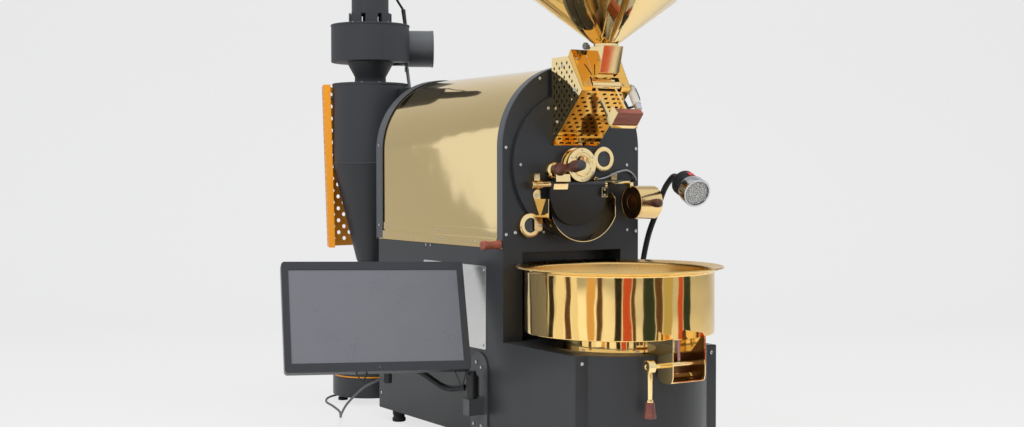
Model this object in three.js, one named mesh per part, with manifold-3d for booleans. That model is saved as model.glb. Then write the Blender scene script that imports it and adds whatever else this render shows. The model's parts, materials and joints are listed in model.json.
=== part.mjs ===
// Tabletop drum coffee roaster. Millimetres, +Z up, +X the machine's right, -Y its front.
// The sizes are in the machine's frame: x = 0 in its middle plane, y = 0 on the front plate's face and
// z = 0 on the table. The last lines shift the whole machine so that its origin is its box's bottom centre.
import * as THREE from "three";
import { mergeVertices } from "three/addons/utils/BufferGeometryUtils.js";
import Module from "manifold-3d";

const wasm = await Module();
wasm.setup();

// Clearances and sheet thicknesses
const GAP = 0.3;
const RUN = 0.8;
const SHEET = 2;
const THIN = 1.5;
const PLATE = 3;

// Body
const HALF = 165;
const FOOT = { radius: 15, height: 25, x: 148, rearY: 470, frontX: 140, frontY: -210 };
const BASE = { front: -248, rear: 534, top: 226, flange: HALF - 26, arcRadius: HALF + 2 };
const DECK = { top: 405.3, side: 408 };
const ARCH = { z: 607, radius: HALF, flangeStart: 411, flange: 22 };
const RECESS = { half: 122, bottom: 226, top: 403, depth: 60 };
const REAR = { face: 546, flange: 30 };
const COVER = { radius: 161.7, wall: 1.2 };
const HEM = { bottom: 430.3, top: 447, out: 163.4, y0: 25, y1: 512 };
const RAIL = { bottom: 411.7, top: 428.3, out: 164.6, y0: 25, y1: 515.7 };

// Drum and drive
const AXIS_Z = 573;
const DRUM = { radius: 125, wall: 3, front: 8, rear: 392, mouth: 110, spider: 112, vane: 24 };
const SHAFT = { radius: 12, front: -25, rear: 475 };
const BULKHEAD = { y0: 405, y1: 408 };
const BELT = { y0: 451, y1: 464, thick: 2, big: 60, small: 25, motorZ: 330 };
const GEARMOTOR = { y: 404.7, box: 38, boxDeep: 42, radius: 33, deep: 105, shaft: 7 };

// Front wall of the drum
const FACE = { z: 573.3, radius: 145, front: -8 };
const HUB = { flange: 38, radius: 32, front: -37 };
const SIGHT_HIGH = { x: 66.7, z: 585.1, outer: 25, inner: 15.5, front: -16, back: -8.3 };
const SIGHT_LOW = { x: -107.8, z: 454.3, outer: 24, inner: 14, front: -12, back: -0.3 };
const TRIER = { x: -56.7, y: -14, z: 561.8, tilt: 6, bore: 9.8, scoop: 8.5 };
const PROBE = { x: 49.3, z: 543.9 };

// Discharge door, its bar and weight
const HINGE = { y: -26, z: 534, radius: 6, left: -106, right: 130 };
const DOOR = { half: 64.5, top: 534.2, bottom: 452, front: -13, back: -8.6, arc: 72 };
const WEIGHT = { x0: 115, x1: 170, y: -43.5, z: 497, radius: 34, knobX: 130, knobTip: -120 };
const TROUGH = { half: 78, radius: 85.8, bottom: 420, shoulder: 470, front: -40, back: -8.3 };

// Feed
const GUARD = { half: 56, corner: [[0, 784], [-58, 784], [-113.5, 714.6], [0, 609]] };
const FEED = { half: 46, wall: SHEET };
const YOKE = { y: -110, z: 727, radius: 8, half: 33 };
const HOPPER = { y: -113, neck: 24, cone: 137, coneZ: 890, rim: 150, rimZ: 898, top: 906 };

// Cooling tray, chute and gate
const TRAY_Y = -156.35;
const TRAY = { radius: 181.4, rim: 196.3, top: 377.8, bottom: 254, collar: 105, foot: 146 };
const SCREEN = { z0: 268, z1: 269.5, radius: 179.2 };
const CHUTE = { half: 38, wall: SHEET, front: -367, top: 268, bottom: 179, back: -323.7 };
const CRANK = { y: -345, z: 212, arm: 14, radius: 4 };
const FLAP = { y: -300, z: 268, lug: -331, lugZ: 262 };

// Cyclone
const CYC = { x: -66, y: 772, radius: 92, seam: 579, top: 775, coneEnd: 344, coneRadius: 35 };
const DROP = { radius: 33.5, bore: 31.5 };
const DUCT = { x0: -34, x1: 26, z0: 640, z1: 760 };
const BLOWER = {
  radius: 95,
  z0: CYC.top + 52,
  z1: CYC.top + 143,
  neckTop: CYC.top + 17,
  pipe: 45,
  pipeZ: CYC.top + 91,
  azimuth: -26,
  flange: 87,
  end: 156,
  offset: 50,
};
const MOTOR = { radius: 45, top: BLOWER.z1 + 142, slotted: 31 };
const DAMPER = { y: 7, z: 417, rod: 3, hole: 3.5, collar: -HALF - 1.8, grip: -HALF - 41, end: -HALF - 45 };
const CAN = { radius: 94, bottom: 17, top: 66 };

// Display, lamp
const POLE = { x: -190, y: 80, radius: 7.5, top: 160 };
const MONITOR = { centre: [-376.1, 127.1, 278.7], yaw: -16.1, pitch: -23.6, half: 182, up: 111, down: -112.4, deep: 25 };
const MONITOR_ACTIVE = { half: 167.75, up: 94.4 };
const TILT = { back: 46, down: -30 };
const LAMP = { lens: [149.7, -208.1, 514.3], axis: [-0.1846, -0.92, -0.3448], radius: 27, length: 88 };

// Share of their full number of sides that turned shapes get
const DETAIL = 0.44;
const sidesOf = (sides) => Math.max(8, 2 * Math.round((sides * DETAIL) / 2));

const DEG = Math.PI / 180;
const TURN = 2 * Math.PI;

// A manifold solid from a closed three.js geometry, its faces turned outwards.
function solid(geometry) {
  const bare = geometry.index ? geometry.toNonIndexed() : geometry.clone();
  bare.deleteAttribute("normal");
  bare.deleteAttribute("uv");
  const merged = mergeVertices(bare, 1e-4);
  const p = merged.attributes.position.array;
  const kept = [];
  let volume = 0;
  const index = merged.index.array;
  for (let i = 0; i < index.length; i += 3) {
    const [a, b, c] = [index[i], index[i + 1], index[i + 2]];
    if (a === b || b === c || c === a) continue;
    kept.push(a, b, c);
    const [ax, ay, az] = [p[3 * a], p[3 * a + 1], p[3 * a + 2]];
    const [bx, by, bz] = [p[3 * b], p[3 * b + 1], p[3 * b + 2]];
    const [cx, cy, cz] = [p[3 * c], p[3 * c + 1], p[3 * c + 2]];
    volume += ax * (by * cz - bz * cy) + ay * (bz * cx - bx * cz) + az * (bx * cy - by * cx);
  }
  if (volume < 0) {
    for (let i = 0; i < kept.length; i += 3) [kept[i + 1], kept[i + 2]] = [kept[i + 2], kept[i + 1]];
  }
  return new wasm.Manifold(
    new wasm.Mesh({ numProp: 3, vertProperties: new Float32Array(p), triVerts: new Uint32Array(kept) }),
  );
}

function geometryOf(manifold) {
  const mesh = manifold.getMesh();
  const geometry = new THREE.BufferGeometry();
  geometry.setAttribute("position", new THREE.BufferAttribute(new Float32Array(mesh.vertProperties), 3));
  geometry.setIndex(new THREE.BufferAttribute(new Uint32Array(mesh.triVerts), 1));
  return geometry;
}

const join = (...pieces) => pieces.reduce((sum, piece) => sum.add(piece));
const cut = (base, ...tools) => tools.reduce((rest, tool) => rest.subtract(tool), base);

// A box between two corners.
function box(x0, x1, y0, y1, z0, z1) {
  const geometry = new THREE.BoxGeometry(x1 - x0, y1 - y0, z1 - z0);
  return solid(geometry.translate((x0 + x1) / 2, (y0 + y1) / 2, (z0 + z1) / 2));
}

// A round rod between two points.
function rod(radius, from, to, sides = 16, endRadius = radius) {
  const a = new THREE.Vector3(...from);
  const b = new THREE.Vector3(...to);
  const along = b.clone().sub(a);
  const geometry = new THREE.CylinderGeometry(endRadius, radius, along.length(), sides > 6 ? sidesOf(sides) : sides);
  geometry.applyQuaternion(new THREE.Quaternion().setFromUnitVectors(new THREE.Vector3(0, 1, 0), along.normalize()));
  const mid = a.add(b).multiplyScalar(0.5);
  return solid(geometry.translate(mid.x, mid.y, mid.z));
}

// A turned shape about +Z from [radius, z] points; the profile is closed along the axis or on itself.
function lathe(profile, sides = 32) {
  const points = profile.map(([r, z]) => new THREE.Vector2(r, z));
  const first = points[0];
  const last = points[points.length - 1];
  if (first.x > 0 || last.x > 0) points.push(first.clone());
  return solid(new THREE.LatheGeometry(points, sidesOf(sides)).rotateX(Math.PI / 2));
}

// The same about an axis along Y, from [radius, y] points.
function latheY(profile, x, z, sides = 32) {
  const points = profile.map(([r, y]) => new THREE.Vector2(r, y));
  const first = points[0];
  const last = points[points.length - 1];
  if (first.x > 0 || last.x > 0) points.push(first.clone());
  return solid(new THREE.LatheGeometry(points, sidesOf(sides)).translate(x, 0, z));
}

function shapeOf(points, holes = []) {
  const shape = new THREE.Shape(points.map(([a, b]) => new THREE.Vector2(a, b)));
  for (const hole of holes) shape.holes.push(new THREE.Path(hole.map(([a, b]) => new THREE.Vector2(a, b))));
  return shape;
}

// A flat plate whose outline is in X and Y, X and Z, or Y and Z.
function plateXY(points, z0, z1, holes) {
  const geometry = new THREE.ExtrudeGeometry(shapeOf(points, holes), { depth: z1 - z0, bevelEnabled: false });
  return solid(geometry.translate(0, 0, z0));
}
function plateXZ(points, y0, y1, holes) {
  const geometry = new THREE.ExtrudeGeometry(shapeOf(points, holes), { depth: y1 - y0, bevelEnabled: false });
  return solid(geometry.rotateX(Math.PI / 2).translate(0, y1, 0));
}
function plateYZ(points, x0, x1, holes) {
  const geometry = new THREE.ExtrudeGeometry(shapeOf(points, holes), { depth: x1 - x0, bevelEnabled: false });
  const turn = new THREE.Matrix4().makeBasis(
    new THREE.Vector3(0, 1, 0),
    new THREE.Vector3(0, 0, 1),
    new THREE.Vector3(1, 0, 0),
  );
  return solid(geometry.applyMatrix4(turn).translate(x0, 0, 0));
}

// Points of an arc from one angle to another, in degrees.
function arc(cx, cy, radius, from, to, steps) {
  const points = [];
  for (let i = 0; i <= steps; i += 1) {
    const angle = (from + ((to - from) * i) / steps) * DEG;
    points.push([cx + radius * Math.cos(angle), cy + radius * Math.sin(angle)]);
  }
  return points;
}
const ring = (cx, cy, radius, sides) => arc(cx, cy, radius, 0, 360 - 360 / sides, sides - 1);

// A tube of round section along a smooth curve through points.
function sweep(points, radius, sides, steps, kind = "centripetal") {
  const curve = new THREE.CatmullRomCurve3(points.map((p) => new THREE.Vector3(...p)), false, kind);
  const section = shapeOf(ring(0, 0, radius, sides));
  return solid(new THREE.ExtrudeGeometry(section, { steps, extrudePath: curve, bevelEnabled: false }));
}

const paint = (color, roughness, metalness) => new THREE.MeshStandardMaterial({ color, roughness, metalness });
const CHARCOAL = paint(0x3a3c3e, 0.5, 0.3);
const BLACK = paint(0x1c1d1f, 0.5, 0.1);
const GOLD = paint(0xd8b060, 0.25, 1);
const GOLD_MIRROR = paint(0xe4d0a0, 0.12, 1);
const ORANGE = paint(0xfaa50f, 0.5, 0);
const TERRACOTTA = paint(0x965546, 0.6, 0);
const WOOD = paint(0x5f3c32, 0.6, 0);
const STEEL = paint(0xb8bab8, 0.3, 1);
const GREY = paint(0x6e7072, 0.5, 0.2);
const GLASSY = paint(0x7d7e82, 0.2, 0);
const RED = paint(0xb02020, 0.4, 0);
const COPPER = paint(0xb87040, 0.4, 1);

const machine = new THREE.Group();
machine.name = "coffee_roaster";
function piece(parent, name, manifold, material) {
  const mesh = new THREE.Mesh(geometryOf(manifold), material);
  mesh.name = name;
  parent.add(mesh);
  return mesh;
}

// Base: pan with four feet
const frontArc = (radius) => {
  const edge = Math.acos(BASE.flange / BASE.arcRadius) / DEG;
  return arc(0, TRAY_Y, radius, 180 + edge, 360 - edge, 20);
};
const panOutline = [
  [-HALF + SHEET + GAP, BASE.rear - SHEET - GAP],
  [-HALF + SHEET + GAP, BASE.front + SHEET + GAP],
  ...frontArc(BASE.arcRadius - SHEET - GAP),
  [HALF - SHEET - GAP, BASE.front + SHEET + GAP],
  [HALF - SHEET - GAP, BASE.rear - SHEET - GAP],
];
const foot = (x, y) => rod(FOOT.radius, [x, y, 0], [x, y, FOOT.height + SHEET], 20);
piece(
  machine,
  "base_pan",
  join(
    plateXY(panOutline, FOOT.height, FOOT.height + PLATE),
    foot(-FOOT.x, FOOT.rearY),
    foot(FOOT.x, FOOT.rearY),
    foot(-FOOT.frontX, FOOT.frontY),
    foot(FOOT.frontX, FOOT.frontY),
  ),
  CHARCOAL,
);
const PAN_TOP = FOOT.height + PLATE + GAP;

// Cabinet shell: both sides and the rear wall in one folded sheet
const side = [
  [BASE.front + SHEET + GAP, FOOT.height],
  [BASE.rear, FOOT.height],
  [BASE.rear, DECK.side],
  [PLATE + GAP, DECK.side],
  [PLATE + GAP, BASE.top],
  [BASE.front + SHEET + GAP, BASE.top],
];
const FAN = { x: -10, y: 150, z0: 62, z1: 150, radius: 78, inlet: 45, outX0: 18, outX1: 68, outZ0: 80, outZ1: 140 };
const ventRows = [];
for (let i = 0; i < 6; i += 1) {
  const z = 190 + 14 * i;
  ventRows.push(box(-60, 60, BASE.rear - 2 * SHEET, BASE.rear + SHEET, z, z + 6));
}
piece(
  machine,
  "cabinet_shell",
  cut(
    join(
      plateYZ(side, -HALF, -HALF + SHEET),
      plateYZ(side, HALF - SHEET, HALF),
      box(-HALF, HALF, BASE.rear - SHEET, BASE.rear, FOOT.height, DECK.side),
    ),
    box(FAN.outX0 + SHEET, FAN.outX1 - SHEET, BASE.rear - 2 * SHEET, BASE.rear + SHEET, FAN.outZ0, FAN.outZ1),
    ...ventRows,
  ),
  CHARCOAL,
);

// Curved front panel of the base
const panelOutline = [
  [-HALF, BASE.front],
  ...frontArc(BASE.arcRadius),
  [HALF, BASE.front],
  [HALF, BASE.front + SHEET],
  ...frontArc(BASE.arcRadius - SHEET).reverse(),
  [-HALF, BASE.front + SHEET],
];
piece(machine, "base_front_panel", plateXY(panelOutline, FOOT.height, BASE.top), CHARCOAL);

// Top plate of the base, with two half-round air openings and a bar for the agitator's gearmotor
const topOutline = [
  [-HALF + SHEET + GAP, -GAP],
  [-HALF + SHEET + GAP, BASE.front + SHEET + GAP],
  ...frontArc(BASE.arcRadius - SHEET - GAP),
  [HALF - SHEET - GAP, BASE.front + SHEET + GAP],
  [HALF - SHEET - GAP, -GAP],
];
const halfRound = (from) => arc(0, TRAY_Y, 92, from + 24, from + 156, 12);
piece(
  machine,
  "base_top_plate",
  plateXY(topOutline, BASE.top - SHEET, BASE.top, [
    halfRound(0),
    halfRound(180),
    ring(0, TRAY_Y, 6.6, 16),
  ]),
  CHARCOAL,
);

// Deck under the drum, with posts for the heater and a slot that the damper covers
const HEATER = { z: 428, radius: 4, x: 90, y0: 84, y1: 380 };
const postAt = [];
for (const x of [-90, -18, 54]) for (const y of [120, 340]) postAt.push([x, y]);
const slotOutline = [
  [-95, 12],
  [-66, 12],
  [-66, 52],
  [-95, 52],
];
piece(
  machine,
  "deck_plate",
  join(
    plateXY(
      [
        [-HALF + SHEET + GAP, PLATE + GAP],
        [HALF - SHEET - GAP, PLATE + GAP],
        [HALF - SHEET - GAP, BULKHEAD.y0 - GAP],
        [-HALF + SHEET + GAP, BULKHEAD.y0 - GAP],
      ],
      DECK.top - SHEET,
      DECK.top,
      [slotOutline, ring(-HEATER.x, HEATER.y1, 9, 8), ring(HEATER.x, HEATER.y1, 9, 8)],
    ),
    ...postAt.map(([x, y]) => rod(3, [x, y, DECK.top - 1], [x, y, HEATER.z - HEATER.radius - GAP], 6)),
  ),
  STEEL,
);

// Bulkhead behind the drum, with the rear bearing's collar
const archOutline = (half, bottom, radius, steps = 32) => [
  [-half, bottom],
  [half, bottom],
  ...arc(0, ARCH.z, radius, 0, 180, steps),
];
const coverInner = COVER.radius - COVER.wall;
piece(
  machine,
  "bulkhead",
  join(
    plateXZ(
      [
        [-HALF + SHEET + GAP, PAN_TOP],
        [HALF - SHEET - GAP, PAN_TOP],
        [HALF - SHEET - GAP, DECK.top],
        [coverInner - GAP, DECK.top],
        ...arc(0, ARCH.z, coverInner - GAP, 0, 180, 24),
        [-coverInner + GAP, DECK.top],
        [-HALF + SHEET + GAP, DECK.top],
      ],
      BULKHEAD.y0,
      BULKHEAD.y1,
      [
        ring(0, AXIS_Z, SHAFT.radius + RUN, 24),
        ring(0, BELT.motorZ, 16, 20),
        [
          [-70, 700],
          [70, 700],
          [50, 735],
          [-50, 735],
        ],
        [
          [FAN.outX0 - 1, FAN.outZ0 - 3],
          [FAN.outX1 + 1, FAN.outZ0 - 3],
          [FAN.outX1 + 1, FAN.outZ1 + 3],
          [FAN.outX0 - 1, FAN.outZ1 + 3],
        ],
      ],
    ),
    latheY(
      [
        [SHAFT.radius + RUN, BULKHEAD.y0 - 8],
        [26, BULKHEAD.y0 - 8],
        [30, BULKHEAD.y0 + 1],
        [30, BULKHEAD.y1 + 10],
        [SHAFT.radius + RUN, BULKHEAD.y1 + 10],
      ],
      0,
      AXIS_Z,
      24,
    ),
  ),
  CHARCOAL,
);

// Front plate: arched plate, its wrapped flange and the recess behind the cooling tray
const archBand = (y0, y1, bottom) =>
  plateXZ(
    [
      [HALF, bottom],
      ...arc(0, ARCH.z, ARCH.radius, 0, 180, 20),
      [-HALF, bottom],
      [-HALF + SHEET, bottom],
      ...arc(0, ARCH.z, ARCH.radius - SHEET, 180, 0, 20),
      [HALF - SHEET, bottom],
    ],
    y0,
    y1,
  );
const recessHole = [
  [-RECESS.half + SHEET, RECESS.bottom + GAP],
  [RECESS.half - SHEET, RECESS.bottom + GAP],
  [RECESS.half - SHEET, RECESS.top - SHEET],
  [-RECESS.half + SHEET, RECESS.top - SHEET],
];
piece(
  machine,
  "front_plate",
  cut(
    join(
      plateXZ(archOutline(HALF, BASE.top + GAP, ARCH.radius, 20), 0, PLATE, [ring(0, FACE.z, DRUM.radius + 3, 32)]),
      archBand(0, ARCH.flange, ARCH.flangeStart),
      box(-RECESS.half, RECESS.half, 0, RECESS.depth, RECESS.bottom - SHEET, RECESS.top - GAP),
    ),
    plateXZ(recessHole, -1, RECESS.depth - SHEET),
    rod(DAMPER.hole, [-HALF - 1, DAMPER.y, DAMPER.z], [-HALF + 5, DAMPER.y, DAMPER.z], 12),
  ),
  CHARCOAL,
);

// Rear plate with the duct's opening
piece(
  machine,
  "rear_plate",
  join(
    plateXZ(archOutline(HALF, DECK.side + GAP, ARCH.radius, 20), REAR.face - PLATE, REAR.face, [
      [
        [DUCT.x0 + 3, DUCT.z0 + 3],
        [DUCT.x1 - 3, DUCT.z0 + 3],
        [DUCT.x1 - 3, DUCT.z1 - 3],
        [DUCT.x0 + 3, DUCT.z1 - 3],
      ],
    ]),
    archBand(REAR.face - REAR.flange, REAR.face, ARCH.flangeStart),
  ),
  CHARCOAL,
);

// Gold cover over the drum, with a hem and a rail on each side
const coverBand = plateXZ(
  [
    [COVER.radius, DECK.side + GAP],
    ...arc(0, ARCH.z, COVER.radius, 0, 180, 24),
    [-COVER.radius, DECK.side + GAP],
    [-coverInner, DECK.side + GAP],
    ...arc(0, ARCH.z, coverInner, 180, 0, 24),
    [coverInner, DECK.side + GAP],
  ],
  PLATE + GAP,
  REAR.face - PLATE - GAP,
);
const strip = (s, low, out) => {
  const inner = COVER.radius - COVER.wall / 2;
  return box(Math.min(s * inner, s * out), Math.max(s * inner, s * out), low.y0, low.y1, low.bottom, low.top);
};
piece(
  machine,
  "drum_cover",
  cut(
    join(
      coverBand,
      strip(-1, HEM, HEM.out),
      strip(1, HEM, HEM.out),
      strip(-1, RAIL, RAIL.out),
      strip(1, RAIL, RAIL.out),
    ),
    rod(DAMPER.hole, [-HALF, DAMPER.y, DAMPER.z], [-HALF + 10, DAMPER.y, DAMPER.z], 12),
  ),
  GOLD_MIRROR,
);

// Drum's front wall, with the door's opening and the bar's two bearing blocks
const trierDir = [0, -Math.cos(TRIER.tilt * DEG), Math.sin(TRIER.tilt * DEG)];
const alongTrier = (d) => [TRIER.x, TRIER.y + d * trierDir[1], TRIER.z + d * trierDir[2]];
const barBore = (x0, x1) => rod(HINGE.radius + RUN, [x0, HINGE.y, HINGE.z], [x1, HINGE.y, HINGE.z], 20);
const bearingBlock = (x0, x1, top) =>
  plateYZ(
    [
      [FACE.front + 1, HINGE.z - 10],
      [FACE.front + 1, top],
      [FACE.front - 4, top],
      [HINGE.y - 10, HINGE.z + 10],
      [HINGE.y - 10, HINGE.z - 10],
    ],
    x0,
    x1,
  );
piece(
  machine,
  "drum_face",
  cut(
    join(
      plateXZ(ring(0, FACE.z, FACE.radius, 40), FACE.front, -GAP, [
        [
          [-55, 480],
          [-40, 466],
          [40, 466],
          [55, 480],
          [55, 526],
          [-55, 526],
        ],
        [
          [-40, 628],
          [40, 628],
          [40, 676],
          [-40, 676],
        ],
        ring(0, AXIS_Z, SHAFT.radius + RUN, 24),
        ring(SIGHT_HIGH.x, SIGHT_HIGH.z, SIGHT_HIGH.inner, 20),
        ring(PROBE.x, PROBE.z, 3, 10),
      ]),
      bearingBlock(-106, -94, 558),
      bearingBlock(86, 99, 547),
    ),
    rod(TRIER.bore, alongTrier(-20), alongTrier(20), 20),
    barBore(-110, 110),
  ),
  CHARCOAL,
);

// Gold hub housing over the shaft's front end
piece(
  machine,
  "hub_housing",
  latheY(
    [
      [SHAFT.radius + RUN, FACE.front - GAP],
      [HUB.flange, FACE.front - GAP],
      [HUB.flange, -13],
      [HUB.radius, -14],
      [HUB.radius, -31],
      [24, HUB.front],
      [0, HUB.front],
      [0, SHAFT.front - 2],
      [SHAFT.radius + RUN, SHAFT.front - 2],
    ],
    0,
    AXIS_Z,
    32,
  ),
  GOLD,
);

// Sight rings
function sightRing(name, s) {
  const mid = (s.outer + s.inner) / 2;
  const profile = [
    [s.inner, s.back],
    [s.outer, s.back],
    [s.outer, s.back - 4],
    [mid + 2, s.front],
    [s.inner + 1, s.front],
    [s.inner, s.front + 2],
  ];
  const disc = plateXZ(ring(0, FACE.z, FACE.radius + GAP, 40), FACE.front - GAP, 0);
  piece(machine, name, cut(latheY(profile, s.x, s.z, 32), disc), GOLD);
}
sightRing("upper_sight_ring", SIGHT_HIGH);
sightRing("lower_sight_ring", SIGHT_LOW);

// Trier: port with its guide block, then the scoop and its turned handle, in a tilted group
const trier = new THREE.Group();
trier.position.set(TRIER.x, TRIER.y, TRIER.z);
trier.rotation.x = -TRIER.tilt * DEG;
machine.add(trier);
const portBall = latheY(
  [
    [TRIER.bore, 10],
    [16, 10],
    [18.5, 2],
    [17, -6],
    [13, -10],
    [TRIER.bore, -10],
  ],
  0,
  0,
  24,
);
const guideBlock = join(box(-7, 27, -25, -20, -34, -14), box(-7, 27, -25, -4, -17, -14));
const behindFace = solid(
  new THREE.BoxGeometry(100, 40, 100)
    .translate(0, 20 + FACE.front - GAP - TRIER.y, 0)
    .rotateX(TRIER.tilt * DEG),
);
piece(
  trier,
  "trier_port",
  cut(join(portBall, guideBlock), behindFace, rod(TRIER.bore, [0, -30, 0], [0, 30, 0], 20)),
  GOLD,
);
piece(
  trier,
  "trier_scoop",
  cut(
    rod(TRIER.scoop, [0, 108, 0], [0, -14, 0], 20),
    rod(TRIER.scoop - THIN, [0, 106, 0], [0, 10, 0], 16),
    box(-10, 10, 20, 98, 1, 12),
  ),
  STEEL,
);
piece(
  trier,
  "trier_handle",
  latheY(
    [
      [0, -14.3],
      [10, -14.3],
      [13, -20],
      [13, -27],
      [9, -36],
      [7.5, -46],
      [9, -62],
      [12, -76],
      [10.5, -88],
      [10, -98],
      [7, -102],
      [0, -103],
    ],
    0,
    0,
    20,
  ),
  WOOD,
);

// Probe's gland and its braided lead
piece(
  machine,
  "probe",
  join(
    rod(2.5, [PROBE.x, 55, PROBE.z], [PROBE.x, -12, PROBE.z], 10),
    rod(6, [PROBE.x, FACE.front - GAP, PROBE.z], [PROBE.x, -17, PROBE.z], 6),
    sweep(
      [
        [PROBE.x, -14, PROBE.z],
        [PROBE.x + 8, -17, PROBE.z + 1],
        [75.3, -15, 549],
        [103.1, -14, 559],
        [126, -14, 562],
        [143.9, -12, 552.6],
        [150, -11, 544],
        [151, -5, 542],
        [151, -GAP - 0.2, 541.5],
      ],
      2.2,
      6,
      16,
    ),
  ),
  STEEL,
);

// Discharge door with its bar, lugs and weight arm
const doorArc = arc(0, DOOR.bottom + DOOR.arc, DOOR.arc, 180 + 26.4, 360 - 26.4, 16);
const doorOutline = [[-DOOR.half, DOOR.top], ...doorArc, [DOOR.half, DOOR.top]];
const lug = (x0, x1) => box(x0, x1, HINGE.y, DOOR.front + 1, 522, HINGE.z + 2);
const armPlate = plateYZ(
  [
    ...arc(HINGE.y, HINGE.z, 9, 20, 150, 6),
    ...arc(WEIGHT.y, WEIGHT.z, 10, 160, 330, 6),
  ],
  110,
  WEIGHT.x0 - GAP,
);
piece(
  machine,
  "discharge_door",
  join(
    plateXZ(doorOutline, DOOR.front, DOOR.back),
    rod(HINGE.radius, [HINGE.left - 6, HINGE.y, HINGE.z], [HINGE.right, HINGE.y, HINGE.z], 16),
    lug(-28, -16),
    lug(30, 42),
    armPlate,
  ),
  CHARCOAL,
);
piece(
  machine,
  "door_weight",
  join(
    rod(WEIGHT.radius, [WEIGHT.x0, WEIGHT.y, WEIGHT.z], [WEIGHT.x1 - 1.5, WEIGHT.y, WEIGHT.z], 36),
    rod(WEIGHT.radius - 1.5, [WEIGHT.x0, WEIGHT.y, WEIGHT.z], [WEIGHT.x1, WEIGHT.y, WEIGHT.z], 36),
  ),
  GOLD,
);
const knobBase = WEIGHT.y - WEIGHT.radius - GAP;
piece(
  machine,
  "door_knob",
  latheY(
    [
      [0, knobBase],
      [5, knobBase],
      [6, knobBase - 8],
      [8.5, knobBase - 22],
      [9, knobBase - 32],
      [6, WEIGHT.knobTip + 1],
      [0, WEIGHT.knobTip],
    ],
    WEIGHT.knobX,
    WEIGHT.z,
    18,
  ),
  TERRACOTTA,
);

// Discharge trough: a bent channel with three mounting ears
const trough = [
  [-68, 510],
  [-TROUGH.half, 506],
  [-TROUGH.half, TROUGH.shoulder],
  ...arc(0, TROUGH.bottom + TROUGH.radius, TROUGH.radius, 205.4, 334.6, 18),
  [TROUGH.half, TROUGH.shoulder],
  [TROUGH.half, 506],
  [69, 517],
];
const troughInner = trough.map(([x, z]) => {
  const cz = TROUGH.bottom + TROUGH.radius;
  if (z >= TROUGH.shoulder - 1) return [x - Math.sign(x) * THIN, z - 0.5];
  const d = Math.hypot(x, z - cz);
  return [(x * (d - THIN)) / d, cz + ((z - cz) * (d - THIN)) / d];
});
piece(
  machine,
  "discharge_trough",
  join(
    plateXZ([...trough, ...troughInner.reverse()], TROUGH.front, TROUGH.back),
    box(-100, -TROUGH.half + 1, -10.3, TROUGH.back, 494, 512),
    box(TROUGH.half - 1, 92, -10.3, TROUGH.back, 494, 512),
  ),
  GOLD,
);

// Feed box behind the guard: side walls, sloping floor, back and top. The flap shuts along a line at 60
// degrees from the yoke's tube; onFace gives a point along it and out from it.
const FACE_DIR = [Math.cos(60 * DEG), Math.sin(60 * DEG)];
const FACE_OUT = [-FACE_DIR[1], FACE_DIR[0]];
const onFace = (s, out) => [
  YOKE.y + FACE_DIR[0] * s + FACE_OUT[0] * out,
  YOKE.z + FACE_DIR[1] * s + FACE_OUT[1] * out,
];
const boxSide = [
  [FACE.front - GAP, 796],
  onFace(79, 1.1),
  onFace(15, 1.1),
  [-100, 716],
  [-96, 704],
  [FACE.front - GAP, 622],
];
const boxInner = [
  [-FEED.wall + FACE.front - GAP, 794],
  [-74, 794],
  [-110, 732],
  [-110, 712],
  [-96, 706.2],
  [FACE.front - 1 - GAP, 624.8],
];
const feedFront = plateYZ(
  [
    [-80, 800],
    [-120, 732],
    [-120, 712],
    [-96, 706.5],
    [-90, 706.5],
    [-60, 780],
  ],
  -FEED.half + FEED.wall,
  FEED.half - FEED.wall,
);
piece(
  machine,
  "feed_chute",
  cut(
    plateYZ(boxSide, -FEED.half, FEED.half),
    plateYZ(boxInner, -FEED.half + FEED.wall, FEED.half - FEED.wall),
    feedFront,
    box(-40, 40, -14, 0, 628, 690),
  ),
  GREY,
);

// Perforated guard round the feed box
const guardWall = THIN;
const diamond = (y, z, r) => [
  [y + r, z],
  [y, z + r],
  [y - r, z],
  [y, z - r],
];
const guardHoles = [];
const inGuard = (y, z) => {
  const low = 609 + (-y * (716 - 609)) / 115;
  const high = y > -58 ? 784 : 784 - ((-58 - y) * 68) / 57;
  return y < -9 && z > low + 14 && z < high - 12;
};
for (let row = 0; row < 5; row += 1) {
  for (let col = 0; col < 3; col += 1) {
    const y = -22 - 34 * col - (row % 2) * 17;
    const z = 650 + 28 * row;
    if (inGuard(y, z)) guardHoles.push(diamond(y, z, 8));
  }
}
const guardSide = GUARD.corner.map(([y, z]) => [Math.min(y, FACE.front - GAP), z]);
guardSide[3] = [FACE.front - GAP, 616.4];
const guardBottom = [
  [-113.5, 714.6],
  [FACE.front - GAP, 616.4],
  [FACE.front - GAP, 618.6],
  [-112, 716.2],
];
const bottomHoles = [];
for (let i = 0; i < 3; i += 1) {
  for (let j = 0; j < 2; j += 1) {
    const y = -30 - 26 * i;
    const x = -22 + 44 * j;
    bottomHoles.push(box(x - 4, x + 4, y - 4, y + 4, 600, 719));
  }
}
const guardBottomPlate = cut(plateYZ(guardBottom, -GUARD.half, GUARD.half), ...bottomHoles);
piece(
  machine,
  "feed_guard",
  join(
    plateYZ(guardSide, -GUARD.half, -GUARD.half + guardWall, guardHoles),
    plateYZ(guardSide, GUARD.half - guardWall, GUARD.half, guardHoles),
    guardBottomPlate,
  ),
  GOLD,
);

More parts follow.
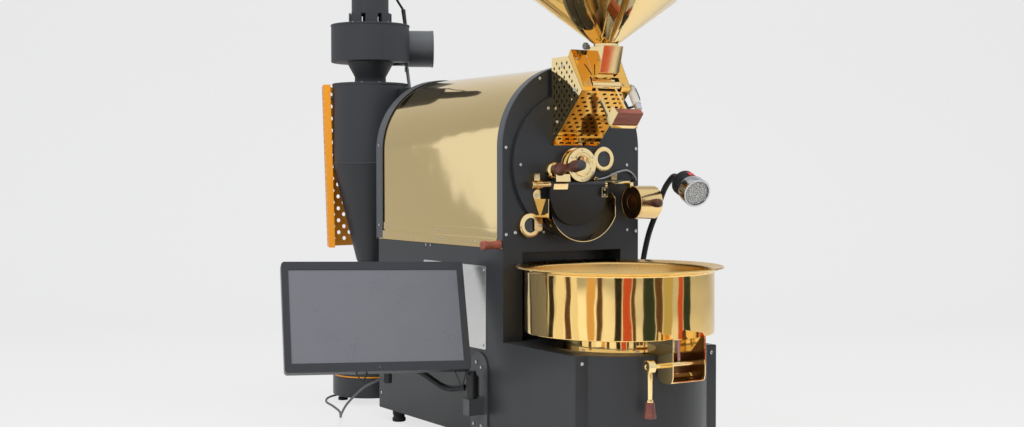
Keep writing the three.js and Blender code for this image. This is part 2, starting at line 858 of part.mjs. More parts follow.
// Hopper's faceted neck with its cover plate on the feed box
const neckOuter = [
  [-139, 801],
  [-88, 801],
  onFace(66, 1.5),
  onFace(15, 1.5),
  [-125, 750],
];
const neckInner = [
  [-136, 802],
  [-91, 802],
  onFace(61, 1),
  onFace(19, 1),
  [-122, 753],
];
piece(
  machine,
  "hopper_neck",
  cut(
    join(
      plateYZ(neckOuter, -24, 23),
      plateYZ([onFace(15, 1.5), onFace(76, 1.5), onFace(76, 3.5), onFace(15, 3.5)], -FEED.half, FEED.half),
    ),
    plateYZ(neckInner, -22, 21),
  ),
  GOLD,
);

// Hopper: open cone with a short band and a bead
piece(
  machine,
  "hopper",
  lathe(
    [
      [HOPPER.neck - 4, 801 + GAP],
      [HOPPER.neck, 801 + GAP],
      [HOPPER.neck, 806],
      [HOPPER.cone, HOPPER.coneZ],
      [HOPPER.rim, HOPPER.rimZ],
      [HOPPER.rim, HOPPER.top],
      [HOPPER.rim - THIN, HOPPER.top],
      [HOPPER.rim - THIN, HOPPER.rimZ + 1],
      [HOPPER.cone - THIN, HOPPER.coneZ + 1],
      [HOPPER.neck - 4, 808],
    ],
    48,
  ).translate([0, HOPPER.y, 0]),
  CHARCOAL,
);

// Yoke: pivot tube, two arms and the flap that closes the neck
const armDir = [-0.76, -0.65];
const onArm = (s, out) => [
  YOKE.y + armDir[0] * s - armDir[1] * out,
  YOKE.z + armDir[1] * s + armDir[0] * out,
];
const yokeArm = (x0, x1) => plateYZ([onArm(0, 4), onArm(90, 4), onArm(90, -4), onArm(0, -4)], x0, x1);
piece(
  machine,
  "feed_yoke",
  join(
    rod(YOKE.radius, [-YOKE.half, YOKE.y, YOKE.z], [YOKE.half, YOKE.y, YOKE.z], 20),
    yokeArm(-30, -26),
    yokeArm(15, 20),
    plateYZ([onFace(0, 0.8), onFace(62, 0.8), onFace(62, -1.2), onFace(0, -1.2)], -27, 27),
  ),
  GOLD,
);
piece(
  machine,
  "yoke_bar",
  plateYZ([onArm(90 + GAP, 15), onArm(105, 15), onArm(105, -43), onArm(90 + GAP, -43)], -33, 27),
  TERRACOTTA,
);

// Small silver barrel on the guard's right side, with its lead
piece(
  machine,
  "feed_sensor",
  join(
    rod(8.5, [66, -103, 726], [66, -132, 680], 18),
    sweep(
      [
        [66, -104, 724],
        [67, -99, 732],
        [70, -90, 742],
        [72, -70, 740],
        [66, -40, 715],
        [62, -24, 685],
        [60, FACE.front - 10, 668],
        [60, FACE.front - GAP, 667.5],
      ],
      2.2,
      6,
      14,
    ),
  ),
  STEEL,
);

// Cooling tray with its air collar
const trayCutY = -293.7;
const gateOpening = box(-CHUTE.half - GAP, CHUTE.half + GAP, -345, trayCutY, 250, 280);
const traySpace = lathe(
  [
    [0, 240],
    [TRAY.radius - THIN, 240],
    [TRAY.radius - THIN, 290],
    [0, 290],
  ],
  64,
).translate([0, TRAY_Y, 0]);
piece(
  machine,
  "cooling_tray",
  cut(
    lathe(
      [
        [TRAY.foot, BASE.top + GAP],
        [TRAY.foot, BASE.top + GAP + SHEET],
        [TRAY.collar + THIN, BASE.top + GAP + SHEET],
        [TRAY.collar + THIN, TRAY.bottom],
        [TRAY.radius, TRAY.bottom],
        [TRAY.radius, 366],
        [TRAY.rim, 375.5],
        [TRAY.rim, TRAY.top],
        [TRAY.rim - 2, TRAY.top],
        [TRAY.radius - THIN, 367.5],
        [TRAY.radius - THIN, SCREEN.z0 - GAP],
        [TRAY.radius - 8, SCREEN.z0 - GAP],
        [TRAY.radius - 8, SCREEN.z0 - 2.3],
        [TRAY.radius - THIN, SCREEN.z0 - 2.3],
        [TRAY.radius - THIN, TRAY.bottom + THIN],
        [TRAY.collar, TRAY.bottom + THIN],
        [TRAY.collar, BASE.top + GAP],
      ],
      64,
    ).translate([0, TRAY_Y, 0]),
    gateOpening.intersect(traySpace),
  ),
  GOLD,
);

// Perforated screen in the tray
const screenSlots = [];
for (const [r, n] of [[60, 5], [110, 7]]) {
  for (let i = 0; i < n; i += 1) {
    const angle = (TURN * (i + 0.5)) / n;
    const centre = new THREE.Vector3(r * Math.cos(angle), r * Math.sin(angle), 0);
    if (r > 100 && Math.abs(centre.x) < 60 && centre.y < 0) continue;
    const slot = new THREE.BoxGeometry(30, 8, 10).rotateZ(angle).translate(centre.x, TRAY_Y + centre.y, SCREEN.z0);
    screenSlots.push(solid(slot));
  }
}
piece(
  machine,
  "tray_screen",
  cut(
    lathe(
      [
        [14, SCREEN.z0],
        [SCREEN.radius, SCREEN.z0],
        [SCREEN.radius, SCREEN.z1],
        [14, SCREEN.z1],
      ],
      64,
    ).translate([0, TRAY_Y, 0]),
    gateOpening,
    ...screenSlots,
  ),
  STEEL,
);

// Outlet chute under and in front of the tray, with the gate shaft's bores
const chuteSide = [
  [-294, 267.5],
  [-294, 229],
  [CHUTE.back, 229],
  [CHUTE.back, 190],
  [-330, 182],
  [-340, CHUTE.bottom],
  [-356, CHUTE.bottom],
  [-364, 183],
  [CHUTE.front, 192],
  [CHUTE.front, 262],
  [-361, CHUTE.top],
  [-338.2, CHUTE.top],
  [-338.2, 267.5],
];
const chuteFloor = [
  [-294, 229],
  [CHUTE.back, 229],
  [CHUTE.back, 190],
  [-330, 182],
  [-340, CHUTE.bottom],
  [-362, CHUTE.bottom + 2],
  [-362, CHUTE.bottom + 4],
  [-341, 181.2],
  [-331.5, 184],
  [CHUTE.back - 2, 191],
  [CHUTE.back - 2, 231],
  [-294, 231],
];
const wallClearance = cut(
  lathe(
    [
      [0, TRAY.bottom - GAP],
      [TRAY.radius + GAP, TRAY.bottom - GAP],
      [TRAY.radius + GAP, 290],
      [0, 290],
    ],
    64,
  ),
  lathe(
    [
      [0, TRAY.bottom - 5],
      [TRAY.radius - THIN - GAP, TRAY.bottom - 5],
      [TRAY.radius - THIN - GAP, 300],
      [0, 300],
    ],
    64,
  ),
).translate([0, TRAY_Y, 0]);
const ledgeClearance = lathe(
  [
    [TRAY.radius - 8 - GAP, SCREEN.z0 - 2.6],
    [TRAY.radius, SCREEN.z0 - 2.6],
    [TRAY.radius, SCREEN.z0 + 5],
    [TRAY.radius - 8 - GAP, SCREEN.z0 + 5],
  ],
  64,
).translate([0, TRAY_Y, 0]);
piece(
  machine,
  "tray_chute",
  cut(
    join(
      plateYZ(chuteSide, -CHUTE.half, -CHUTE.half + CHUTE.wall),
      plateYZ(chuteSide, CHUTE.half - CHUTE.wall, CHUTE.half),
      plateYZ(chuteFloor, -CHUTE.half, CHUTE.half),
    ),
    wallClearance,
    ledgeClearance,
    rod(CRANK.radius + RUN, [-50, CRANK.y, CRANK.z], [50, CRANK.y, CRANK.z], 16),
    rod(3 + RUN, [-50, FLAP.y, FLAP.z - 5], [50, FLAP.y, FLAP.z - 5], 12),
  ),
  GOLD,
);

// Gate handle on its cross shaft, the flap in the tray's floor and the link between them
piece(
  machine,
  "gate_handle",
  join(
    rod(CRANK.radius, [-72, CRANK.y, CRANK.z], [41, CRANK.y, CRANK.z], 14),
    rod(11, [-78, CRANK.y, CRANK.z], [-66, CRANK.y, CRANK.z], 20),
    box(-77.5, -66.5, CRANK.y - 3, CRANK.y + 3, 146, CRANK.z),
    box(-6, -2, CRANK.y - 3, CRANK.y + CRANK.arm + 3, CRANK.z - 4, CRANK.z + 3),
    rod(2, [-3, CRANK.y + CRANK.arm, CRANK.z], [5, CRANK.y + CRANK.arm, CRANK.z], 10),
    rod(7.5, [-72, CRANK.y, 148], [-72, CRANK.y, 119], 18, 10.5),
  ),
  GOLD,
);
const flapHinge = FLAP.z - 5;
piece(
  machine,
  "tray_gate",
  join(
    box(-35, 35, -330.5, FLAP.y - 2, FLAP.z - 1.5, FLAP.z + 0.5),
    rod(3, [-37.5, FLAP.y, flapHinge], [37.5, FLAP.y, flapHinge], 12),
    box(-35, 35, FLAP.y - 4, FLAP.y, flapHinge, FLAP.z - 0.5),
    box(-6, -2, FLAP.lug - 3, FLAP.lug + 8, FLAP.lugZ - 4, FLAP.z - 1),
    rod(2, [-3, FLAP.lug, FLAP.lugZ - 2], [5, FLAP.lug, FLAP.lugZ - 2], 10),
  ),
  STEEL,
);
const linkTop = FLAP.lugZ - 2;
piece(
  machine,
  "gate_link",
  cut(
    plateYZ(
      [
        ...arc(FLAP.lug, linkTop, 4.2, 0, 180, 6),
        ...arc(FLAP.lug, CRANK.z, 4.9, 180, 360, 6),
      ],
      -1.5,
      4.5,
    ),
    rod(2 + RUN, [-4, FLAP.lug, linkTop], [8, FLAP.lug, linkTop], 12),
    rod(3.7, [-4, FLAP.lug, CRANK.z], [8, FLAP.lug, CRANK.z], 36),
  ),
  STEEL,
);

// Drum: shell, front ring, rear wall, spokes, vanes, shaft and pulley
const drumShell = latheY(
  [
    [DRUM.mouth, DRUM.front],
    [DRUM.radius, DRUM.front],
    [DRUM.radius, DRUM.rear],
    [SHAFT.radius - 1, DRUM.rear],
    [SHAFT.radius - 1, DRUM.rear - DRUM.wall],
    [DRUM.radius - DRUM.wall, DRUM.rear - DRUM.wall],
    [DRUM.radius - DRUM.wall, DRUM.front + DRUM.wall],
    [DRUM.mouth, DRUM.front + DRUM.wall],
  ],
  0,
  AXIS_Z,
  48,
);
const drumParts = [];
for (let i = 0; i < 4; i += 1) {
  const vane = new THREE.BoxGeometry(DRUM.vane, DRUM.rear - DRUM.front - 8, THIN)
    .rotateX(8 * DEG * (i % 2 ? 1 : -1) * 0.3)
    .translate(DRUM.radius - DRUM.wall - DRUM.vane / 2 + 1, (DRUM.rear + DRUM.front) / 2, 0)
    .rotateY((i * TURN) / 4 + 0.2)
    .translate(0, 0, AXIS_Z);
  drumParts.push(solid(vane));
}
for (let i = 0; i < 3; i += 1) {
  const spoke = new THREE.BoxGeometry(DRUM.radius - 2, 5, 12)
    .translate(DRUM.radius / 2 - 1, DRUM.spider, 0)
    .rotateY((i * TURN) / 3 + 0.6)
    .translate(0, 0, AXIS_Z);
  drumParts.push(solid(spoke));
}
piece(
  machine,
  "drum",
  join(
    drumShell,
    ...drumParts,
    rod(SHAFT.radius, [0, SHAFT.front, AXIS_Z], [0, SHAFT.rear, AXIS_Z], 24),
    rod(BELT.big, [0, BELT.y0 - 1, AXIS_Z], [0, BELT.y1 + 1, AXIS_Z], 40),
  ),
  STEEL,
);

// Gearmotor, its pulley and the belt
piece(
  machine,
  "drive_motor",
  cut(
    join(
      box(-38, 38, GEARMOTOR.y - GEARMOTOR.boxDeep, GEARMOTOR.y, BELT.motorZ - 38, BELT.motorZ + 38),
      rod(
        GEARMOTOR.radius,
        [0, GEARMOTOR.y - GEARMOTOR.boxDeep - GEARMOTOR.deep, BELT.motorZ],
        [0, GEARMOTOR.y - GEARMOTOR.boxDeep + 1, BELT.motorZ],
        24,
      ),
    ),
    rod(GEARMOTOR.shaft + RUN, [0, 378, BELT.motorZ], [0, 420, BELT.motorZ], 18),
  ),
  GREY,
);
piece(
  machine,
  "motor_pulley",
  join(
    rod(GEARMOTOR.shaft, [0, 379, BELT.motorZ], [0, BELT.y1 + 3, BELT.motorZ], 18),
    rod(BELT.small, [0, BELT.y0 - 1, BELT.motorZ], [0, BELT.y1 + 1, BELT.motorZ], 30),
  ),
  STEEL,
);
const beltLoop = (extra) => {
  const lean = Math.asin((BELT.big - BELT.small) / (AXIS_Z - BELT.motorZ)) / DEG;
  return [
    ...arc(0, AXIS_Z, BELT.big + extra, -lean, 180 + lean, 26),
    ...arc(0, BELT.motorZ, BELT.small + extra, 180 + lean, 360 - lean, 16),
  ];
};
piece(machine, "drive_belt", plateXZ(beltLoop(GAP + BELT.thick), BELT.y0, BELT.y1, [beltLoop(GAP)]), BLACK);

// Electric heater: one serpentine tube on the deck's posts
const heaterPath = [
  [-90, HEATER.y1, 396],
  [-90, HEATER.y1, 418],
  [-90, HEATER.y1 - 10, HEATER.z],
];
const columns = [-90, -54, -18, 18, 54, 90];
columns.forEach((x, i) => {
  const [near, far] = i % 2 ? [HEATER.y0 + 14, HEATER.y1 - 24] : [HEATER.y1 - 24, HEATER.y0 + 14];
  heaterPath.push([x, near, HEATER.z], [x, (near + far) / 2, HEATER.z], [x, far, HEATER.z]);
  if (i < columns.length - 1) heaterPath.push([x + 18, i % 2 ? HEATER.y1 - 12 : HEATER.y0 + 2, HEATER.z]);
});
heaterPath.push([90, HEATER.y1 - 10, HEATER.z], [90, HEATER.y1, 418], [90, HEATER.y1, 396]);
piece(machine, "heater_element", sweep(heaterPath, HEATER.radius, 4, 54), COPPER);

// Agitator and its gearmotor
piece(
  machine,
  "agitator_motor",
  cut(
    join(
      rod(28, [0, TRAY_Y, 130], [0, TRAY_Y, BASE.top - SHEET - GAP], 24),
      rod(18, [0, TRAY_Y, 96], [0, TRAY_Y, 131], 20),
    ),
    rod(6 + RUN, [0, TRAY_Y, 198], [0, TRAY_Y, 240], 16),
  ),
  GREY,
);
const agitatorArms = [];
for (let i = 0; i < 3; i += 1) {
  const turn = (i * TURN) / 3 + 0.4;
  const place = (geometry) => solid(geometry.rotateZ(turn).translate(0, TRAY_Y, 0));
  agitatorArms.push(place(new THREE.BoxGeometry(150, 10, 6).translate(82, 0, 300)));
  for (const [r, tilt] of [[60, 0.5], [105, 0.5], [148, -0.6]]) {
    agitatorArms.push(place(new THREE.BoxGeometry(26, 3, 28).rotateZ(tilt).translate(r, 0, 286.5)));
  }
}
piece(
  machine,
  "agitator",
  join(
    rod(6, [0, TRAY_Y, 200], [0, TRAY_Y, 318], 16),
    rod(16, [0, TRAY_Y, 272.5], [0, TRAY_Y, 312], 20, 12),
    ...agitatorArms,
  ),
  STEEL,
);

// Cooling fan: scroll with an inlet on top and an outlet through the rear wall
const fanRod = (r, z0, z1, sides = 32) => rod(r, [FAN.x, FAN.y, z0], [FAN.x, FAN.y, z1], sides);
const fanLeg = (dx, dy) =>
  rod(6, [FAN.x + dx, FAN.y + dy, PAN_TOP], [FAN.x + dx, FAN.y + dy, FAN.z0 + 1], 10);
piece(
  machine,
  "cooling_fan",
  cut(
    join(
      fanRod(FAN.radius, FAN.z0, FAN.z1, 40),
      box(FAN.outX0, FAN.outX1, FAN.y, BASE.rear - SHEET - GAP, FAN.outZ0 - SHEET, FAN.outZ1 + SHEET),
      fanRod(26, PAN_TOP + 2, FAN.z0 + 1, 20),
      fanLeg(-60, 0),
      fanLeg(50, 40),
      fanLeg(50, -40),
    ),
    join(
      fanRod(FAN.radius - SHEET, FAN.z0 + SHEET, FAN.z1 - SHEET, 40),
      box(FAN.outX0 + SHEET, FAN.outX1 - SHEET, FAN.y, BASE.rear + 5, FAN.outZ0, FAN.outZ1),
    ),
    fanRod(FAN.inlet, FAN.z1 - 5, FAN.z1 + 5, 32),
    fanRod(4 + RUN, 44, FAN.z0 + 5, 12),
  ),
  CHARCOAL,
);
function impeller(radius, z0, z1, blades, hub) {
  const parts = [
    lathe(
      [
        [0, z0],
        [radius, z0],
        [radius, z0 + SHEET],
        [hub + 2, z0 + SHEET],
        [hub, z1 - 8],
        [0, z1 - 8],
      ],
      28,
    ),
  ];
  for (let i = 0; i < blades; i += 1) {
    const blade = new THREE.BoxGeometry(radius * 0.55, SHEET, z1 - z0)
      .rotateZ(0.35)
      .translate(radius * 0.68, 0, (z0 + z1) / 2)
      .rotateZ((i * TURN) / blades);
    parts.push(solid(blade));
  }
  return join(...parts);
}
piece(
  machine,
  "cooling_impeller",
  join(
    impeller(66, FAN.z0 + 8, FAN.z1 - 14, 8, 16).translate([FAN.x, FAN.y, 0]),
    fanRod(4, 46, FAN.z0 + 20, 12),
  ),
  STEEL,
);

// Damper plate over the deck's slot, with its rod and wooden handle outside
piece(
  machine,
  "damper_slide",
  join(
    box(-120, -62, 5, 56, DECK.top + GAP, DECK.top + GAP + SHEET),
    box(-120, -116, 4, 30, DECK.top + GAP, 420.5),
    rod(DAMPER.rod, [-HALF - 1.5, DAMPER.y, DAMPER.z], [-117, DAMPER.y, DAMPER.z], 12),
  ),
  STEEL,
);
piece(
  machine,
  "damper_handle",
  join(
    rod(9, [DAMPER.collar, DAMPER.y, DAMPER.z], [DAMPER.grip + 20, DAMPER.y, DAMPER.z], 18, 7.5),
    rod(7.5, [DAMPER.grip + 21, DAMPER.y, DAMPER.z], [DAMPER.grip, DAMPER.y, DAMPER.z], 18, 9.5),
    rod(9.5, [DAMPER.grip + 0.1, DAMPER.y, DAMPER.z], [DAMPER.end, DAMPER.y, DAMPER.z], 18, 7),
  ),
  TERRACOTTA,
);

// Cyclone with its tangential inlet duct and cone
const cycLathe = (profile, sides = 48) => lathe(profile, sides).translate([CYC.x, CYC.y, 0]);
const cycOuter = join(
  cycLathe([
    [0, CYC.coneEnd],
    [CYC.coneRadius, CYC.coneEnd],
    [CYC.radius, CYC.seam],
    [CYC.radius, CYC.top],
    [0, CYC.top],
  ]),
  box(DUCT.x0, DUCT.x1 - 0.5, REAR.face + GAP, CYC.y, DUCT.z0, DUCT.z1),
  box(DUCT.x0 - 12, DUCT.x1 + 12, REAR.face + GAP, REAR.face + GAP + 3, DUCT.z0 - 12, DUCT.z1 + 3),
);
const cycInner = join(
  cycLathe([
    [0, CYC.coneEnd - 5],
    [CYC.coneRadius - THIN, CYC.coneEnd - 5],
    [CYC.coneRadius - THIN, CYC.coneEnd + 1],
    [CYC.radius - THIN, CYC.seam + 1],
    [CYC.radius - THIN, CYC.top - SHEET],
    [0, CYC.top - SHEET],
  ]),
  box(DUCT.x0 + THIN, DUCT.x1 - 0.5 - THIN, REAR.face - 5, CYC.y, DUCT.z0 + THIN, DUCT.z1 - THIN),
);
piece(
  machine,
  "cyclone_body",
  cut(cycOuter, cycInner, rod(34, [CYC.x, CYC.y, CYC.top - 5], [CYC.x, CYC.y, CYC.top + 5], 32)),
  CHARCOAL,
);

// Drop tube under the cone, with the can's lid at its foot
piece(
  machine,
  "chaff_tube",
  cut(
    cycLathe([
      [0, CAN.top + 3],
      [CAN.radius, CAN.top + 3],
      [CAN.radius, CAN.top + 8],
      [DROP.radius, CAN.top + 12],
      [DROP.radius, CYC.coneEnd - GAP],
      [0, CYC.coneEnd - GAP],
    ]),
    cycLathe([
      [0, CAN.top - 3],
      [DROP.bore, CAN.top - 3],
      [DROP.bore, CYC.coneEnd + 5],
      [0, CYC.coneEnd + 5],
    ]),
  ),
  CHARCOAL,
);

// Blower: neck, funnel, round housing and the outlet pipe on a square flange
const blowDir = [Math.cos(BLOWER.azimuth * DEG), Math.sin(BLOWER.azimuth * DEG)];
const blowSide = [-blowDir[1], blowDir[0]];
const blowAt = (along, side, z) => [
  CYC.x + blowDir[0] * along + blowSide[0] * side,
  CYC.y + blowDir[1] * along + blowSide[1] * side,
  z,
];
const blowBox = (a0, a1, s0, s1, z0, z1) =>
  solid(
    new THREE.BoxGeometry(a1 - a0, s1 - s0, z1 - z0)
      .translate((a0 + a1) / 2, (s0 + s1) / 2, (z0 + z1) / 2)
      .rotateZ(BLOWER.azimuth * DEG)
      .translate(CYC.x, CYC.y, 0),
  );
const pipe = (r, from, to) =>
  rod(r, blowAt(from, BLOWER.offset, BLOWER.pipeZ), blowAt(to, BLOWER.offset, BLOWER.pipeZ), 36);
piece(
  machine,
  "blower_housing",
  cut(
    join(
      cycLathe([
        [0, CYC.top + GAP],
        [44, CYC.top + GAP],
        [44, CYC.top + 3],
        [38, CYC.top + 3],
        [38, BLOWER.neckTop],
        [57, BLOWER.z0],
        [BLOWER.radius, BLOWER.z0],
        [BLOWER.radius, BLOWER.z1],
        [0, BLOWER.z1],
      ]),
      blowBox(10, BLOWER.flange, 5, 95, BLOWER.z0, BLOWER.z1 - 0.5),
      blowBox(BLOWER.flange, BLOWER.flange + 4, -4, 100, BLOWER.z0 - 15, BLOWER.z1 + 3),
      pipe(BLOWER.pipe, BLOWER.flange, BLOWER.end),
      rod(4, [CYC.x + 70, CYC.y - 72, DUCT.z1 + 2.8], [CYC.x + 79.5, CYC.y - 40.5, BLOWER.z0 - 12], 8),
    ),
    join(
      cycLathe([
        [0, CYC.top - 5],
        [34, CYC.top - 5],
        [36, BLOWER.neckTop],
        [55, BLOWER.z0 + SHEET],
        [BLOWER.radius - SHEET, BLOWER.z0 + SHEET],
        [BLOWER.radius - SHEET, BLOWER.z1 - SHEET],
        [0, BLOWER.z1 - SHEET],
      ]),
      blowBox(10, BLOWER.flange - 2, 7, 93, BLOWER.z0 + SHEET, BLOWER.z1 - SHEET),
      pipe(BLOWER.pipe - SHEET, BLOWER.flange - 8, BLOWER.end + 5),
    ),
    rod(7, [CYC.x, CYC.y, BLOWER.z1 - 5], [CYC.x, CYC.y, BLOWER.z1 + 5], 16),
  ),
  CHARCOAL,
);
piece(
  machine,
  "blower_impeller",
  join(
    impeller(80, BLOWER.z0 + 8, BLOWER.z1 - 12, 8, 14),
    rod(5, [0, 0, BLOWER.z0 + 10], [0, 0, BLOWER.z1 + 40], 14),
  ).translate([CYC.x, CYC.y, 0]),
  STEEL,
);

// Blower motor on its slotted cone, with its lead down to the outlet flange
const motorSlots = [];
for (let i = 0; i < 8; i += 1) {
  const slot = new THREE.BoxGeometry(30, 8, 20)
    .translate(50, 0, BLOWER.z1 + 16)
    .rotateZ((i * TURN) / 8)
    .translate(CYC.x, CYC.y, 0);
  motorSlots.push(solid(slot));
}
piece(
  machine,
  "blower_motor",
  join(
    cut(
      cycLathe(
        [
          [5 + RUN, BLOWER.z1 + MOTOR.slotted],
          [MOTOR.radius - 5, BLOWER.z1 + MOTOR.slotted],
          [51, BLOWER.z1 + 3],
          [51, BLOWER.z1 + GAP],
          [57, BLOWER.z1 + GAP],
          [56, BLOWER.z1 + 3],
          [MOTOR.radius, BLOWER.z1 + MOTOR.slotted + 1],
          [MOTOR.radius, MOTOR.top - 8],
          [MOTOR.radius - 7, MOTOR.top],
          [0, MOTOR.top],
          [0, BLOWER.z1 + MOTOR.slotted + 13],
          [5 + RUN, BLOWER.z1 + MOTOR.slotted + 13],
        ],
        36,
      ),
      ...motorSlots,
    ),
    sweep(
      [
        [CYC.x + MOTOR.radius - 2, CYC.y, MOTOR.top - 38],
        [CYC.x + 54, CYC.y, MOTOR.top - 40],
        [CYC.x + 62, CYC.y, MOTOR.top - 52],
        [CYC.x + 74, CYC.y, MOTOR.top - 75],
        [CYC.x + 90, CYC.y - 2, MOTOR.top - 99],
      ],
      3,
      6,
      8,
    ),
    rod(5.5, [CYC.x + 90, CYC.y - 2, MOTOR.top - 98], [CYC.x + 95, CYC.y - 4, BLOWER.z1 + 3.6], 12, 4.5),
  ),
  CHARCOAL,
);

// Orange perforated guard on the cyclone's left side, on two standoffs. Its plan shrinks evenly from the top to
// the bottom and through its thickness, so that each of its faces is flat.
const ORANGE_GUARD = { top: 772, bottom: 376, lowShare: 0.9, thick: THIN, reach: 97 };
const guardPlan = [
  [-95.5, 24.8],
  [-108.2, 32.8],
  [-74.3, 117.8],
  [32.9, 127],
];
const guardShareAt = (z) =>
  ORANGE_GUARD.lowShare +
  ((1 - ORANGE_GUARD.lowShare) * (z - ORANGE_GUARD.bottom)) / (ORANGE_GUARD.top - ORANGE_GUARD.bottom);
function bentSheet(plan) {
  const innerShare = 1 - ORANGE_GUARD.thick / ORANGE_GUARD.reach;
  const { lowShare, top, bottom } = ORANGE_GUARD;
  const rows = [];
  for (const [x, y] of plan) {
    const inLow = lowShare * innerShare;
    rows.push(x, y, top, x * lowShare, y * lowShare, bottom, x * inLow, y * inLow, bottom);
    rows.push(x * innerShare, y * innerShare, top);
  }
  const index = [];
  const quad = (a, b, c, d) => index.push(a, b, c, a, c, d);
  const last = plan.length - 1;
  for (let i = 0; i < last; i += 1) {
    const a = 4 * i;
    const b = 4 * (i + 1);
    for (let k = 0; k < 4; k += 1) {
      const n = (k + 1) % 4;
      quad(a + k, a + n, b + n, b + k);
    }
  }
  quad(0, 3, 2, 1);
  quad(4 * last, 4 * last + 1, 4 * last + 2, 4 * last + 3);
  const geometry = new THREE.BufferGeometry();
  geometry.setAttribute("position", new THREE.BufferAttribute(new Float32Array(rows), 3));
  geometry.setIndex(index);
  return solid(geometry.translate(CYC.x, CYC.y, 0));
}
const guardDots = [];
const DOT = { radius: 5, first: 430, pitch: 92, rows: 4, lean: 0.18, deep: 5 };
function dotsOn(i, count) {
  const from = new THREE.Vector2(...guardPlan[i]);
  const to = new THREE.Vector2(...guardPlan[i + 1]);
  const normal = new THREE.Vector2(to.y - from.y, from.x - to.x).normalize().multiplyScalar(DOT.deep);
  for (let row = 0; row < DOT.rows; row += 1) {
    for (let k = 0; k < count; k += 1) {
      const share = (k + 0.5 + (row % 2 ? DOT.lean : -DOT.lean)) / count;
      const z = DOT.first + DOT.pitch * row;
      const at = from.clone().lerp(to, share).multiplyScalar(guardShareAt(z)).add(new THREE.Vector2(CYC.x, CYC.y));
      guardDots.push(rod(DOT.radius, [at.x - normal.x, at.y - normal.y, z], [at.x + normal.x, at.y + normal.y, z], 5));
    }
  }
}
dotsOn(1, 2);
dotsOn(2, 2);
const STANDOFF = { angle: 160.6, half: 8, rise: [610, 740] };
const guardInside = cycLathe([
  [0, CYC.seam + GAP],
  [CYC.radius + GAP, CYC.seam + GAP],
  [CYC.radius + GAP, ORANGE_GUARD.top],
  [0, ORANGE_GUARD.top],
]);
// Where a line from the cyclone's axis meets the guard's side face at a height
function guardReach(angle, z) {
  const out = new THREE.Vector2(Math.cos(angle * DEG), Math.sin(angle * DEG));
  const from = new THREE.Vector2(...guardPlan[1]);
  const along = new THREE.Vector2(...guardPlan[2]).sub(from);
  return ((from.x * along.y - from.y * along.x) / (out.x * along.y - out.y * along.x)) * guardShareAt(z);
}
const standoff = (z) => {
  const end = guardReach(STANDOFF.angle, z) - ORANGE_GUARD.thick / 2;
  const block = new THREE.BoxGeometry(end - CYC.radius / 2, 2 * STANDOFF.half, 2 * STANDOFF.half)
    .translate((end + CYC.radius / 2) / 2, 0, z)
    .rotateZ(STANDOFF.angle * DEG)
    .translate(CYC.x, CYC.y, 0);
  return solid(block).subtract(guardInside);
};
piece(
  machine,
  "cyclone_guard",
  cut(join(bentSheet(guardPlan), ...STANDOFF.rise.map(standoff)), ...guardDots),
  ORANGE,
);

// Chaff can on its feet, under the cyclone's lid
const canFoot = (angle) => {
  const x = CYC.x + 70 * Math.cos(angle * DEG);
  const y = CYC.y + 70 * Math.sin(angle * DEG);
  return rod(12, [x, y, 0], [x, y, CAN.bottom + 1], 14);
};
piece(
  machine,
  "collector_can",
  join(
    cycLathe([
      [0, CAN.bottom],
      [CAN.radius - 3, CAN.bottom],
      [CAN.radius, CAN.bottom + 3],
      [CAN.radius, CAN.top + 3 - GAP],
      [CAN.radius - 8, CAN.top + 3 - GAP],
      [CAN.radius - 8, CAN.top],
      [CAN.radius - SHEET, CAN.top - 3],
      [CAN.radius - SHEET, CAN.bottom + SHEET],
      [0, CAN.bottom + SHEET],
    ]),
    canFoot(30),
    canFoot(150),
    canFoot(270),
  ),
  CHARCOAL,
);

// Display's side bracket: plate, block and pole with its cap
piece(
  machine,
  "screen_bracket",
  join(
    plateYZ(
      [
        [72, 35],
        [127, 35],
        ...arc(99.5, 170.5, 27.5, 0, 180, 12),
      ],
      -HALF - GAP - 2.5,
      -HALF - GAP,
    ),
    box(POLE.x - 12, -HALF - GAP - 1, POLE.y - 12, POLE.y + 12, 75, 108),
    rod(POLE.radius, [POLE.x, POLE.y, 100], [POLE.x, POLE.y, POLE.top], 20),
    rod(11, [POLE.x, POLE.y, 156.3], [POLE.x, POLE.y, POLE.top + 3], 20, 9),
  ),
  CHARCOAL,
);

// Display, built flat and turned as a group; y = 0 is the screen's plane
const display = new THREE.Group();
display.position.set(...MONITOR.centre);
display.rotation.order = "ZYX";
display.rotation.set(MONITOR.pitch * DEG, 0, MONITOR.yaw * DEG);
machine.add(display);
display.updateMatrix();
const inMachine = (x, y, z) => new THREE.Vector3(x, y, z).applyMatrix4(display.matrix).toArray();
piece(
  display,
  "monitor_housing",
  cut(
    join(
      box(-MONITOR.half, MONITOR.half, -1.5, MONITOR.deep - 8, MONITOR.down, MONITOR.up),
      box(-150, 150, 0, MONITOR.deep, -80, 85),
      box(-38, 38, MONITOR.deep - 1, MONITOR.deep + 4, TILT.down - 38, TILT.down + 38),
      box(-20, -13, MONITOR.deep, TILT.back + 8, TILT.down - 10, TILT.down + 10),
      box(13, 20, MONITOR.deep, TILT.back + 8, TILT.down - 10, TILT.down + 10),
    ),
    box(-MONITOR_ACTIVE.half, MONITOR_ACTIVE.half, -3, 2.3, -MONITOR_ACTIVE.up, MONITOR_ACTIVE.up),
    rod(4 + RUN, [-25, TILT.back, TILT.down], [25, TILT.back, TILT.down], 14),
  ),
  CHARCOAL,
);
const glassHalf = MONITOR_ACTIVE.half - GAP;
const glassUp = MONITOR_ACTIVE.up - GAP;
piece(display, "monitor_screen", box(-glassHalf, glassHalf, 0, 2, -glassUp, glassUp), GLASSY);

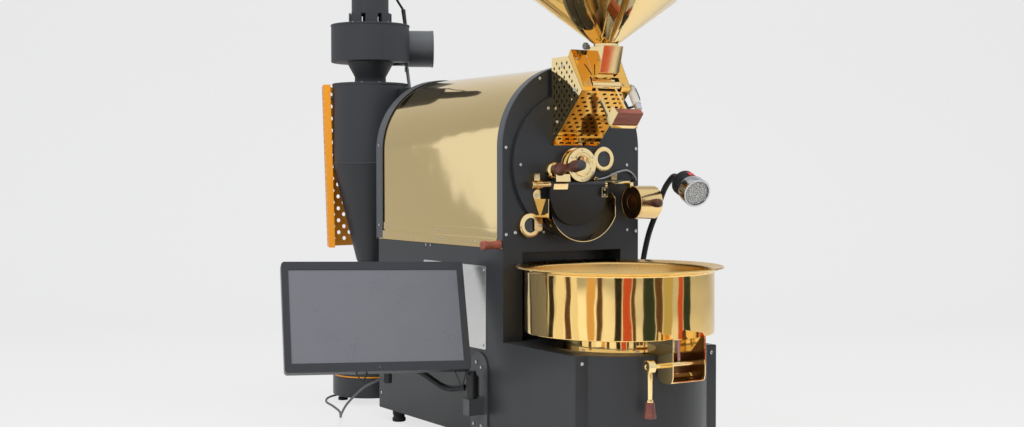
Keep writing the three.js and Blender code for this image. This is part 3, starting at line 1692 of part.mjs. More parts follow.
// Display's arm: sleeve on the pole, two bent links, the knob and the tilt pin
const knuckle = inMachine(0, TILT.back, TILT.down);
const armPath = [
  [POLE.x, POLE.y, 130],
  [-222, 124, 126],
  [-292, 128, 168],
  [-340, 152, 172],
  inMachine(0, TILT.back + 26, TILT.down - 30),
  knuckle,
];
piece(
  machine,
  "monitor_arm",
  cut(
    join(
      rod(11.5, [POLE.x, POLE.y, 108.3], [POLE.x, POLE.y, 156], 20),
      sweep(armPath, 8, 6, 12),
      rod(9, [-340, 152, 142], [-340, 152, 170], 16),
      rod(9, inMachine(-12.7, TILT.back, TILT.down), inMachine(12.7, TILT.back, TILT.down), 18),
      rod(4, inMachine(-24, TILT.back, TILT.down), inMachine(24, TILT.back, TILT.down), 14),
    ),
    rod(POLE.radius + RUN, [POLE.x, POLE.y, 100], [POLE.x, POLE.y, 165], 20),
  ),
  CHARCOAL,
);

// Display's cable: from the arm's knob down to the table and round behind the body
piece(
  machine,
  "monitor_cable",
  sweep(
    [
      [-340, 168, 150],
      [-342, 180, 146],
      [-346, 200, 138],
      [-345, 240, 124],
      [-338, 290, 104],
      [-320, 380, 66],
      [-290, 470, 30],
      [-250, 560, 6],
      [-215, 640, 3.2],
      [-196, 716, 3.2],
      [-180, 790, 3.2],
      [-140, 850, 3.2],
      [-70, 880, 3.2],
      [20, 860, 3.2],
      [60, 780, 3.2],
      [60, 690, 4],
      [50, 620, 30],
      [46, 580, 100],
      [45, 556, 150],
      [45, 545, 156],
      [45, BASE.rear + GAP, 156],
    ],
    2.5,
    6,
    36,
  ),
  GREY,
);

// Lamp: side foot with its neck, ribbed head and switch
piece(
  machine,
  "gooseneck",
  join(
    box(HALF + GAP, HALF + 5, -4 + 8, 20 + 8, 300, 352),
    rod(10, [HALF + 4, 12, 330], [186, 12, 330], 16),
    sweep(
      [
        [184, 12, 326],
        [184, 11, 345],
        [183, 5, 377],
        [182, -14, 430],
        [181, -38, 471],
        [180, -70, 526],
        [176, -101, 549],
        [170, -118, 548],
        [166.4, -126.5, 544.9],
        [164.95, -132.2, 542.75],
      ],
      5.5,
      6,
      16,
    ),
  ),
  BLACK,
);
const lamp = new THREE.Group();
lamp.position.set(...LAMP.lens);
lamp.quaternion.setFromUnitVectors(new THREE.Vector3(0, -1, 0), new THREE.Vector3(...LAMP.axis).normalize());
machine.add(lamp);
lamp.updateMatrix();
const headProfile = [
  [0, LAMP.length],
  [12, LAMP.length],
  [20, LAMP.length - 8],
];
for (let i = 0; i < 2; i += 1) {
  const y = LAMP.length - 12 - 20 * i;
  headProfile.push([25, y], [25, y - 14], [21, y - 14], [21, y - 20 + 0.01]);
}
headProfile.push([24, 30], [LAMP.radius, 22], [LAMP.radius, 0], [23, 0], [22, 8], [0, 8]);
piece(
  lamp,
  "lamp_head",
  cut(
    latheY(headProfile, 0, 0, 28),
    rod(7.2, [0, LAMP.length - 6, 0], [0, LAMP.length + 5, 0], 24),
    box(-6, 6, 32, 48, 18.5, 30),
  ),
  BLACK,
);
piece(lamp, "lamp_switch", box(-5.5, 5.5, 33, 47, 20.6, 27), RED);

// The origin goes to the bottom centre of the box of everything but the cable.
const whole = new THREE.Box3();
machine.updateMatrixWorld(true);
machine.traverse((object) => {
  if (object.isMesh && object.name !== "monitor_cable") whole.expandByObject(object, true);
});
const centre = whole.getCenter(new THREE.Vector3());
machine.position.set(-centre.x, -centre.y, -whole.min.z);

export default machine;
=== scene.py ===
"""Looks of a tabletop drum coffee roaster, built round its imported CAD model.

Sizes are millimetres in the machine's own frame: x = 0 in its middle plane, y = 0 on the front plate's face,
z = 0 on the table, -Y to the front. MachineFrame puts them into the row's frame, in metres.
"""

import json
import logging
import math
from dataclasses import dataclass, field
from enum import Enum
from typing import Iterable, NamedTuple, Optional, Sequence, Union

import bmesh
import bpy
from mathutils import Matrix, Vector, geometry

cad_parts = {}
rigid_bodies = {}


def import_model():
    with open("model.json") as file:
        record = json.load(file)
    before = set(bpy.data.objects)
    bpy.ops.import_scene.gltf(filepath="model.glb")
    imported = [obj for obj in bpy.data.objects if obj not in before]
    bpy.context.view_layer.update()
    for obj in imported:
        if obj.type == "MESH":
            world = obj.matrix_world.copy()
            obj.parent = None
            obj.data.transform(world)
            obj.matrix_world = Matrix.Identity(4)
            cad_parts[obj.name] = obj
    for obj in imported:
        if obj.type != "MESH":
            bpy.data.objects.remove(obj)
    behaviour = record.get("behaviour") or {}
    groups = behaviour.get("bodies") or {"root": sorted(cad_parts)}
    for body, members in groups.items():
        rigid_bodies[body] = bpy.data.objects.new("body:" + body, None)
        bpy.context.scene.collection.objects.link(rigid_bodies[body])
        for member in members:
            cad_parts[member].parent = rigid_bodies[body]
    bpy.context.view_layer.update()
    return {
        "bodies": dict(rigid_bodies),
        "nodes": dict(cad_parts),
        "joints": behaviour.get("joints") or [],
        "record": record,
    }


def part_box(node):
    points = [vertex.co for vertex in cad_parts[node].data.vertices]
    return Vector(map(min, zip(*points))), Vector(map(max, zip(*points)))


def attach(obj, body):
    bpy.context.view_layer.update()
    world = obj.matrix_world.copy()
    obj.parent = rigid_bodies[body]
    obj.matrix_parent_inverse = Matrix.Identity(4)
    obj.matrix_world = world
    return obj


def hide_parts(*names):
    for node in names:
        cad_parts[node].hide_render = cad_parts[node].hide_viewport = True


log = logging.getLogger("roaster")

Point2 = tuple[float, float]
Point3 = tuple[float, float, float]
Color = tuple[float, float, float, float]
Node = bpy.types.Node
NodeTree = bpy.types.NodeTree
Material = bpy.types.Material
Piece = bpy.types.Object
Source = Union[Node, bpy.types.NodeSocket]
MM = 0.001
BACKDROP_LEVEL = 0.84


def srgb(red: int, green: int, blue: int) -> Color:
    """Turns an 8-bit screen colour into the linear colour that a socket takes."""

    def linear(level: int) -> float:
        """One channel's linear level."""
        share = level / 255
        return share / 12.92 if share <= 0.04045 else ((share + 0.055) / 1.055) ** 2.4

    return (linear(red), linear(green), linear(blue), 1.0)


class Axis(Enum):
    """Direction that a turned shape or an extrusion runs along."""

    X = "X"
    Y = "Y"
    Z = "Z"

    def spread(self, a: float, b: float, along: float) -> Vector:
        """Puts two coordinates across the axis and one along it into space."""
        if self is Axis.X:
            return Vector((along, a, b))
        if self is Axis.Y:
            return Vector((a, along, b))
        return Vector((a, b, along))


class Nodes:
    """Adds nodes to a tree; a node that feeds another gives its first output."""

    def __init__(self, tree: NodeTree) -> None:
        """Keeps the tree that nodes are added to."""
        self.tree = tree

    def link(self, source: Source, target: bpy.types.NodeSocket) -> None:
        """Joins a socket, or a node's first output, to an input."""
        self.tree.links.new(source.outputs[0] if isinstance(source, Node) else source, target)

    def feed(self, node: Node, inputs: dict) -> None:
        """Sets or links a node's inputs.

        Args:
            node: the node.
            inputs: socket name or number to a value, or to the socket or node that feeds it.
        """
        for key, value in inputs.items():
            if isinstance(value, (Node, bpy.types.NodeSocket)):
                self.link(value, node.inputs[key])
            else:
                node.inputs[key].default_value = value

    def add(self, kind: str, inputs: Optional[dict] = None, **settings: object) -> Node:
        """Adds one node.

        Args:
            kind: the node's type name.
            inputs: what feed takes.
            settings: properties of the node.

        Returns:
            The new node.
        """
        node = self.tree.nodes.new(kind)
        for key, value in settings.items():
            setattr(node, key, value)
        self.feed(node, inputs or {})
        return node

    def math(self, operation: str, *values: object) -> Node:
        """Adds a Math node."""
        return self.add("ShaderNodeMath", dict(enumerate(values)), operation=operation)

    def vector(self, operation: str, *values: object) -> Node:
        """Adds a Vector Math node."""
        return self.add("ShaderNodeVectorMath", dict(enumerate(values)), operation=operation)

    def mapped(self, value: Source, low: float, high: float, first: float = 0.0, last: float = 1.0) -> Node:
        """Adds a Map Range node from low and high to first and last."""
        return self.add("ShaderNodeMapRange", {0: value, 1: low, 2: high, 3: first, 4: last})

    def mixed(self, share: Source, first: object, second: object) -> bpy.types.NodeSocket:
        """Mixes two colours and returns the result."""
        return self.add("ShaderNodeMix", {0: share, 6: first, 7: second}, data_type="RGBA").outputs[2]

    def noise(self, place: Source, scale: object, detail: float, **inputs: float) -> Node:
        """Adds a Noise Texture node; the keywords are more inputs, in lower case."""
        more = {key.capitalize(): value for key, value in inputs.items()}
        return self.add("ShaderNodeTexNoise", {"Vector": place, "Scale": scale, "Detail": detail, **more})

    def place(self) -> bpy.types.NodeSocket:
        """Gives the object's own coordinates."""
        return self.add("ShaderNodeTexCoord").outputs["Object"]


def new_group(name: str, kind: str, inputs: dict, outputs: dict) -> tuple[NodeTree, Nodes, dict, dict]:
    """Starts a node group with named inputs and outputs.

    Args:
        name: the group's name.
        kind: Shader or Geometry.
        inputs: name to socket type, with its default where it has one.
        outputs: name to socket type.

    Returns:
        The tree, its node adder, the sockets that give its inputs, and the sockets that take its outputs.
    """
    tree = bpy.data.node_groups.new(name, f"{kind}NodeTree")
    for label, (socket_type, *default) in inputs.items():
        socket = tree.interface.new_socket(name=label, in_out="INPUT", socket_type=f"NodeSocket{socket_type}")
        if default:
            socket.default_value = default[0]
    for label, socket_type in outputs.items():
        tree.interface.new_socket(name=label, in_out="OUTPUT", socket_type=f"NodeSocket{socket_type}")
    nodes = Nodes(tree)
    start = nodes.add("NodeGroupInput")
    end = nodes.add("NodeGroupOutput")
    return tree, nodes, {k: start.outputs[k] for k in inputs}, {k: end.inputs[k] for k in outputs}


class ShaderGroups:
    """Effects that several finishes share."""

    def __init__(self) -> None:
        """Builds each group once."""
        self.grain = self._grain()
        self.smudge = self._smudge()
        self.brush = self._brush()
        self.wood = self._wood()

    @staticmethod
    def _grain() -> NodeTree:
        """Fine orange-peel of a powder coat or moulded plastic, with a faint tint and dust on upper faces."""
        tree, nodes, given, put = new_group("fine_grain", "Shader", {
            "Color": ("Color", (0.5, 0.5, 0.5, 1)), "Scale": ("Float", 900.0), "Tint": ("Float", 0.1),
            "Dust": ("Float", 0.05)}, {"Color": "Color", "Height": "Float", "Patch": "Float"})
        place = nodes.place()
        fine = nodes.noise(place, given["Scale"], 2.0)
        broad = nodes.noise(place, 7.0, 4.0, roughness=0.6)
        swing = nodes.math("MULTIPLY", nodes.math("SUBTRACT", broad, 0.5), given["Tint"])
        tinted = nodes.vector("SCALE", given["Color"])
        nodes.feed(tinted, {"Scale": nodes.math("ADD", swing, 1.0)})
        up = nodes.add("ShaderNodeSeparateXYZ", {0: nodes.add("ShaderNodeNewGeometry").outputs["Normal"]})
        lying = nodes.math("MULTIPLY", nodes.math("MAXIMUM", up.outputs["Z"], 0.0), given["Dust"])
        dusty = nodes.mixed(nodes.math("MULTIPLY", lying, broad), tinted, srgb(170, 168, 164))
        nodes.link(dusty, put["Color"])
        nodes.link(fine, put["Height"])
        nodes.link(broad, put["Patch"])
        return tree

    @staticmethod
    def _smudge() -> NodeTree:
        """Handling marks on polished metal: uneven roughness and the slight waviness of thin sheet."""
        tree, nodes, given, put = new_group("smudges", "Shader", {"Roughness": ("Float", 0.1),
            "Spread": ("Float", 0.05), "Wave Scale": ("Float", 6.0)}, {"Roughness": "Float", "Height": "Float"})
        place = nodes.place()
        marks = nodes.noise(place, 26.0, 6.0, roughness=0.62)
        wave = nodes.noise(place, given["Wave Scale"], 1.0)
        lifted = nodes.math("MULTIPLY", nodes.math("MAXIMUM", nodes.math("SUBTRACT", marks, 0.5), 0.0), 2.0)
        rough = nodes.math("ADD", given["Roughness"], nodes.math("MULTIPLY", lifted, given["Spread"]))
        nodes.link(rough, put["Roughness"])
        nodes.link(wave, put["Height"])
        return tree

    @staticmethod
    def _brush() -> NodeTree:
        """Long fine scratches of brushed sheet, run along the direction that Stretch leaves small."""
        tree, nodes, given, put = new_group("brushing", "Shader", {"Stretch": ("Vector", (8.0, 900.0, 900.0))},
            {"Height": "Float", "Shade": "Float"})
        lines = nodes.noise(nodes.vector("MULTIPLY", nodes.place(), given["Stretch"]), 1.0, 3.0, roughness=0.7)
        nodes.link(lines, put["Height"])
        nodes.link(lines, put["Shade"])
        return tree

    @staticmethod
    def _wood() -> NodeTree:
        """Growth rings and pores along one direction."""
        tree, nodes, given, put = new_group("wood_grain", "Shader", {
            "Light": ("Color", (0.5, 0.3, 0.2, 1)), "Dark": ("Color", (0.2, 0.1, 0.05, 1)),
            "Stretch": ("Vector", (30.0, 240.0, 240.0))}, {"Color": "Color", "Height": "Float", "Pores": "Float"})
        drawn = nodes.vector("MULTIPLY", nodes.place(), given["Stretch"])
        bend = nodes.noise(drawn, 0.5, 3.0)
        rings = nodes.noise(drawn, 1.3, 5.0, distortion=1.2)
        pores = nodes.noise(drawn, 7.0, 2.0, roughness=0.8)
        share = nodes.math("MULTIPLY", nodes.math("ADD", rings, bend), 0.5)
        nodes.link(nodes.mixed(nodes.mapped(share, 0.36, 0.62), given["Dark"], given["Light"]), put["Color"])
        nodes.link(nodes.math("ADD", share, nodes.math("MULTIPLY", pores, 0.5)), put["Height"])
        nodes.link(pores, put["Pores"])
        return tree


def new_material(name: str) -> tuple[Material, Nodes, Node]:
    """Starts a material that holds one Principled shader, and returns it, its node adder and the shader."""
    material = bpy.data.materials.new(name)
    material.use_nodes = True
    return material, Nodes(material.node_tree), material.node_tree.nodes["Principled BSDF"]


def add_bump(nodes: Nodes, shader: Node, height: Source, strength: float, depth: float) -> None:
    """Feeds a height into the shader's normal.

    Args:
        nodes: the material's node adder.
        shader: the Principled node.
        height: what gives the height.
        strength: the Bump node's strength.
        depth: the height of a full step, in metres.
    """
    bump = nodes.add("ShaderNodeBump", {"Strength": strength, "Distance": depth, "Height": height})
    nodes.link(bump, shader.inputs["Normal"])


@dataclass(frozen=True)
class PowderCoat:
    """Painted sheet metal or moulded plastic, with a fine grain."""

    name: str
    color: Color
    roughness: float = 0.42
    scale: float = 900.0
    bump: float = 0.12
    tint: float = 0.16
    dust: float = 0.05

    def build(self, groups: ShaderGroups) -> Material:
        """Makes the material."""
        material, nodes, shader = new_material(self.name)
        given = {"Color": self.color, "Scale": self.scale, "Tint": self.tint, "Dust": self.dust}
        grain = nodes.add("ShaderNodeGroup", given, node_tree=groups.grain)
        spread = nodes.mapped(grain.outputs["Patch"], 0.3, 0.7, self.roughness - 0.05, self.roughness + 0.05)
        nodes.feed(shader, {"Base Color": grain.outputs["Color"], "Roughness": spread})
        add_bump(nodes, shader, grain.outputs["Height"], self.bump, 0.0002)
        return material


@dataclass(frozen=True)
class PolishedMetal:
    """Polished sheet or turned metal, with handling marks."""

    name: str
    color: Color
    roughness: float = 0.08
    spread: float = 0.08
    wave: float = 0.0006
    wave_scale: float = 7.0

    def build(self, groups: ShaderGroups) -> Material:
        """Makes the material."""
        material, nodes, shader = new_material(self.name)
        given = {"Roughness": self.roughness, "Spread": self.spread, "Wave Scale": self.wave_scale}
        marks = nodes.add("ShaderNodeGroup", given, node_tree=groups.smudge)
        nodes.feed(shader, {"Base Color": self.color, "Metallic": 1.0, "Roughness": marks.outputs["Roughness"]})
        add_bump(nodes, shader, marks.outputs["Height"], 1.0, self.wave)
        return material


@dataclass(frozen=True)
class BrushedMetal:
    """Brushed sheet metal, its lines along the axis whose stretch is small."""

    name: str
    color: Color
    roughness: float = 0.28
    stretch: Point3 = (900.0, 8.0, 900.0)
    bump: float = 0.1

    def build(self, groups: ShaderGroups) -> Material:
        """Makes the material."""
        material, nodes, shader = new_material(self.name)
        lines = nodes.add("ShaderNodeGroup", {"Stretch": self.stretch}, node_tree=groups.brush)
        rough = nodes.mapped(lines.outputs["Shade"], 0.3, 0.7, self.roughness - 0.08, self.roughness + 0.08)
        nodes.feed(shader, {"Base Color": self.color, "Metallic": 1.0, "Roughness": rough})
        add_bump(nodes, shader, lines.outputs["Height"], self.bump, 0.0002)
        return material


@dataclass(frozen=True)
class Timber:
    """Oiled or lacquered wood, its grain along the axis whose stretch is small."""

    name: str
    light: Color
    dark: Color
    stretch: Point3
    roughness: float = 0.42
    coat: float = 0.25

    def build(self, groups: ShaderGroups) -> Material:
        """Makes the material."""
        material, nodes, shader = new_material(self.name)
        given = {"Light": self.light, "Dark": self.dark, "Stretch": self.stretch}
        grain = nodes.add("ShaderNodeGroup", given, node_tree=groups.wood)
        rough = nodes.mapped(grain.outputs["Pores"], 0.3, 0.7, self.roughness - 0.08, self.roughness + 0.1)
        nodes.feed(shader, {"Base Color": grain.outputs["Color"], "Roughness": rough, "Coat Weight": self.coat,
            "Coat Roughness": 0.3})
        add_bump(nodes, shader, grain.outputs["Height"], 0.35, 0.0003)
        return material


@dataclass(frozen=True)
class ClearGlass:
    """A sight glass or lens; the grid gives a lens its small cells."""

    name: str
    color: Color
    roughness: float = 0.03
    transmission: float = 0.95
    cell_scale: float = 0.0

    def build(self, groups: ShaderGroups) -> Material:
        """Makes the material."""
        material, nodes, shader = new_material(self.name)
        nodes.feed(shader, {"Base Color": self.color, "Transmission Weight": self.transmission, "IOR": 1.5})
        if self.cell_scale:
            cells = nodes.add("ShaderNodeTexVoronoi", {"Vector": nodes.place(), "Scale": self.cell_scale})
            add_bump(nodes, shader, cells.outputs["Distance"], 0.9, 0.0015)
            rough: object = self.roughness
        else:
            haze = nodes.noise(nodes.place(), 60.0, 3.0)
            rough = nodes.mapped(haze, 0.4, 0.7, self.roughness, self.roughness + 0.08)
        nodes.feed(shader, {"Roughness": rough})
        return material


@dataclass(frozen=True)
class ScreenGlass:
    """The display's switched-off panel behind matt glass."""

    name: str
    color: Color
    roughness: float = 0.3

    def build(self, groups: ShaderGroups) -> Material:
        """Makes the material."""
        material, nodes, shader = new_material(self.name)
        film = nodes.noise(nodes.place(), 14.0, 5.0, roughness=0.65)
        tone = nodes.mixed(film, self.color, tuple(min(1.0, 1.25 * c) for c in self.color))
        rough = nodes.mapped(film, 0.35, 0.65, self.roughness - 0.05, self.roughness + 0.08)
        nodes.feed(shader, {"Base Color": tone, "Roughness": rough, "Coat Weight": 0.5, "Coat Roughness": 0.12})
        return material


@dataclass(frozen=True)
class BraidedSleeve:
    """A cord's woven or ribbed jacket, with painted shade in the gaps between its strands."""

    name: str
    color: Color
    scale: float = 700.0
    metallic: float = 0.0
    roughness: float = 0.5

    def build(self, groups: ShaderGroups) -> Material:
        """Makes the material."""
        material, nodes, shader = new_material(self.name)
        weave = nodes.add("ShaderNodeTexVoronoi", {"Vector": nodes.place(), "Scale": self.scale}).outputs["Distance"]
        # The strands turn darker towards their edges: painted shade where the gaps between them lie.
        gap_shade_color = tuple(0.55 * c for c in self.color[:3]) + (1.0,)
        tone = nodes.mixed(nodes.mapped(weave, 0.1, 0.6), self.color, gap_shade_color)
        nodes.feed(shader, {"Base Color": tone, "Metallic": self.metallic, "Roughness": self.roughness})
        add_bump(nodes, shader, weave, 0.4, -0.0003)
        return material


AnyFinish = Union[PowderCoat, PolishedMetal, BrushedMetal, Timber, ClearGlass, ScreenGlass, BraidedSleeve]
GOLD_TONE = (0.90, 0.68, 0.33, 1.0)
FINISHES: tuple[AnyFinish, ...] = (
    PowderCoat("charcoal_coat", srgb(45, 46, 48), roughness=0.4),
    PowderCoat("charcoal_edge", srgb(74, 76, 79), roughness=0.35),
    PowderCoat("blower_coat", srgb(44, 45, 48), roughness=0.5, scale=500.0, bump=0.25),
    PowderCoat("orange_coat", srgb(247, 160, 22), roughness=0.38, tint=0.1, dust=0.0),
    PowderCoat("black_plastic", srgb(26, 27, 29), roughness=0.36, scale=1500.0, bump=0.08),
    PowderCoat("black_rubber", srgb(24, 24, 25), roughness=0.7, scale=700.0, bump=0.3, dust=0.1),
    PowderCoat("bezel_plastic", srgb(40, 41, 44), roughness=0.3, scale=1800.0, bump=0.05, dust=0.0),
    PowderCoat("grey_paint", srgb(112, 114, 116), roughness=0.45),
    PowderCoat("dark_cap", srgb(62, 61, 62), roughness=0.45, dust=0.0),
    PowderCoat("red_plastic", srgb(196, 40, 34), roughness=0.3, scale=1500.0, bump=0.05, dust=0.0),
    PowderCoat("belt_rubber", srgb(30, 30, 31), roughness=0.65, scale=800.0, bump=0.4),
    PolishedMetal("gold_mirror", GOLD_TONE, roughness=0.055, spread=0.06, wave=0.0008),
    PolishedMetal("gold_polish", GOLD_TONE, roughness=0.09, spread=0.1, wave=0.0004, wave_scale=22.0),
    PolishedMetal("gold_tray", (0.88, 0.61, 0.23, 1.0), roughness=0.07, spread=0.07, wave=0.0018, wave_scale=13.0),
    PolishedMetal("gold_brushed", (0.80, 0.53, 0.20, 1.0), roughness=0.27, spread=0.1, wave=0.0004, wave_scale=22.0),
    PolishedMetal("gold_satin", (0.84, 0.59, 0.26, 1.0), roughness=0.2, spread=0.1, wave=0.0004, wave_scale=22.0),
    # The next finish is dark brown metal used as painted shade: on the sheets inside the tray's chute and on the
    # weight's face.
    PolishedMetal("gold_painted_shade", (0.20, 0.11, 0.05, 1.0), roughness=0.3, spread=0.1, wave=0.0004, wave_scale=22.0),
    PolishedMetal("gold_deep", (0.84, 0.47, 0.11, 1.0), roughness=0.08, spread=0.08, wave=0.0010, wave_scale=11.0),
    PolishedMetal("steel_polish", srgb(200, 200, 200), roughness=0.16, spread=0.12, wave=0.0002),
    PolishedMetal("steel_dull", srgb(150, 150, 152), roughness=0.4, spread=0.2, wave=0.0002),
    PolishedMetal("copper_tube", srgb(190, 120, 80), roughness=0.35, spread=0.2, wave=0.0002),
    BrushedMetal("silver_plate", srgb(214, 212, 209), roughness=0.34),
    Timber("terracotta_wood", srgb(171, 92, 68), srgb(118, 56, 42), (30.0, 260.0, 260.0)),
    Timber("terracotta_upright", srgb(132, 72, 58), srgb(92, 46, 38), (260.0, 260.0, 30.0)),
    Timber("dark_wood", srgb(112, 66, 52), srgb(62, 34, 28), (240.0, 34.0, 240.0)),
    ClearGlass("sight_glass", (0.35, 0.34, 0.33, 1.0)),
    ClearGlass("lens_glass", (0.98, 0.99, 1.0, 1.0), roughness=0.04, cell_scale=190.0),
    ScreenGlass("screen_glass", srgb(94, 95, 100)),
    PowderCoat("white_plastic", srgb(232, 228, 220), roughness=0.3, scale=1500.0, bump=0.05, dust=0.0),
    PowderCoat("led_chip", srgb(244, 244, 238), roughness=0.25, scale=1500.0, bump=0.05, dust=0.0),
    PowderCoat("lens_back", srgb(240, 240, 238), roughness=0.3, scale=1500.0, bump=0.05, dust=0.0),
    BraidedSleeve("grey_cable", srgb(96, 97, 99), scale=900.0),
    BraidedSleeve("black_lead", srgb(26, 26, 27), scale=900.0),
    BraidedSleeve("silver_braid", srgb(196, 196, 198), scale=1100.0, metallic=0.9, roughness=0.38),
)


def new_object(name: str, data: bpy.types.ID) -> Piece:
    """Makes an object and puts it into the scene."""
    item = bpy.data.objects.new(name, data)
    bpy.context.collection.objects.link(item)
    return item


class Workshop:
    """Holds the finishes and the frame, and turns shells into finished pieces."""

    def __init__(self, frame: dict) -> None:
        """Builds every finish and works out where the machine stands in the row's frame."""
        groups = ShaderGroups()
        self.finish = {f.name: f.build(groups) for f in FINISHES}
        self.nodes = frame["nodes"]
        self.body_of = {n: body for body, names in frame["record"]["behaviour"]["bodies"].items() for n in names}
        low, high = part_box("front_plate")
        self.origin = Vector(((low.x + high.x) / 2, low.y, 0.0))
        self.to_row = Matrix.Translation(self.origin) @ Matrix.Scale(MM, 4)

    def place(self, point: Sequence[float]) -> Vector:
        """Puts a point of the machine's frame, in millimetres, into the row's frame, in metres."""
        return self.to_row @ Vector(point)

    def install(self, piece: Piece, body: str, slot: str, *nodes: str) -> Piece:
        """Makes a piece ride on a body and stand for its CAD nodes.

        Args:
            piece: the finished piece.
            body: the body it rides on.
            slot: the record's material slot; not used.
            nodes: the CAD nodes that it replaces.

        Returns:
            The piece.
        """
        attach(piece, body)
        if nodes:
            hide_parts(*nodes)
        log.info("%s rides on %s, %d faces", piece.name, body, len(piece.data.polygons))
        return piece

    def dress(self, node: str, finish: str) -> None:
        """Gives a CAD node whose shape stays one of the finishes."""
        item = self.nodes[node]
        item.data.materials.clear()
        item.data.materials.append(self.finish[finish])
        log.info("%s keeps its CAD shape in %s", node, finish)

    def refine(self, node: str, slot: str, finish: str, bevel: float) -> None:
        """Replaces a sheet-metal node by a copy with welded faces and softened edges.

        Args:
            node: the CAD node.
            slot: the record's material slot.
            finish: the finish's name.
            bevel: the edges' radius in millimetres.
        """
        mesh = self.nodes[node].data.copy()
        work = bmesh.new()
        work.from_mesh(mesh)
        bmesh.ops.remove_doubles(work, verts=work.verts, dist=0.02 * MM)
        bmesh.ops.dissolve_limit(work, angle_limit=math.radians(0.5), verts=work.verts, edges=work.edges)
        work.to_mesh(mesh)
        work.free()
        mesh.materials.clear()
        mesh.materials.append(self.finish[finish])
        piece = new_object(f"fine_{node}", mesh)
        smooth_edges(piece, bevel, 28.0)
        self.install(piece, self.body_of[node], slot, node)


def to_plain_mesh(piece: Piece) -> None:
    """Applies a piece's modifiers by taking its evaluated mesh."""
    graph = bpy.context.evaluated_depsgraph_get()
    result = bpy.data.meshes.new_from_object(piece.evaluated_get(graph), preserve_all_data_layers=True,
        depsgraph=graph)
    piece.modifiers.clear()
    piece.data = result


def smooth_edges(piece: Piece, radius: float, angle: float, segments: int = 2) -> None:
    """Rounds a piece's sharp edges and keeps its flat faces flat in the light.

    Args:
        piece: the object.
        radius: the edges' radius in millimetres, or zero for none.
        angle: edges that turn more than this, in degrees, are rounded.
        segments: steps of the rounding.
    """
    for face in piece.data.polygons:
        face.use_smooth = True
    if radius > 0:
        bevel = piece.modifiers.new("edge", "BEVEL")
        bevel.width = radius * MM
        bevel.segments = segments
        bevel.limit_method = "ANGLE"
        bevel.angle_limit = math.radians(angle)
        bevel.use_clamp_overlap = True
    else:
        piece.data.set_sharp_from_angle(angle=math.radians(angle))
    weights = piece.modifiers.new("flats", "WEIGHTED_NORMAL")
    weights.keep_sharp = True
    to_plain_mesh(piece)


def arc_points(cx: float, cy: float, radius: float, start: float, end: float, steps: int) -> list[Point2]:
    """Points of an arc.

    Args:
        cx: centre across.
        cy: centre up.
        radius: radius.
        start: first angle in degrees.
        end: last angle in degrees.
        steps: number of steps.

    Returns:
        The points from start to end.
    """
    turns = [math.radians(start + (end - start) * i / steps) for i in range(steps + 1)]
    return [(cx + radius * math.cos(t), cy + radius * math.sin(t)) for t in turns]


def circle_points(cx: float, cy: float, radius: float, sides: int = 48) -> list[Point2]:
    """Points of a circle, without the last one twice."""
    return arc_points(cx, cy, radius, 0, 360 - 360 / sides, sides - 1)


def rounded_box(x0: float, x1: float, y0: float, y1: float, radius: float, steps: int = 6) -> list[Point2]:
    """Outline of a rectangle with round corners."""
    corners = [(x1 - radius, y0 + radius, -90), (x1 - radius, y1 - radius, 0), (x0 + radius, y1 - radius, 90),
        (x0 + radius, y0 + radius, 180)]
    points: list[Point2] = []
    for cx, cy, start in corners:
        points += arc_points(cx, cy, radius, start, start + 90, steps)
    return points


def smooth_path(points: Sequence[Sequence[float]], steps: int) -> list[Vector]:
    """Points along a centripetal Catmull-Rom curve through the given ones.

    Args:
        points: the curve's own points.
        steps: steps between one point and the next.

    Returns:
        The finer points.
    """
    knots = [Vector(p) for p in points]
    ends = [2 * knots[0] - knots[1]] + knots + [2 * knots[-1] - knots[-2]]
    result: list[Vector] = []
    for i in range(1, len(ends) - 2):
        p0, p1, p2, p3 = ends[i - 1 : i + 3]
        t1 = max((p1 - p0).length, 1e-9) ** 0.5
        t2 = t1 + max((p2 - p1).length, 1e-9) ** 0.5
        t3 = t2 + max((p3 - p2).length, 1e-9) ** 0.5
        for k in range(steps):
            t = t1 + (t2 - t1) * k / steps
            a1 = p0 * ((t1 - t) / t1) + p1 * (t / t1)
            a2 = p1 * ((t2 - t) / (t2 - t1)) + p2 * ((t - t1) / (t2 - t1))
            a3 = p2 * ((t3 - t) / (t3 - t2)) + p3 * ((t - t2) / (t3 - t2))
            b1 = a1 * ((t2 - t) / t2) + a2 * (t / t2)
            b2 = a2 * ((t3 - t) / (t3 - t1)) + a3 * ((t - t1) / (t3 - t1))
            result.append(b1 * ((t2 - t) / (t2 - t1)) + b2 * ((t - t1) / (t2 - t1)))
    result.append(knots[-1])
    return result


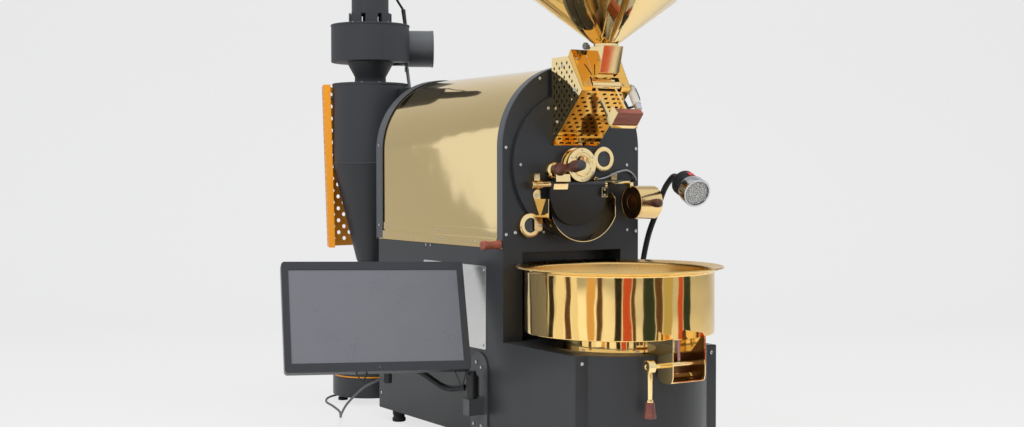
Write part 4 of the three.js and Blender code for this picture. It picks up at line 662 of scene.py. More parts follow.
class Shells:
    """Gathers closed shells, in millimetres of the machine's frame, and makes one piece of them."""

    def __init__(self, shop: Workshop, local: Optional[Matrix] = None) -> None:
        """Starts an empty piece.

        Args:
            shop: the workshop that holds the finishes.
            local: where the piece's own frame stands in the machine's.
        """
        self.shop = shop
        self.local = local or Matrix()
        self.points: list[Vector] = []
        self.faces: list[list[int]] = []
        self.slots: list[int] = []
        self.names: list[str] = []

    def add(self, points: Iterable[Vector], faces: Iterable[Sequence[int]], finish: str) -> None:
        """Adds one closed shell in a finish."""
        if finish not in self.names:
            self.names.append(finish)
        start = len(self.points)
        self.points += [self.local @ Vector(p) for p in points]
        for face in faces:
            self.faces.append([start + i for i in face])
            self.slots.append(self.names.index(finish))

    def turned(self, profile: Sequence[Point2], finish: str, centre: Point2 = (0.0, 0.0), axis: Axis = Axis.Z,
            sides: int = 96) -> None:
        """Adds a turned shape; its profile closes on itself, or on the axis where its radius is zero.

        Args:
            profile: points of radius and place along the axis.
            finish: the finish's name.
            centre: the axis's place across, as the two coordinates that aren't along it.
            axis: the direction of the axis.
            sides: number of sides.
        """
        points: list[Vector] = []
        rings: list[list[int]] = []
        for radius, along in profile:
            if radius <= 0:
                rings.append([len(points)] * sides)
                points.append(axis.spread(centre[0], centre[1], along))
                continue
            rings.append(list(range(len(points), len(points) + sides)))
            for a, b in circle_points(centre[0], centre[1], radius, sides):
                points.append(axis.spread(a, b, along))
        pairs = list(zip(rings, rings[1:]))
        if profile[0][0] > 0 and profile[-1][0] > 0:
            pairs.append((rings[-1], rings[0]))
        faces: list[list[int]] = []
        for low, high in pairs:
            for i in range(sides):
                k = (i + 1) % sides
                loop = [low[i], low[k], high[k], high[i]]
                loop = [v for n, v in enumerate(loop) if v not in loop[:n]]
                if len(loop) > 2:
                    faces.append(loop)
        self.add(points, faces, finish)

    def grip(self, start: float, end: float, side: Sequence[Point2], finish: str, centre: Point2, axis: Axis,
            sides: int = 48) -> None:
        """Adds a turned handle with closed ends.

        Args:
            start: one end's place along the axis.
            end: the other end's place.
            side: points of radius and place that the smooth curve of its side goes through.
            finish: the finish's name.
            centre: the axis's place across.
            axis: the direction of the axis.
            sides: number of sides.
        """
        curve = smooth_path([(radius, along, 0) for radius, along in side], 6)
        self.turned([(0, start), *((p.x, p.y) for p in curve), (0, end)], finish, centre, axis, sides)

    def rod(self, radius: float, start: Sequence[float], end: Sequence[float], finish: str,
            end_radius: Optional[float] = None, sides: int = 40) -> None:
        """Adds a round bar between two points."""
        a = Vector(start)
        along = Vector(end) - a
        turn = Vector((0, 0, 1)).rotation_difference(along.normalized()).to_matrix().to_4x4()
        spot = Matrix.Translation(a) @ turn
        tip = radius if end_radius is None else end_radius
        points = [spot @ Vector((x, y, 0)) for x, y in circle_points(0, 0, radius, sides)]
        points += [spot @ Vector((x, y, along.length)) for x, y in circle_points(0, 0, tip, sides)]
        faces = [[i, (i + 1) % sides, sides + (i + 1) % sides, sides + i] for i in range(sides)]
        faces += [list(range(sides)), list(range(sides, 2 * sides))]
        self.add(points, faces, finish)

    def prism(self, outline: Sequence[Point2], low: float, high: float, finish: str, axis: Axis = Axis.Z,
            holes: Sequence[Sequence[Point2]] = ()) -> None:
        """Adds a flat plate with an outline and holes.

        Args:
            outline: the outline's points across the axis.
            low: where the plate starts along the axis.
            high: where it ends.
            finish: the finish's name.
            axis: the direction that it is thick in.
            holes: outlines of the holes.
        """
        loops = [list(outline)] + [list(h) for h in holes]
        flat = [p for loop in loops for p in loop]
        count = len(flat)
        points = [axis.spread(a, b, low) for a, b in flat] + [axis.spread(a, b, high) for a, b in flat]
        if holes:
            cells = geometry.tessellate_polygon([[Vector((a, b, 0)) for a, b in loop] for loop in loops])
            caps = [list(c) for c in cells]
        else:
            caps = [list(range(count))]
        faces = caps + [[i + count for i in cap] for cap in caps]
        start = 0
        for loop in loops:
            size = len(loop)
            for i in range(size):
                a, b = start + i, start + (i + 1) % size
                faces.append([a, b, b + count, a + count])
            start += size
        self.add(points, faces, finish)

    def box(self, x: Point2, y: Point2, z: Point2, finish: str) -> None:
        """Adds a block between two corners; its edges are rounded with the piece."""
        self.prism([(x[0], y[0]), (x[1], y[0]), (x[1], y[1]), (x[0], y[1])], z[0], z[1], finish)

    def tube(self, route: Sequence[Sequence[float]], radius: float, finish: str, sides: int = 20,
            steps: int = 8) -> None:
        """Adds a round tube along a smooth curve through a route's points."""
        path = smooth_path(route, steps)
        points, faces = tube_mesh(path, radius, sides)
        self.add(points, faces, finish)

    def piece(self, name: str, bevel: float = 0.5, angle: float = 30.0, segments: int = 2) -> Piece:
        """Makes the piece, with outward faces and softened edges.

        Args:
            name: the object's name.
            bevel: the edges' radius in millimetres.
            angle: edges that turn more than this, in degrees, are rounded.
            segments: steps of the rounding.

        Returns:
            The finished object, at the origin.
        """
        mesh = bpy.data.meshes.new(name)
        mesh.from_pydata([self.shop.place(p) for p in self.points], [], self.faces)
        for finish in self.names:
            mesh.materials.append(self.shop.finish[finish])
        mesh.polygons.foreach_set("material_index", self.slots)
        work = bmesh.new()
        work.from_mesh(mesh)
        bmesh.ops.recalc_face_normals(work, faces=work.faces)
        work.to_mesh(mesh)
        work.free()
        piece = new_object(name, mesh)
        smooth_edges(piece, bevel, angle, segments)
        return piece

    def fit(self, name: str, bevel: float, slot: str, *nodes: str, body: str = "roaster", angle: float = 30.0,
            segments: int = 2) -> None:
        """Makes the piece and installs it; see piece and Workshop.install for the arguments."""
        self.shop.install(self.piece(name, bevel, angle, segments), body, slot, *nodes)


def tube_mesh(path: Sequence[Vector], radius: float, sides: int) -> tuple[list[Vector], list[list[int]]]:
    """Points and faces of a capped round tube along a path.

    Args:
        path: the path's points.
        radius: the tube's radius.
        sides: sides of its section.

    Returns:
        The points and the faces.
    """
    points: list[Vector] = []
    faces: list[list[int]] = []
    forward = (path[1] - path[0]).normalized()
    across = forward.orthogonal().normalized()
    for i, spot in enumerate(path):
        ahead = (path[min(i + 1, len(path) - 1)] - path[max(i - 1, 0)]).normalized()
        across = (across - ahead * across.dot(ahead)).normalized()
        other = ahead.cross(across)
        for k in range(sides):
            turn = 2 * math.pi * k / sides
            points.append(spot + radius * (math.cos(turn) * across + math.sin(turn) * other))
        if i:
            base = sides * (i - 1)
            faces += [[base + k, base + (k + 1) % sides, base + sides + (k + 1) % sides, base + sides + k]
                for k in range(sides)]
    faces += [list(range(sides)), list(range(len(points) - sides, len(points)))]
    return points, faces


def end_tree(nodes: Nodes, shape: Source, given: dict, put: dict) -> None:
    """Ends a geometry tree with real meshes in its material."""
    real = nodes.add("GeometryNodeRealizeInstances", {"Geometry": shape})
    done = nodes.add("GeometryNodeSetMaterial", {"Geometry": real, "Material": given["Material"]})
    nodes.link(done, put["Geometry"])


class PatternTrees:
    """Geometry Nodes trees for what repeats on the machine."""

    def __init__(self) -> None:
        """Builds each tree once."""
        self.screws = self._screws()
        self.perforated = self._perforated()
        self.hose = self._hose()
        self.bars = self._bars()

    @staticmethod
    def _screws() -> NodeTree:
        """A domed socket screw on each vertex, along its attribute axis and as large as its attribute radius."""
        tree, nodes, given, put = new_group("socket_screws", "Geometry",
            {"Geometry": ("Geometry",), "Sides": ("Int", 16), "Head Height": ("Float", 0.5), "Dome": ("Float", 0.2),
            "Socket Share": ("Float", 0.5), "Material": ("Material",)}, {"Geometry": "Geometry"})
        head = nodes.add("GeometryNodeMeshCylinder", {"Vertices": given["Sides"], "Radius": 1.0,
            "Depth": given["Head Height"]})
        lift = nodes.add("ShaderNodeCombineXYZ", {"Z": nodes.math("MULTIPLY", given["Head Height"], 0.5)})
        stood = nodes.add("GeometryNodeTransform", {"Geometry": head.outputs["Mesh"], "Translation": lift})
        facing = nodes.add("ShaderNodeSeparateXYZ", {0: nodes.add("GeometryNodeInputNormal")})
        is_top = nodes.add("FunctionNodeCompare", {"A": facing.outputs["Z"], "B": 0.9}, operation="GREATER_THAN")
        steps = (("Dome", 0.72), (None, "Socket Share"), (-0.35, None))
        mesh, top = stood, is_top
        for rise, shrink in steps:
            height = given[rise] if isinstance(rise, str) else (rise or 0.0)
            grown = nodes.add("GeometryNodeExtrudeMesh", {"Mesh": mesh, "Selection": top, "Offset Scale": height})
            mesh, top = grown.outputs["Mesh"], grown.outputs["Top"]
            if shrink is not None:
                share = given[shrink] if isinstance(shrink, str) else shrink
                mesh = nodes.add("GeometryNodeScaleElements", {"Geometry": mesh, "Selection": top, "Scale": share})
        axis = nodes.add("GeometryNodeInputNamedAttribute", {"Name": "axis"}, data_type="FLOAT_VECTOR")
        size = nodes.add("GeometryNodeInputNamedAttribute", {"Name": "radius"}, data_type="FLOAT")
        turn = nodes.add("FunctionNodeAlignRotationToVector", {"Vector": axis}, axis="Z")
        put_on = nodes.add("GeometryNodeInstanceOnPoints", {"Points": given["Geometry"], "Instance": mesh,
            "Rotation": turn, "Scale": size})
        end_tree(nodes, put_on, given, put)
        return tree

    @staticmethod
    def _perforated() -> NodeTree:
        """A sheet cut to the outline given as edges, with staggered holes that keep a margin from its edges."""
        tree, nodes, given, put = new_group("perforated_sheet", "Geometry",
            {"Geometry": ("Geometry",), "Hole Radius": ("Float", 0.003), "Hole Sides": ("Int", 12),
            "Pitch Across": ("Float", 0.02), "Pitch Up": ("Float", 0.01), "Margin": ("Float", 0.006),
            "Thickness": ("Float", 0.0015), "Hole Turn": ("Vector", (0.0, 0.0, 0.0)), "Material": ("Material",)},
            {"Geometry": "Geometry"})
        rim = nodes.add("GeometryNodeMeshToCurve", {"Mesh": given["Geometry"]})
        plain = nodes.add("GeometryNodeFillCurve", {"Curve": rim}, mode="TRIANGLES")
        bounds = nodes.add("GeometryNodeBoundBox", {"Geometry": given["Geometry"]})
        span = nodes.add("ShaderNodeSeparateXYZ", {0: nodes.vector("SUBTRACT", bounds.outputs["Max"],
            bounds.outputs["Min"])})
        middle = nodes.vector("SCALE", nodes.vector("ADD", bounds.outputs["Max"], bounds.outputs["Min"]))
        middle.inputs["Scale"].default_value = 0.5

        def count_and_size(length: bpy.types.NodeSocket, pitch: bpy.types.NodeSocket) -> tuple:
            """Gives the odd number of grid points along one side, and the side's length."""
            half = nodes.math("CEIL", nodes.math("DIVIDE", nodes.math("MULTIPLY", length, 0.5), pitch))
            count = nodes.math("ADD", nodes.math("MULTIPLY", half, 2.0), 1.0)
            return count, nodes.math("MULTIPLY", nodes.math("MULTIPLY", half, 2.0), pitch)

        across, wide = count_and_size(span.outputs["X"], given["Pitch Across"])
        upward, tall = count_and_size(span.outputs["Y"], given["Pitch Up"])
        grid = nodes.add("GeometryNodeMeshGrid", {"Size X": wide, "Size Y": tall, "Vertices X": across,
            "Vertices Y": upward})
        here = nodes.add("GeometryNodeInputPosition")
        row = nodes.math("DIVIDE", nodes.add("ShaderNodeSeparateXYZ", {0: here}).outputs["Y"], given["Pitch Up"])
        odd = nodes.math("PINGPONG", nodes.math("ROUND", row), 1.0)
        aside = nodes.math("MULTIPLY", nodes.math("MULTIPLY", odd, given["Pitch Across"]), 0.5)
        offset = nodes.vector("ADD", nodes.add("ShaderNodeCombineXYZ", {"X": aside}), middle)
        spots = nodes.add("GeometryNodeSetPosition", {"Geometry": grid.outputs["Mesh"], "Offset": offset})
        above = nodes.vector("ADD", here, (0.0, 0.0, 1.0))
        ray = nodes.add("GeometryNodeRaycast", {"Target Geometry": plain, "Source Position": above,
            "Ray Direction": (0.0, 0.0, -1.0), "Ray Length": 2.0})
        near = nodes.add("GeometryNodeProximity", {"Geometry": given["Geometry"]}, target_element="EDGES")
        far_enough = nodes.add("FunctionNodeCompare", {"A": near.outputs["Distance"],
            "B": nodes.math("ADD", given["Margin"], given["Hole Radius"])}, operation="GREATER_THAN")
        good = nodes.add("FunctionNodeBooleanMath", {0: ray.outputs["Is Hit"], 1: far_enough}, operation="AND")
        ring = nodes.add("GeometryNodeCurvePrimitiveCircle", {"Resolution": given["Hole Sides"],
            "Radius": given["Hole Radius"]})
        holes = nodes.add("GeometryNodeInstanceOnPoints", {"Points": spots, "Selection": good, "Instance": ring,
            "Rotation": given["Hole Turn"]})
        cut = nodes.add("GeometryNodeRealizeInstances", {"Geometry": holes})
        both = nodes.add("GeometryNodeJoinGeometry", {"Geometry": rim})
        nodes.link(cut, both.inputs[0])
        flat = nodes.add("GeometryNodeFillCurve", {"Curve": both}, mode="TRIANGLES")
        thick = nodes.add("GeometryNodeExtrudeMesh", {"Mesh": flat, "Offset Scale": given["Thickness"],
            "Individual": False})
        back = nodes.add("GeometryNodeFlipFaces", {"Mesh": flat})
        shut = nodes.add("GeometryNodeJoinGeometry", {"Geometry": thick.outputs["Mesh"]})
        nodes.link(back, shut.inputs[0])
        welded = nodes.add("GeometryNodeMergeByDistance", {"Geometry": shut, "Distance": 1e-6})
        end_tree(nodes, welded, given, put)
        return tree

    @staticmethod
    def _hose() -> NodeTree:
        """A ribbed hose along a path given as edges."""
        tree, nodes, given, put = new_group("ribbed_hose", "Geometry",
            {"Geometry": ("Geometry",), "Radius": ("Float", 0.005), "Rib Pitch": ("Float", 0.003),
            "Rib Depth Share": ("Float", 0.08), "Sides": ("Int", 16), "Steps": ("Int", 400),
            "Material": ("Material",)}, {"Geometry": "Geometry"})
        path = nodes.add("GeometryNodeMeshToCurve", {"Mesh": given["Geometry"]})
        fine = nodes.add("GeometryNodeResampleCurve", {"Curve": path, "Count": given["Steps"]})
        place = nodes.add("GeometryNodeSplineParameter").outputs["Length"]
        turn = nodes.math("MULTIPLY", nodes.math("DIVIDE", place, given["Rib Pitch"]), 2 * math.pi)
        dip = nodes.math("MULTIPLY", nodes.math("SUBTRACT", nodes.math("SINE", turn), 1.0), given["Rib Depth Share"])
        ring = nodes.add("GeometryNodeCurvePrimitiveCircle", {"Resolution": given["Sides"],
            "Radius": given["Radius"]})
        tube = nodes.add("GeometryNodeCurveToMesh", {"Curve": fine, "Profile Curve": ring,
            "Scale": nodes.math("ADD", dip, 1.0), "Fill Caps": True})
        smooth = nodes.add("GeometryNodeSetShadeSmooth", {"Geometry": tube})
        end_tree(nodes, smooth, given, put)
        return tree

    @staticmethod
    def _bars() -> NodeTree:
        """Upright bars round a ring, one on each vertex of the mesh given, turned by its attribute axis."""
        tree, nodes, given, put = new_group("ring_of_bars", "Geometry",
            {"Geometry": ("Geometry",), "Size": ("Vector", (0.01, 0.01, 0.01)), "Material": ("Material",)},
            {"Geometry": "Geometry"})
        block = nodes.add("GeometryNodeMeshCube", {"Size": given["Size"]})
        axis = nodes.add("GeometryNodeInputNamedAttribute", {"Name": "axis"}, data_type="FLOAT_VECTOR")
        turn = nodes.add("FunctionNodeAlignRotationToVector", {"Vector": axis}, axis="X")
        put_on = nodes.add("GeometryNodeInstanceOnPoints", {"Points": given["Geometry"],
            "Instance": block.outputs["Mesh"], "Rotation": turn})
        end_tree(nodes, put_on, given, put)
        return tree


def run_tree(tree: NodeTree, seed: bpy.types.Mesh, name: str, inputs: dict, spot: Optional[Matrix] = None) -> Piece:
    """Runs a Geometry Nodes tree on a mesh and keeps the plain result.

    Args:
        tree: the tree.
        seed: the mesh that it starts from.
        name: the new object's name.
        inputs: input name to value.
        spot: where the result goes, in the row's frame.

    Returns:
        The finished object, at the origin.
    """
    piece = new_object(name, seed)
    modifier = piece.modifiers.new("pattern", "NODES")
    modifier.node_group = tree
    for socket in tree.interface.items_tree:
        if socket.item_type == "SOCKET" and socket.in_out == "INPUT" and socket.name in inputs:
            modifier[socket.identifier] = inputs[socket.name]
    to_plain_mesh(piece)
    if spot is not None:
        piece.data.transform(spot)
        if spot.determinant() < 0:
            piece.data.flip_normals()
    return piece


def point_mesh(name: str, points: Sequence[Vector], axes: Sequence[Vector], radii: Sequence[float]) -> bpy.types.Mesh:
    """Makes loose points that carry a direction and a size.

    Args:
        name: the mesh's name.
        points: places, in metres.
        axes: a direction for each.
        radii: a size for each, in metres.

    Returns:
        The mesh.
    """
    mesh = bpy.data.meshes.new(name)
    mesh.from_pydata(list(points), [], [])
    axis = mesh.attributes.new("axis", "FLOAT_VECTOR", "POINT")
    axis.data.foreach_set("vector", [c for v in axes for c in v])
    size = mesh.attributes.new("radius", "FLOAT", "POINT")
    size.data.foreach_set("value", list(radii))
    return mesh


def loop_mesh(name: str, loops: Sequence[Sequence[Vector]], closed: bool = True) -> bpy.types.Mesh:
    """Makes a mesh of edges only, from closed loops or open paths."""
    points: list[Vector] = []
    edges: list[tuple[int, int]] = []
    for loop in loops:
        start = len(points)
        points += list(loop)
        edges += [(start + i, start + i + 1) for i in range(len(loop) - 1)]
        if closed:
            edges.append((start + len(loop) - 1, start))
    mesh = bpy.data.meshes.new(name)
    mesh.from_pydata(points, edges, [])
    return mesh


@dataclass
class Screws:
    """All the screws of one body, gathered while its sub-assemblies are built."""

    shop: Workshop
    trees: PatternTrees
    spots: dict[str, list[tuple[Vector, Vector, float]]] = field(default_factory=dict)

    def put(self, point: Sequence[float], out: Sequence[float], radius: float = 3.2, local: Optional[Matrix] = None,
            body: str = "roaster") -> None:
        """Notes one screw.

        Args:
            point: where its head sits, in millimetres.
            out: the direction that its head faces.
            radius: the head's radius in millimetres.
            local: the frame that the point and the direction are in, if not the machine's.
            body: the body it rides on.
        """
        frame = local or Matrix()
        spot = self.shop.place(frame @ Vector(point))
        way = (frame.to_3x3() @ Vector(out)).normalized()
        self.spots.setdefault(body, []).append((spot, way, radius * MM))

    def ring(self, axis: Axis, centre: Point2, along: float, ring_radius: float, turns: Iterable[float],
            radius: float = 3.2, side: int = 1, local: Optional[Matrix] = None) -> None:
        """Notes screws round a ring.

        Args:
            axis: the ring's axis.
            centre: the axis's place across.
            along: the heads' place along it.
            ring_radius: the ring's radius in millimetres.
            turns: the screws' turns in degrees.
            radius: the heads' radius in millimetres.
            side: 1 where the heads face along the axis, -1 where against it.
            local: the frame of all this, if not the machine's.
        """
        for turn in map(math.radians, turns):
            across = (centre[0] + ring_radius * math.cos(turn), centre[1] + ring_radius * math.sin(turn))
            self.put(axis.spread(*across, along), side * axis.spread(0, 0, 1), radius, local)

    def build(self) -> None:
        """Makes one piece of screws for each body."""
        for body, spots in self.spots.items():
            seed = point_mesh(f"screw_spots_{body}", *zip(*spots))
            piece = run_tree(self.trees.screws, seed, f"screws_{body}",
                {"Sides": 16, "Head Height": 0.5, "Dome": 0.22, "Socket Share": 0.5,
                "Material": self.shop.finish["steel_polish"]})
            piece.data.set_sharp_from_angle(angle=math.radians(35))
            self.shop.install(piece, body, "steel")


@dataclass
class Body:
    """Overall sizes of the cabinet and the housing, which several sub-assemblies share."""

    half: float = 165.0
    sheet: float = 2.0
    gap: float = 0.3
    base_front: float = -248.0
    base_rear: float = 534.0
    base_top: float = 226.0
    flange: float = 139.0
    front_arc: float = 167.0
    foot_height: float = 25.0
    deck_side: float = 408.0
    arch_z: float = 607.0
    arch_radius: float = 165.0
    rear_face: float = 546.0
    tray_y: float = -156.35

    def front_curve(self, radius: float) -> list[Point2]:
        """The base's round front at a radius, from left to right."""
        edge = math.degrees(math.acos(self.flange / self.front_arc))
        return arc_points(0, self.tray_y, radius, 180 + edge, 360 - edge, 72)


@dataclass
class Assembly:
    """What every sub-assembly is built with."""

    shop: Workshop
    screws: Screws
    trees: PatternTrees
    body: Body


@dataclass
class Cabinet(Assembly):
    """Base cabinet: pan with feet, folded shell, curved front panel, top plate and the side plate."""

    foot_x: float = 148.0
    foot_rear: float = 470.0
    foot_front_x: float = 140.0
    foot_front: float = -210.0
    pan: float = 3.0
    vent_radius: float = 92.0
    plate_y: Point2 = (63.5, 320.0)
    plate_z: Point2 = (205.0, 372.0)
    plate_thick: float = 1.2

    def inner_outline(self, rear: float) -> list[Point2]:
        """Outline of a plate that fits inside the front panel, back to a given y."""
        b = self.body
        edge = b.sheet + b.gap
        side, front = b.half - edge, b.base_front + edge
        return [(-side, rear), (-side, front), *b.front_curve(b.front_arc - edge), (side, front), (side, rear)]

    def build(self) -> None:
        """Makes the cabinet's pieces."""
        self.build_pan()
        self.build_panel()
        self.build_top()
        self.build_plate()
        self.place_screws()

    def build_pan(self) -> None:
        """The pan on its four feet."""
        b = self.body
        pan = Shells(self.shop)
        pan.prism(self.inner_outline(b.base_rear - b.sheet - b.gap), b.foot_height, b.foot_height + self.pan,
            "charcoal_coat")
        foot = [(0, 0), (13, 0), (15, 1.6), (15, 8), (12.6, 10), (12.6, 14), (14.2, 16), (14.2, 25), (0, 25)]
        for x, y in ((self.foot_x, self.foot_rear), (self.foot_front_x, self.foot_front)):
            for side in (-1, 1):
                pan.turned(foot, "black_rubber", (side * x, y), sides=48)
        pan.fit("fine_base_pan", 0.6, "charcoal", "base_pan")

    def build_panel(self) -> None:
        """The curved front panel."""
        b = self.body
        panel = Shells(self.shop)
        outer = [(-b.half, b.base_front), *b.front_curve(b.front_arc), (b.half, b.base_front)]
        back = [(b.half, b.base_front + b.sheet), *reversed(b.front_curve(b.front_arc - b.sheet)),
            (-b.half, b.base_front + b.sheet)]
        panel.prism(outer + back, b.foot_height, b.base_top, "charcoal_coat")
        panel.fit("fine_base_front_panel", 0.8, "charcoal", "base_front_panel")

    def build_top(self) -> None:
        """The top plate with its air openings; the folded shell and the deck keep their shapes."""
        b, shop = self.body, self.shop
        top = Shells(shop)
        half_rounds = [arc_points(0, b.tray_y, self.vent_radius, turn + 24, turn + 156, 36) for turn in (0, 180)]
        top.prism(self.inner_outline(-b.gap), b.base_top - b.sheet, b.base_top, "charcoal_coat",
            holes=[*half_rounds, circle_points(0, b.tray_y, 6.6)])
        top.fit("fine_base_top_plate", 0.5, "charcoal", "base_top_plate")
        shop.refine("cabinet_shell", "charcoal", "charcoal_coat", 0.8)
        shop.dress("deck_plate", "steel_dull")

    def build_plate(self) -> None:
        """The bare silver plate on the left side, with its four screws."""
        b = self.body
        plate = Shells(self.shop)
        plate.prism(rounded_box(*self.plate_y, *self.plate_z, 4.0), -b.half - self.plate_thick, -b.half + 0.2,
            "silver_plate", Axis.X)
        plate.fit("bare_side_plate", 0.35, "steel")
        for y in (self.plate_y[0] + 8, self.plate_y[1] - 8):
            for z in (self.plate_z[0] + 8, self.plate_z[1] - 8):
                self.screws.put((-b.half - self.plate_thick, y, z), (-1, 0, 0), 2.6)

    def place_screws(self) -> None:
        """Screws of the front panel and the shell."""
        b = self.body
        for side in (-1, 1):
            self.screws.put((side * 152, b.base_front, 212), (0, -1, 0), 3.6)
            for z in (60, 200):
                self.screws.put((side * b.half, b.base_rear - 14, z), (side, 0, 0))
            for y in (289.7, 309.5):
                self.screws.put((side * b.half, y, 404.5), (side, 0, 0), 2.6)


class Strip(NamedTuple):
    """A strip along the cover: its bottom, top and outer face, and its ends along the machine."""

    bottom: float
    top: float
    out: float
    front: float
    rear: float


@dataclass
class DrumHousing(Assembly):
    """Arched front and rear plates, the gold cover with its hems and rails, and the bulkhead."""

    plate: float = 3.0
    flange_start: float = 411.0
    front_flange: float = 22.0
    rear_flange: float = 30.0
    recess_half: float = 122.0
    recess_top: float = 403.0
    recess_depth: float = 60.0
    face_z: float = 573.3
    drum_hole: float = 128.0
    duct: tuple[float, float, float, float] = (-34.0, 26.0, 640.0, 760.0)
    cover_radius: float = 161.7
    cover_wall: float = 1.2
    hem: Strip = Strip(430.3, 447.0, 163.4, 25.0, 512.0)
    rail: Strip = Strip(411.7, 428.3, 164.6, 25.0, 515.7)
    arch_steps: int = 96
    screw_circle: float = 158.2

    def arch(self, half: float, bottom: float, radius: float) -> list[Point2]:
        """Outline of an arched plate."""
        return [(-half, bottom), (half, bottom), *arc_points(0, self.body.arch_z, radius, 0, 180, self.arch_steps)]

    def band(self, shells: Shells, y0: float, y1: float, bottom: float, outer: float, wall: float,
            finish: str) -> None:
        """Adds a bent strip that follows the arch down to a height."""
        z = self.body.arch_z
        inner = outer - wall
        outline = [(outer, bottom), *arc_points(0, z, outer, 0, 180, self.arch_steps), (-outer, bottom),
            (-inner, bottom), *arc_points(0, z, inner, 180, 0, self.arch_steps), (inner, bottom)]
        shells.prism(outline, y0, y1, finish, Axis.Y)

    def build(self) -> None:
        """Makes the housing's pieces."""
        self.build_front()
        self.build_rear()
        self.build_cover()
        self.place_screws()

    def build_front(self) -> None:
        """The front plate with its flange and the recess behind the tray."""
        b = self.body
        inner = self.recess_half - b.sheet
        low = b.base_top + b.gap
        front = Shells(self.shop)
        outline = [(-b.half, low), (-inner, low), (-inner, self.recess_top - b.sheet),
            (inner, self.recess_top - b.sheet), (inner, low), (b.half, low),
            *arc_points(0, b.arch_z, b.arch_radius, 0, 180, self.arch_steps)]
        front.prism(outline, 0, self.plate, "charcoal_coat", Axis.Y, holes=[
            circle_points(0, self.face_z, self.drum_hole, 96)])
        self.band(front, self.plate - 0.1, self.front_flange, self.flange_start, b.arch_radius, b.sheet,
            "charcoal_edge")
        deep, ceiling = self.recess_depth, self.recess_top - b.gap
        front.box((-inner, inner), (deep - b.sheet, deep), (low, ceiling), "charcoal_coat")
        for side in (-1, 1):
            walls = sorted((side * inner, side * self.recess_half))
            front.box((walls[0], walls[1]), (self.plate - 0.1, deep), (b.base_top - b.sheet, ceiling),
                "charcoal_coat")
        front.box((-inner, inner), (self.plate - 0.1, deep - b.sheet), (self.recess_top - b.sheet, ceiling),
            "charcoal_coat")
        front.box((-inner, inner), (0, deep), (b.base_top - b.sheet, low), "charcoal_coat")
        front.fit("fine_front_plate", 0.5, "charcoal", "front_plate")

    def build_rear(self) -> None:
        """The rear plate with its flange and the duct's opening."""
        b = self.body
        rear = Shells(self.shop)
        x0, x1, z0, z1 = self.duct
        rear.prism(self.arch(b.half, b.deck_side + b.gap, b.arch_radius), b.rear_face - self.plate, b.rear_face,
            "charcoal_coat", Axis.Y, holes=[[(x0 + 3, z0 + 3), (x1 - 3, z0 + 3), (x1 - 3, z1 - 3), (x0 + 3, z1 - 3)]])
        self.band(rear, b.rear_face - self.rear_flange, b.rear_face - self.plate + 0.1, self.flange_start,
            b.arch_radius, b.sheet, "charcoal_edge")
        rear.fit("fine_rear_plate", 0.7, "charcoal", "rear_plate")

    def build_cover(self) -> None:
        """The gold cover with a hem and a rail on each side; the bulkhead under it keeps its shape."""
        b = self.body
        cover = Shells(self.shop)
        self.band(cover, self.plate + b.gap, b.rear_face - self.plate - b.gap, b.deck_side + b.gap, self.cover_radius,
            self.cover_wall, "gold_mirror")
        mid = self.cover_radius - self.cover_wall / 2
        for side in (-1, 1):
            for s in (self.hem, self.rail):
                across = tuple(sorted((side * mid, side * s.out)))
                cover.box(across, (s.front, s.rear), (s.bottom, s.top), "gold_mirror")
        cover.fit("fine_drum_cover", 0.35, "gold_mirror", "drum_cover")
        self.shop.dress("bulkhead", "charcoal_coat")

    def place_screws(self) -> None:
        """Screws of both plates, the rails and the hems."""
        b, screws = self.body, self.screws
        for y, way in ((0, -1), (b.rear_face, 1)):
            screws.ring(Axis.Y, (0, b.arch_z), y, self.screw_circle, (0, 60, 120, 180), 3.4, way)
        for side in (-1, 1):
            screws.put((side * 158, 0, 437), (0, -1, 0), 3.4)
            screws.put((side * 136, 0, 440), (0, -1, 0), 3.0)
            for y in (500, 380, 242, 108, 53):
                screws.put((side * self.rail.out, y, 420.5), (side, 0, 0), 2.6)
            for y in (493, 263, 49):
                screws.put((side * self.hem.out, y, 437.6), (side, 0, 0), 2.6)
            for z in (440, 620):
                screws.put((side * b.arch_radius, b.rear_face - 16, z), (side, 0, 0), 2.8)


class Sight(NamedTuple):
    """A sight ring's centre, its outer and inner radius, and its front and back faces."""

    x: float
    z: float
    outer: float
    inner: float
    front: float
    back: float


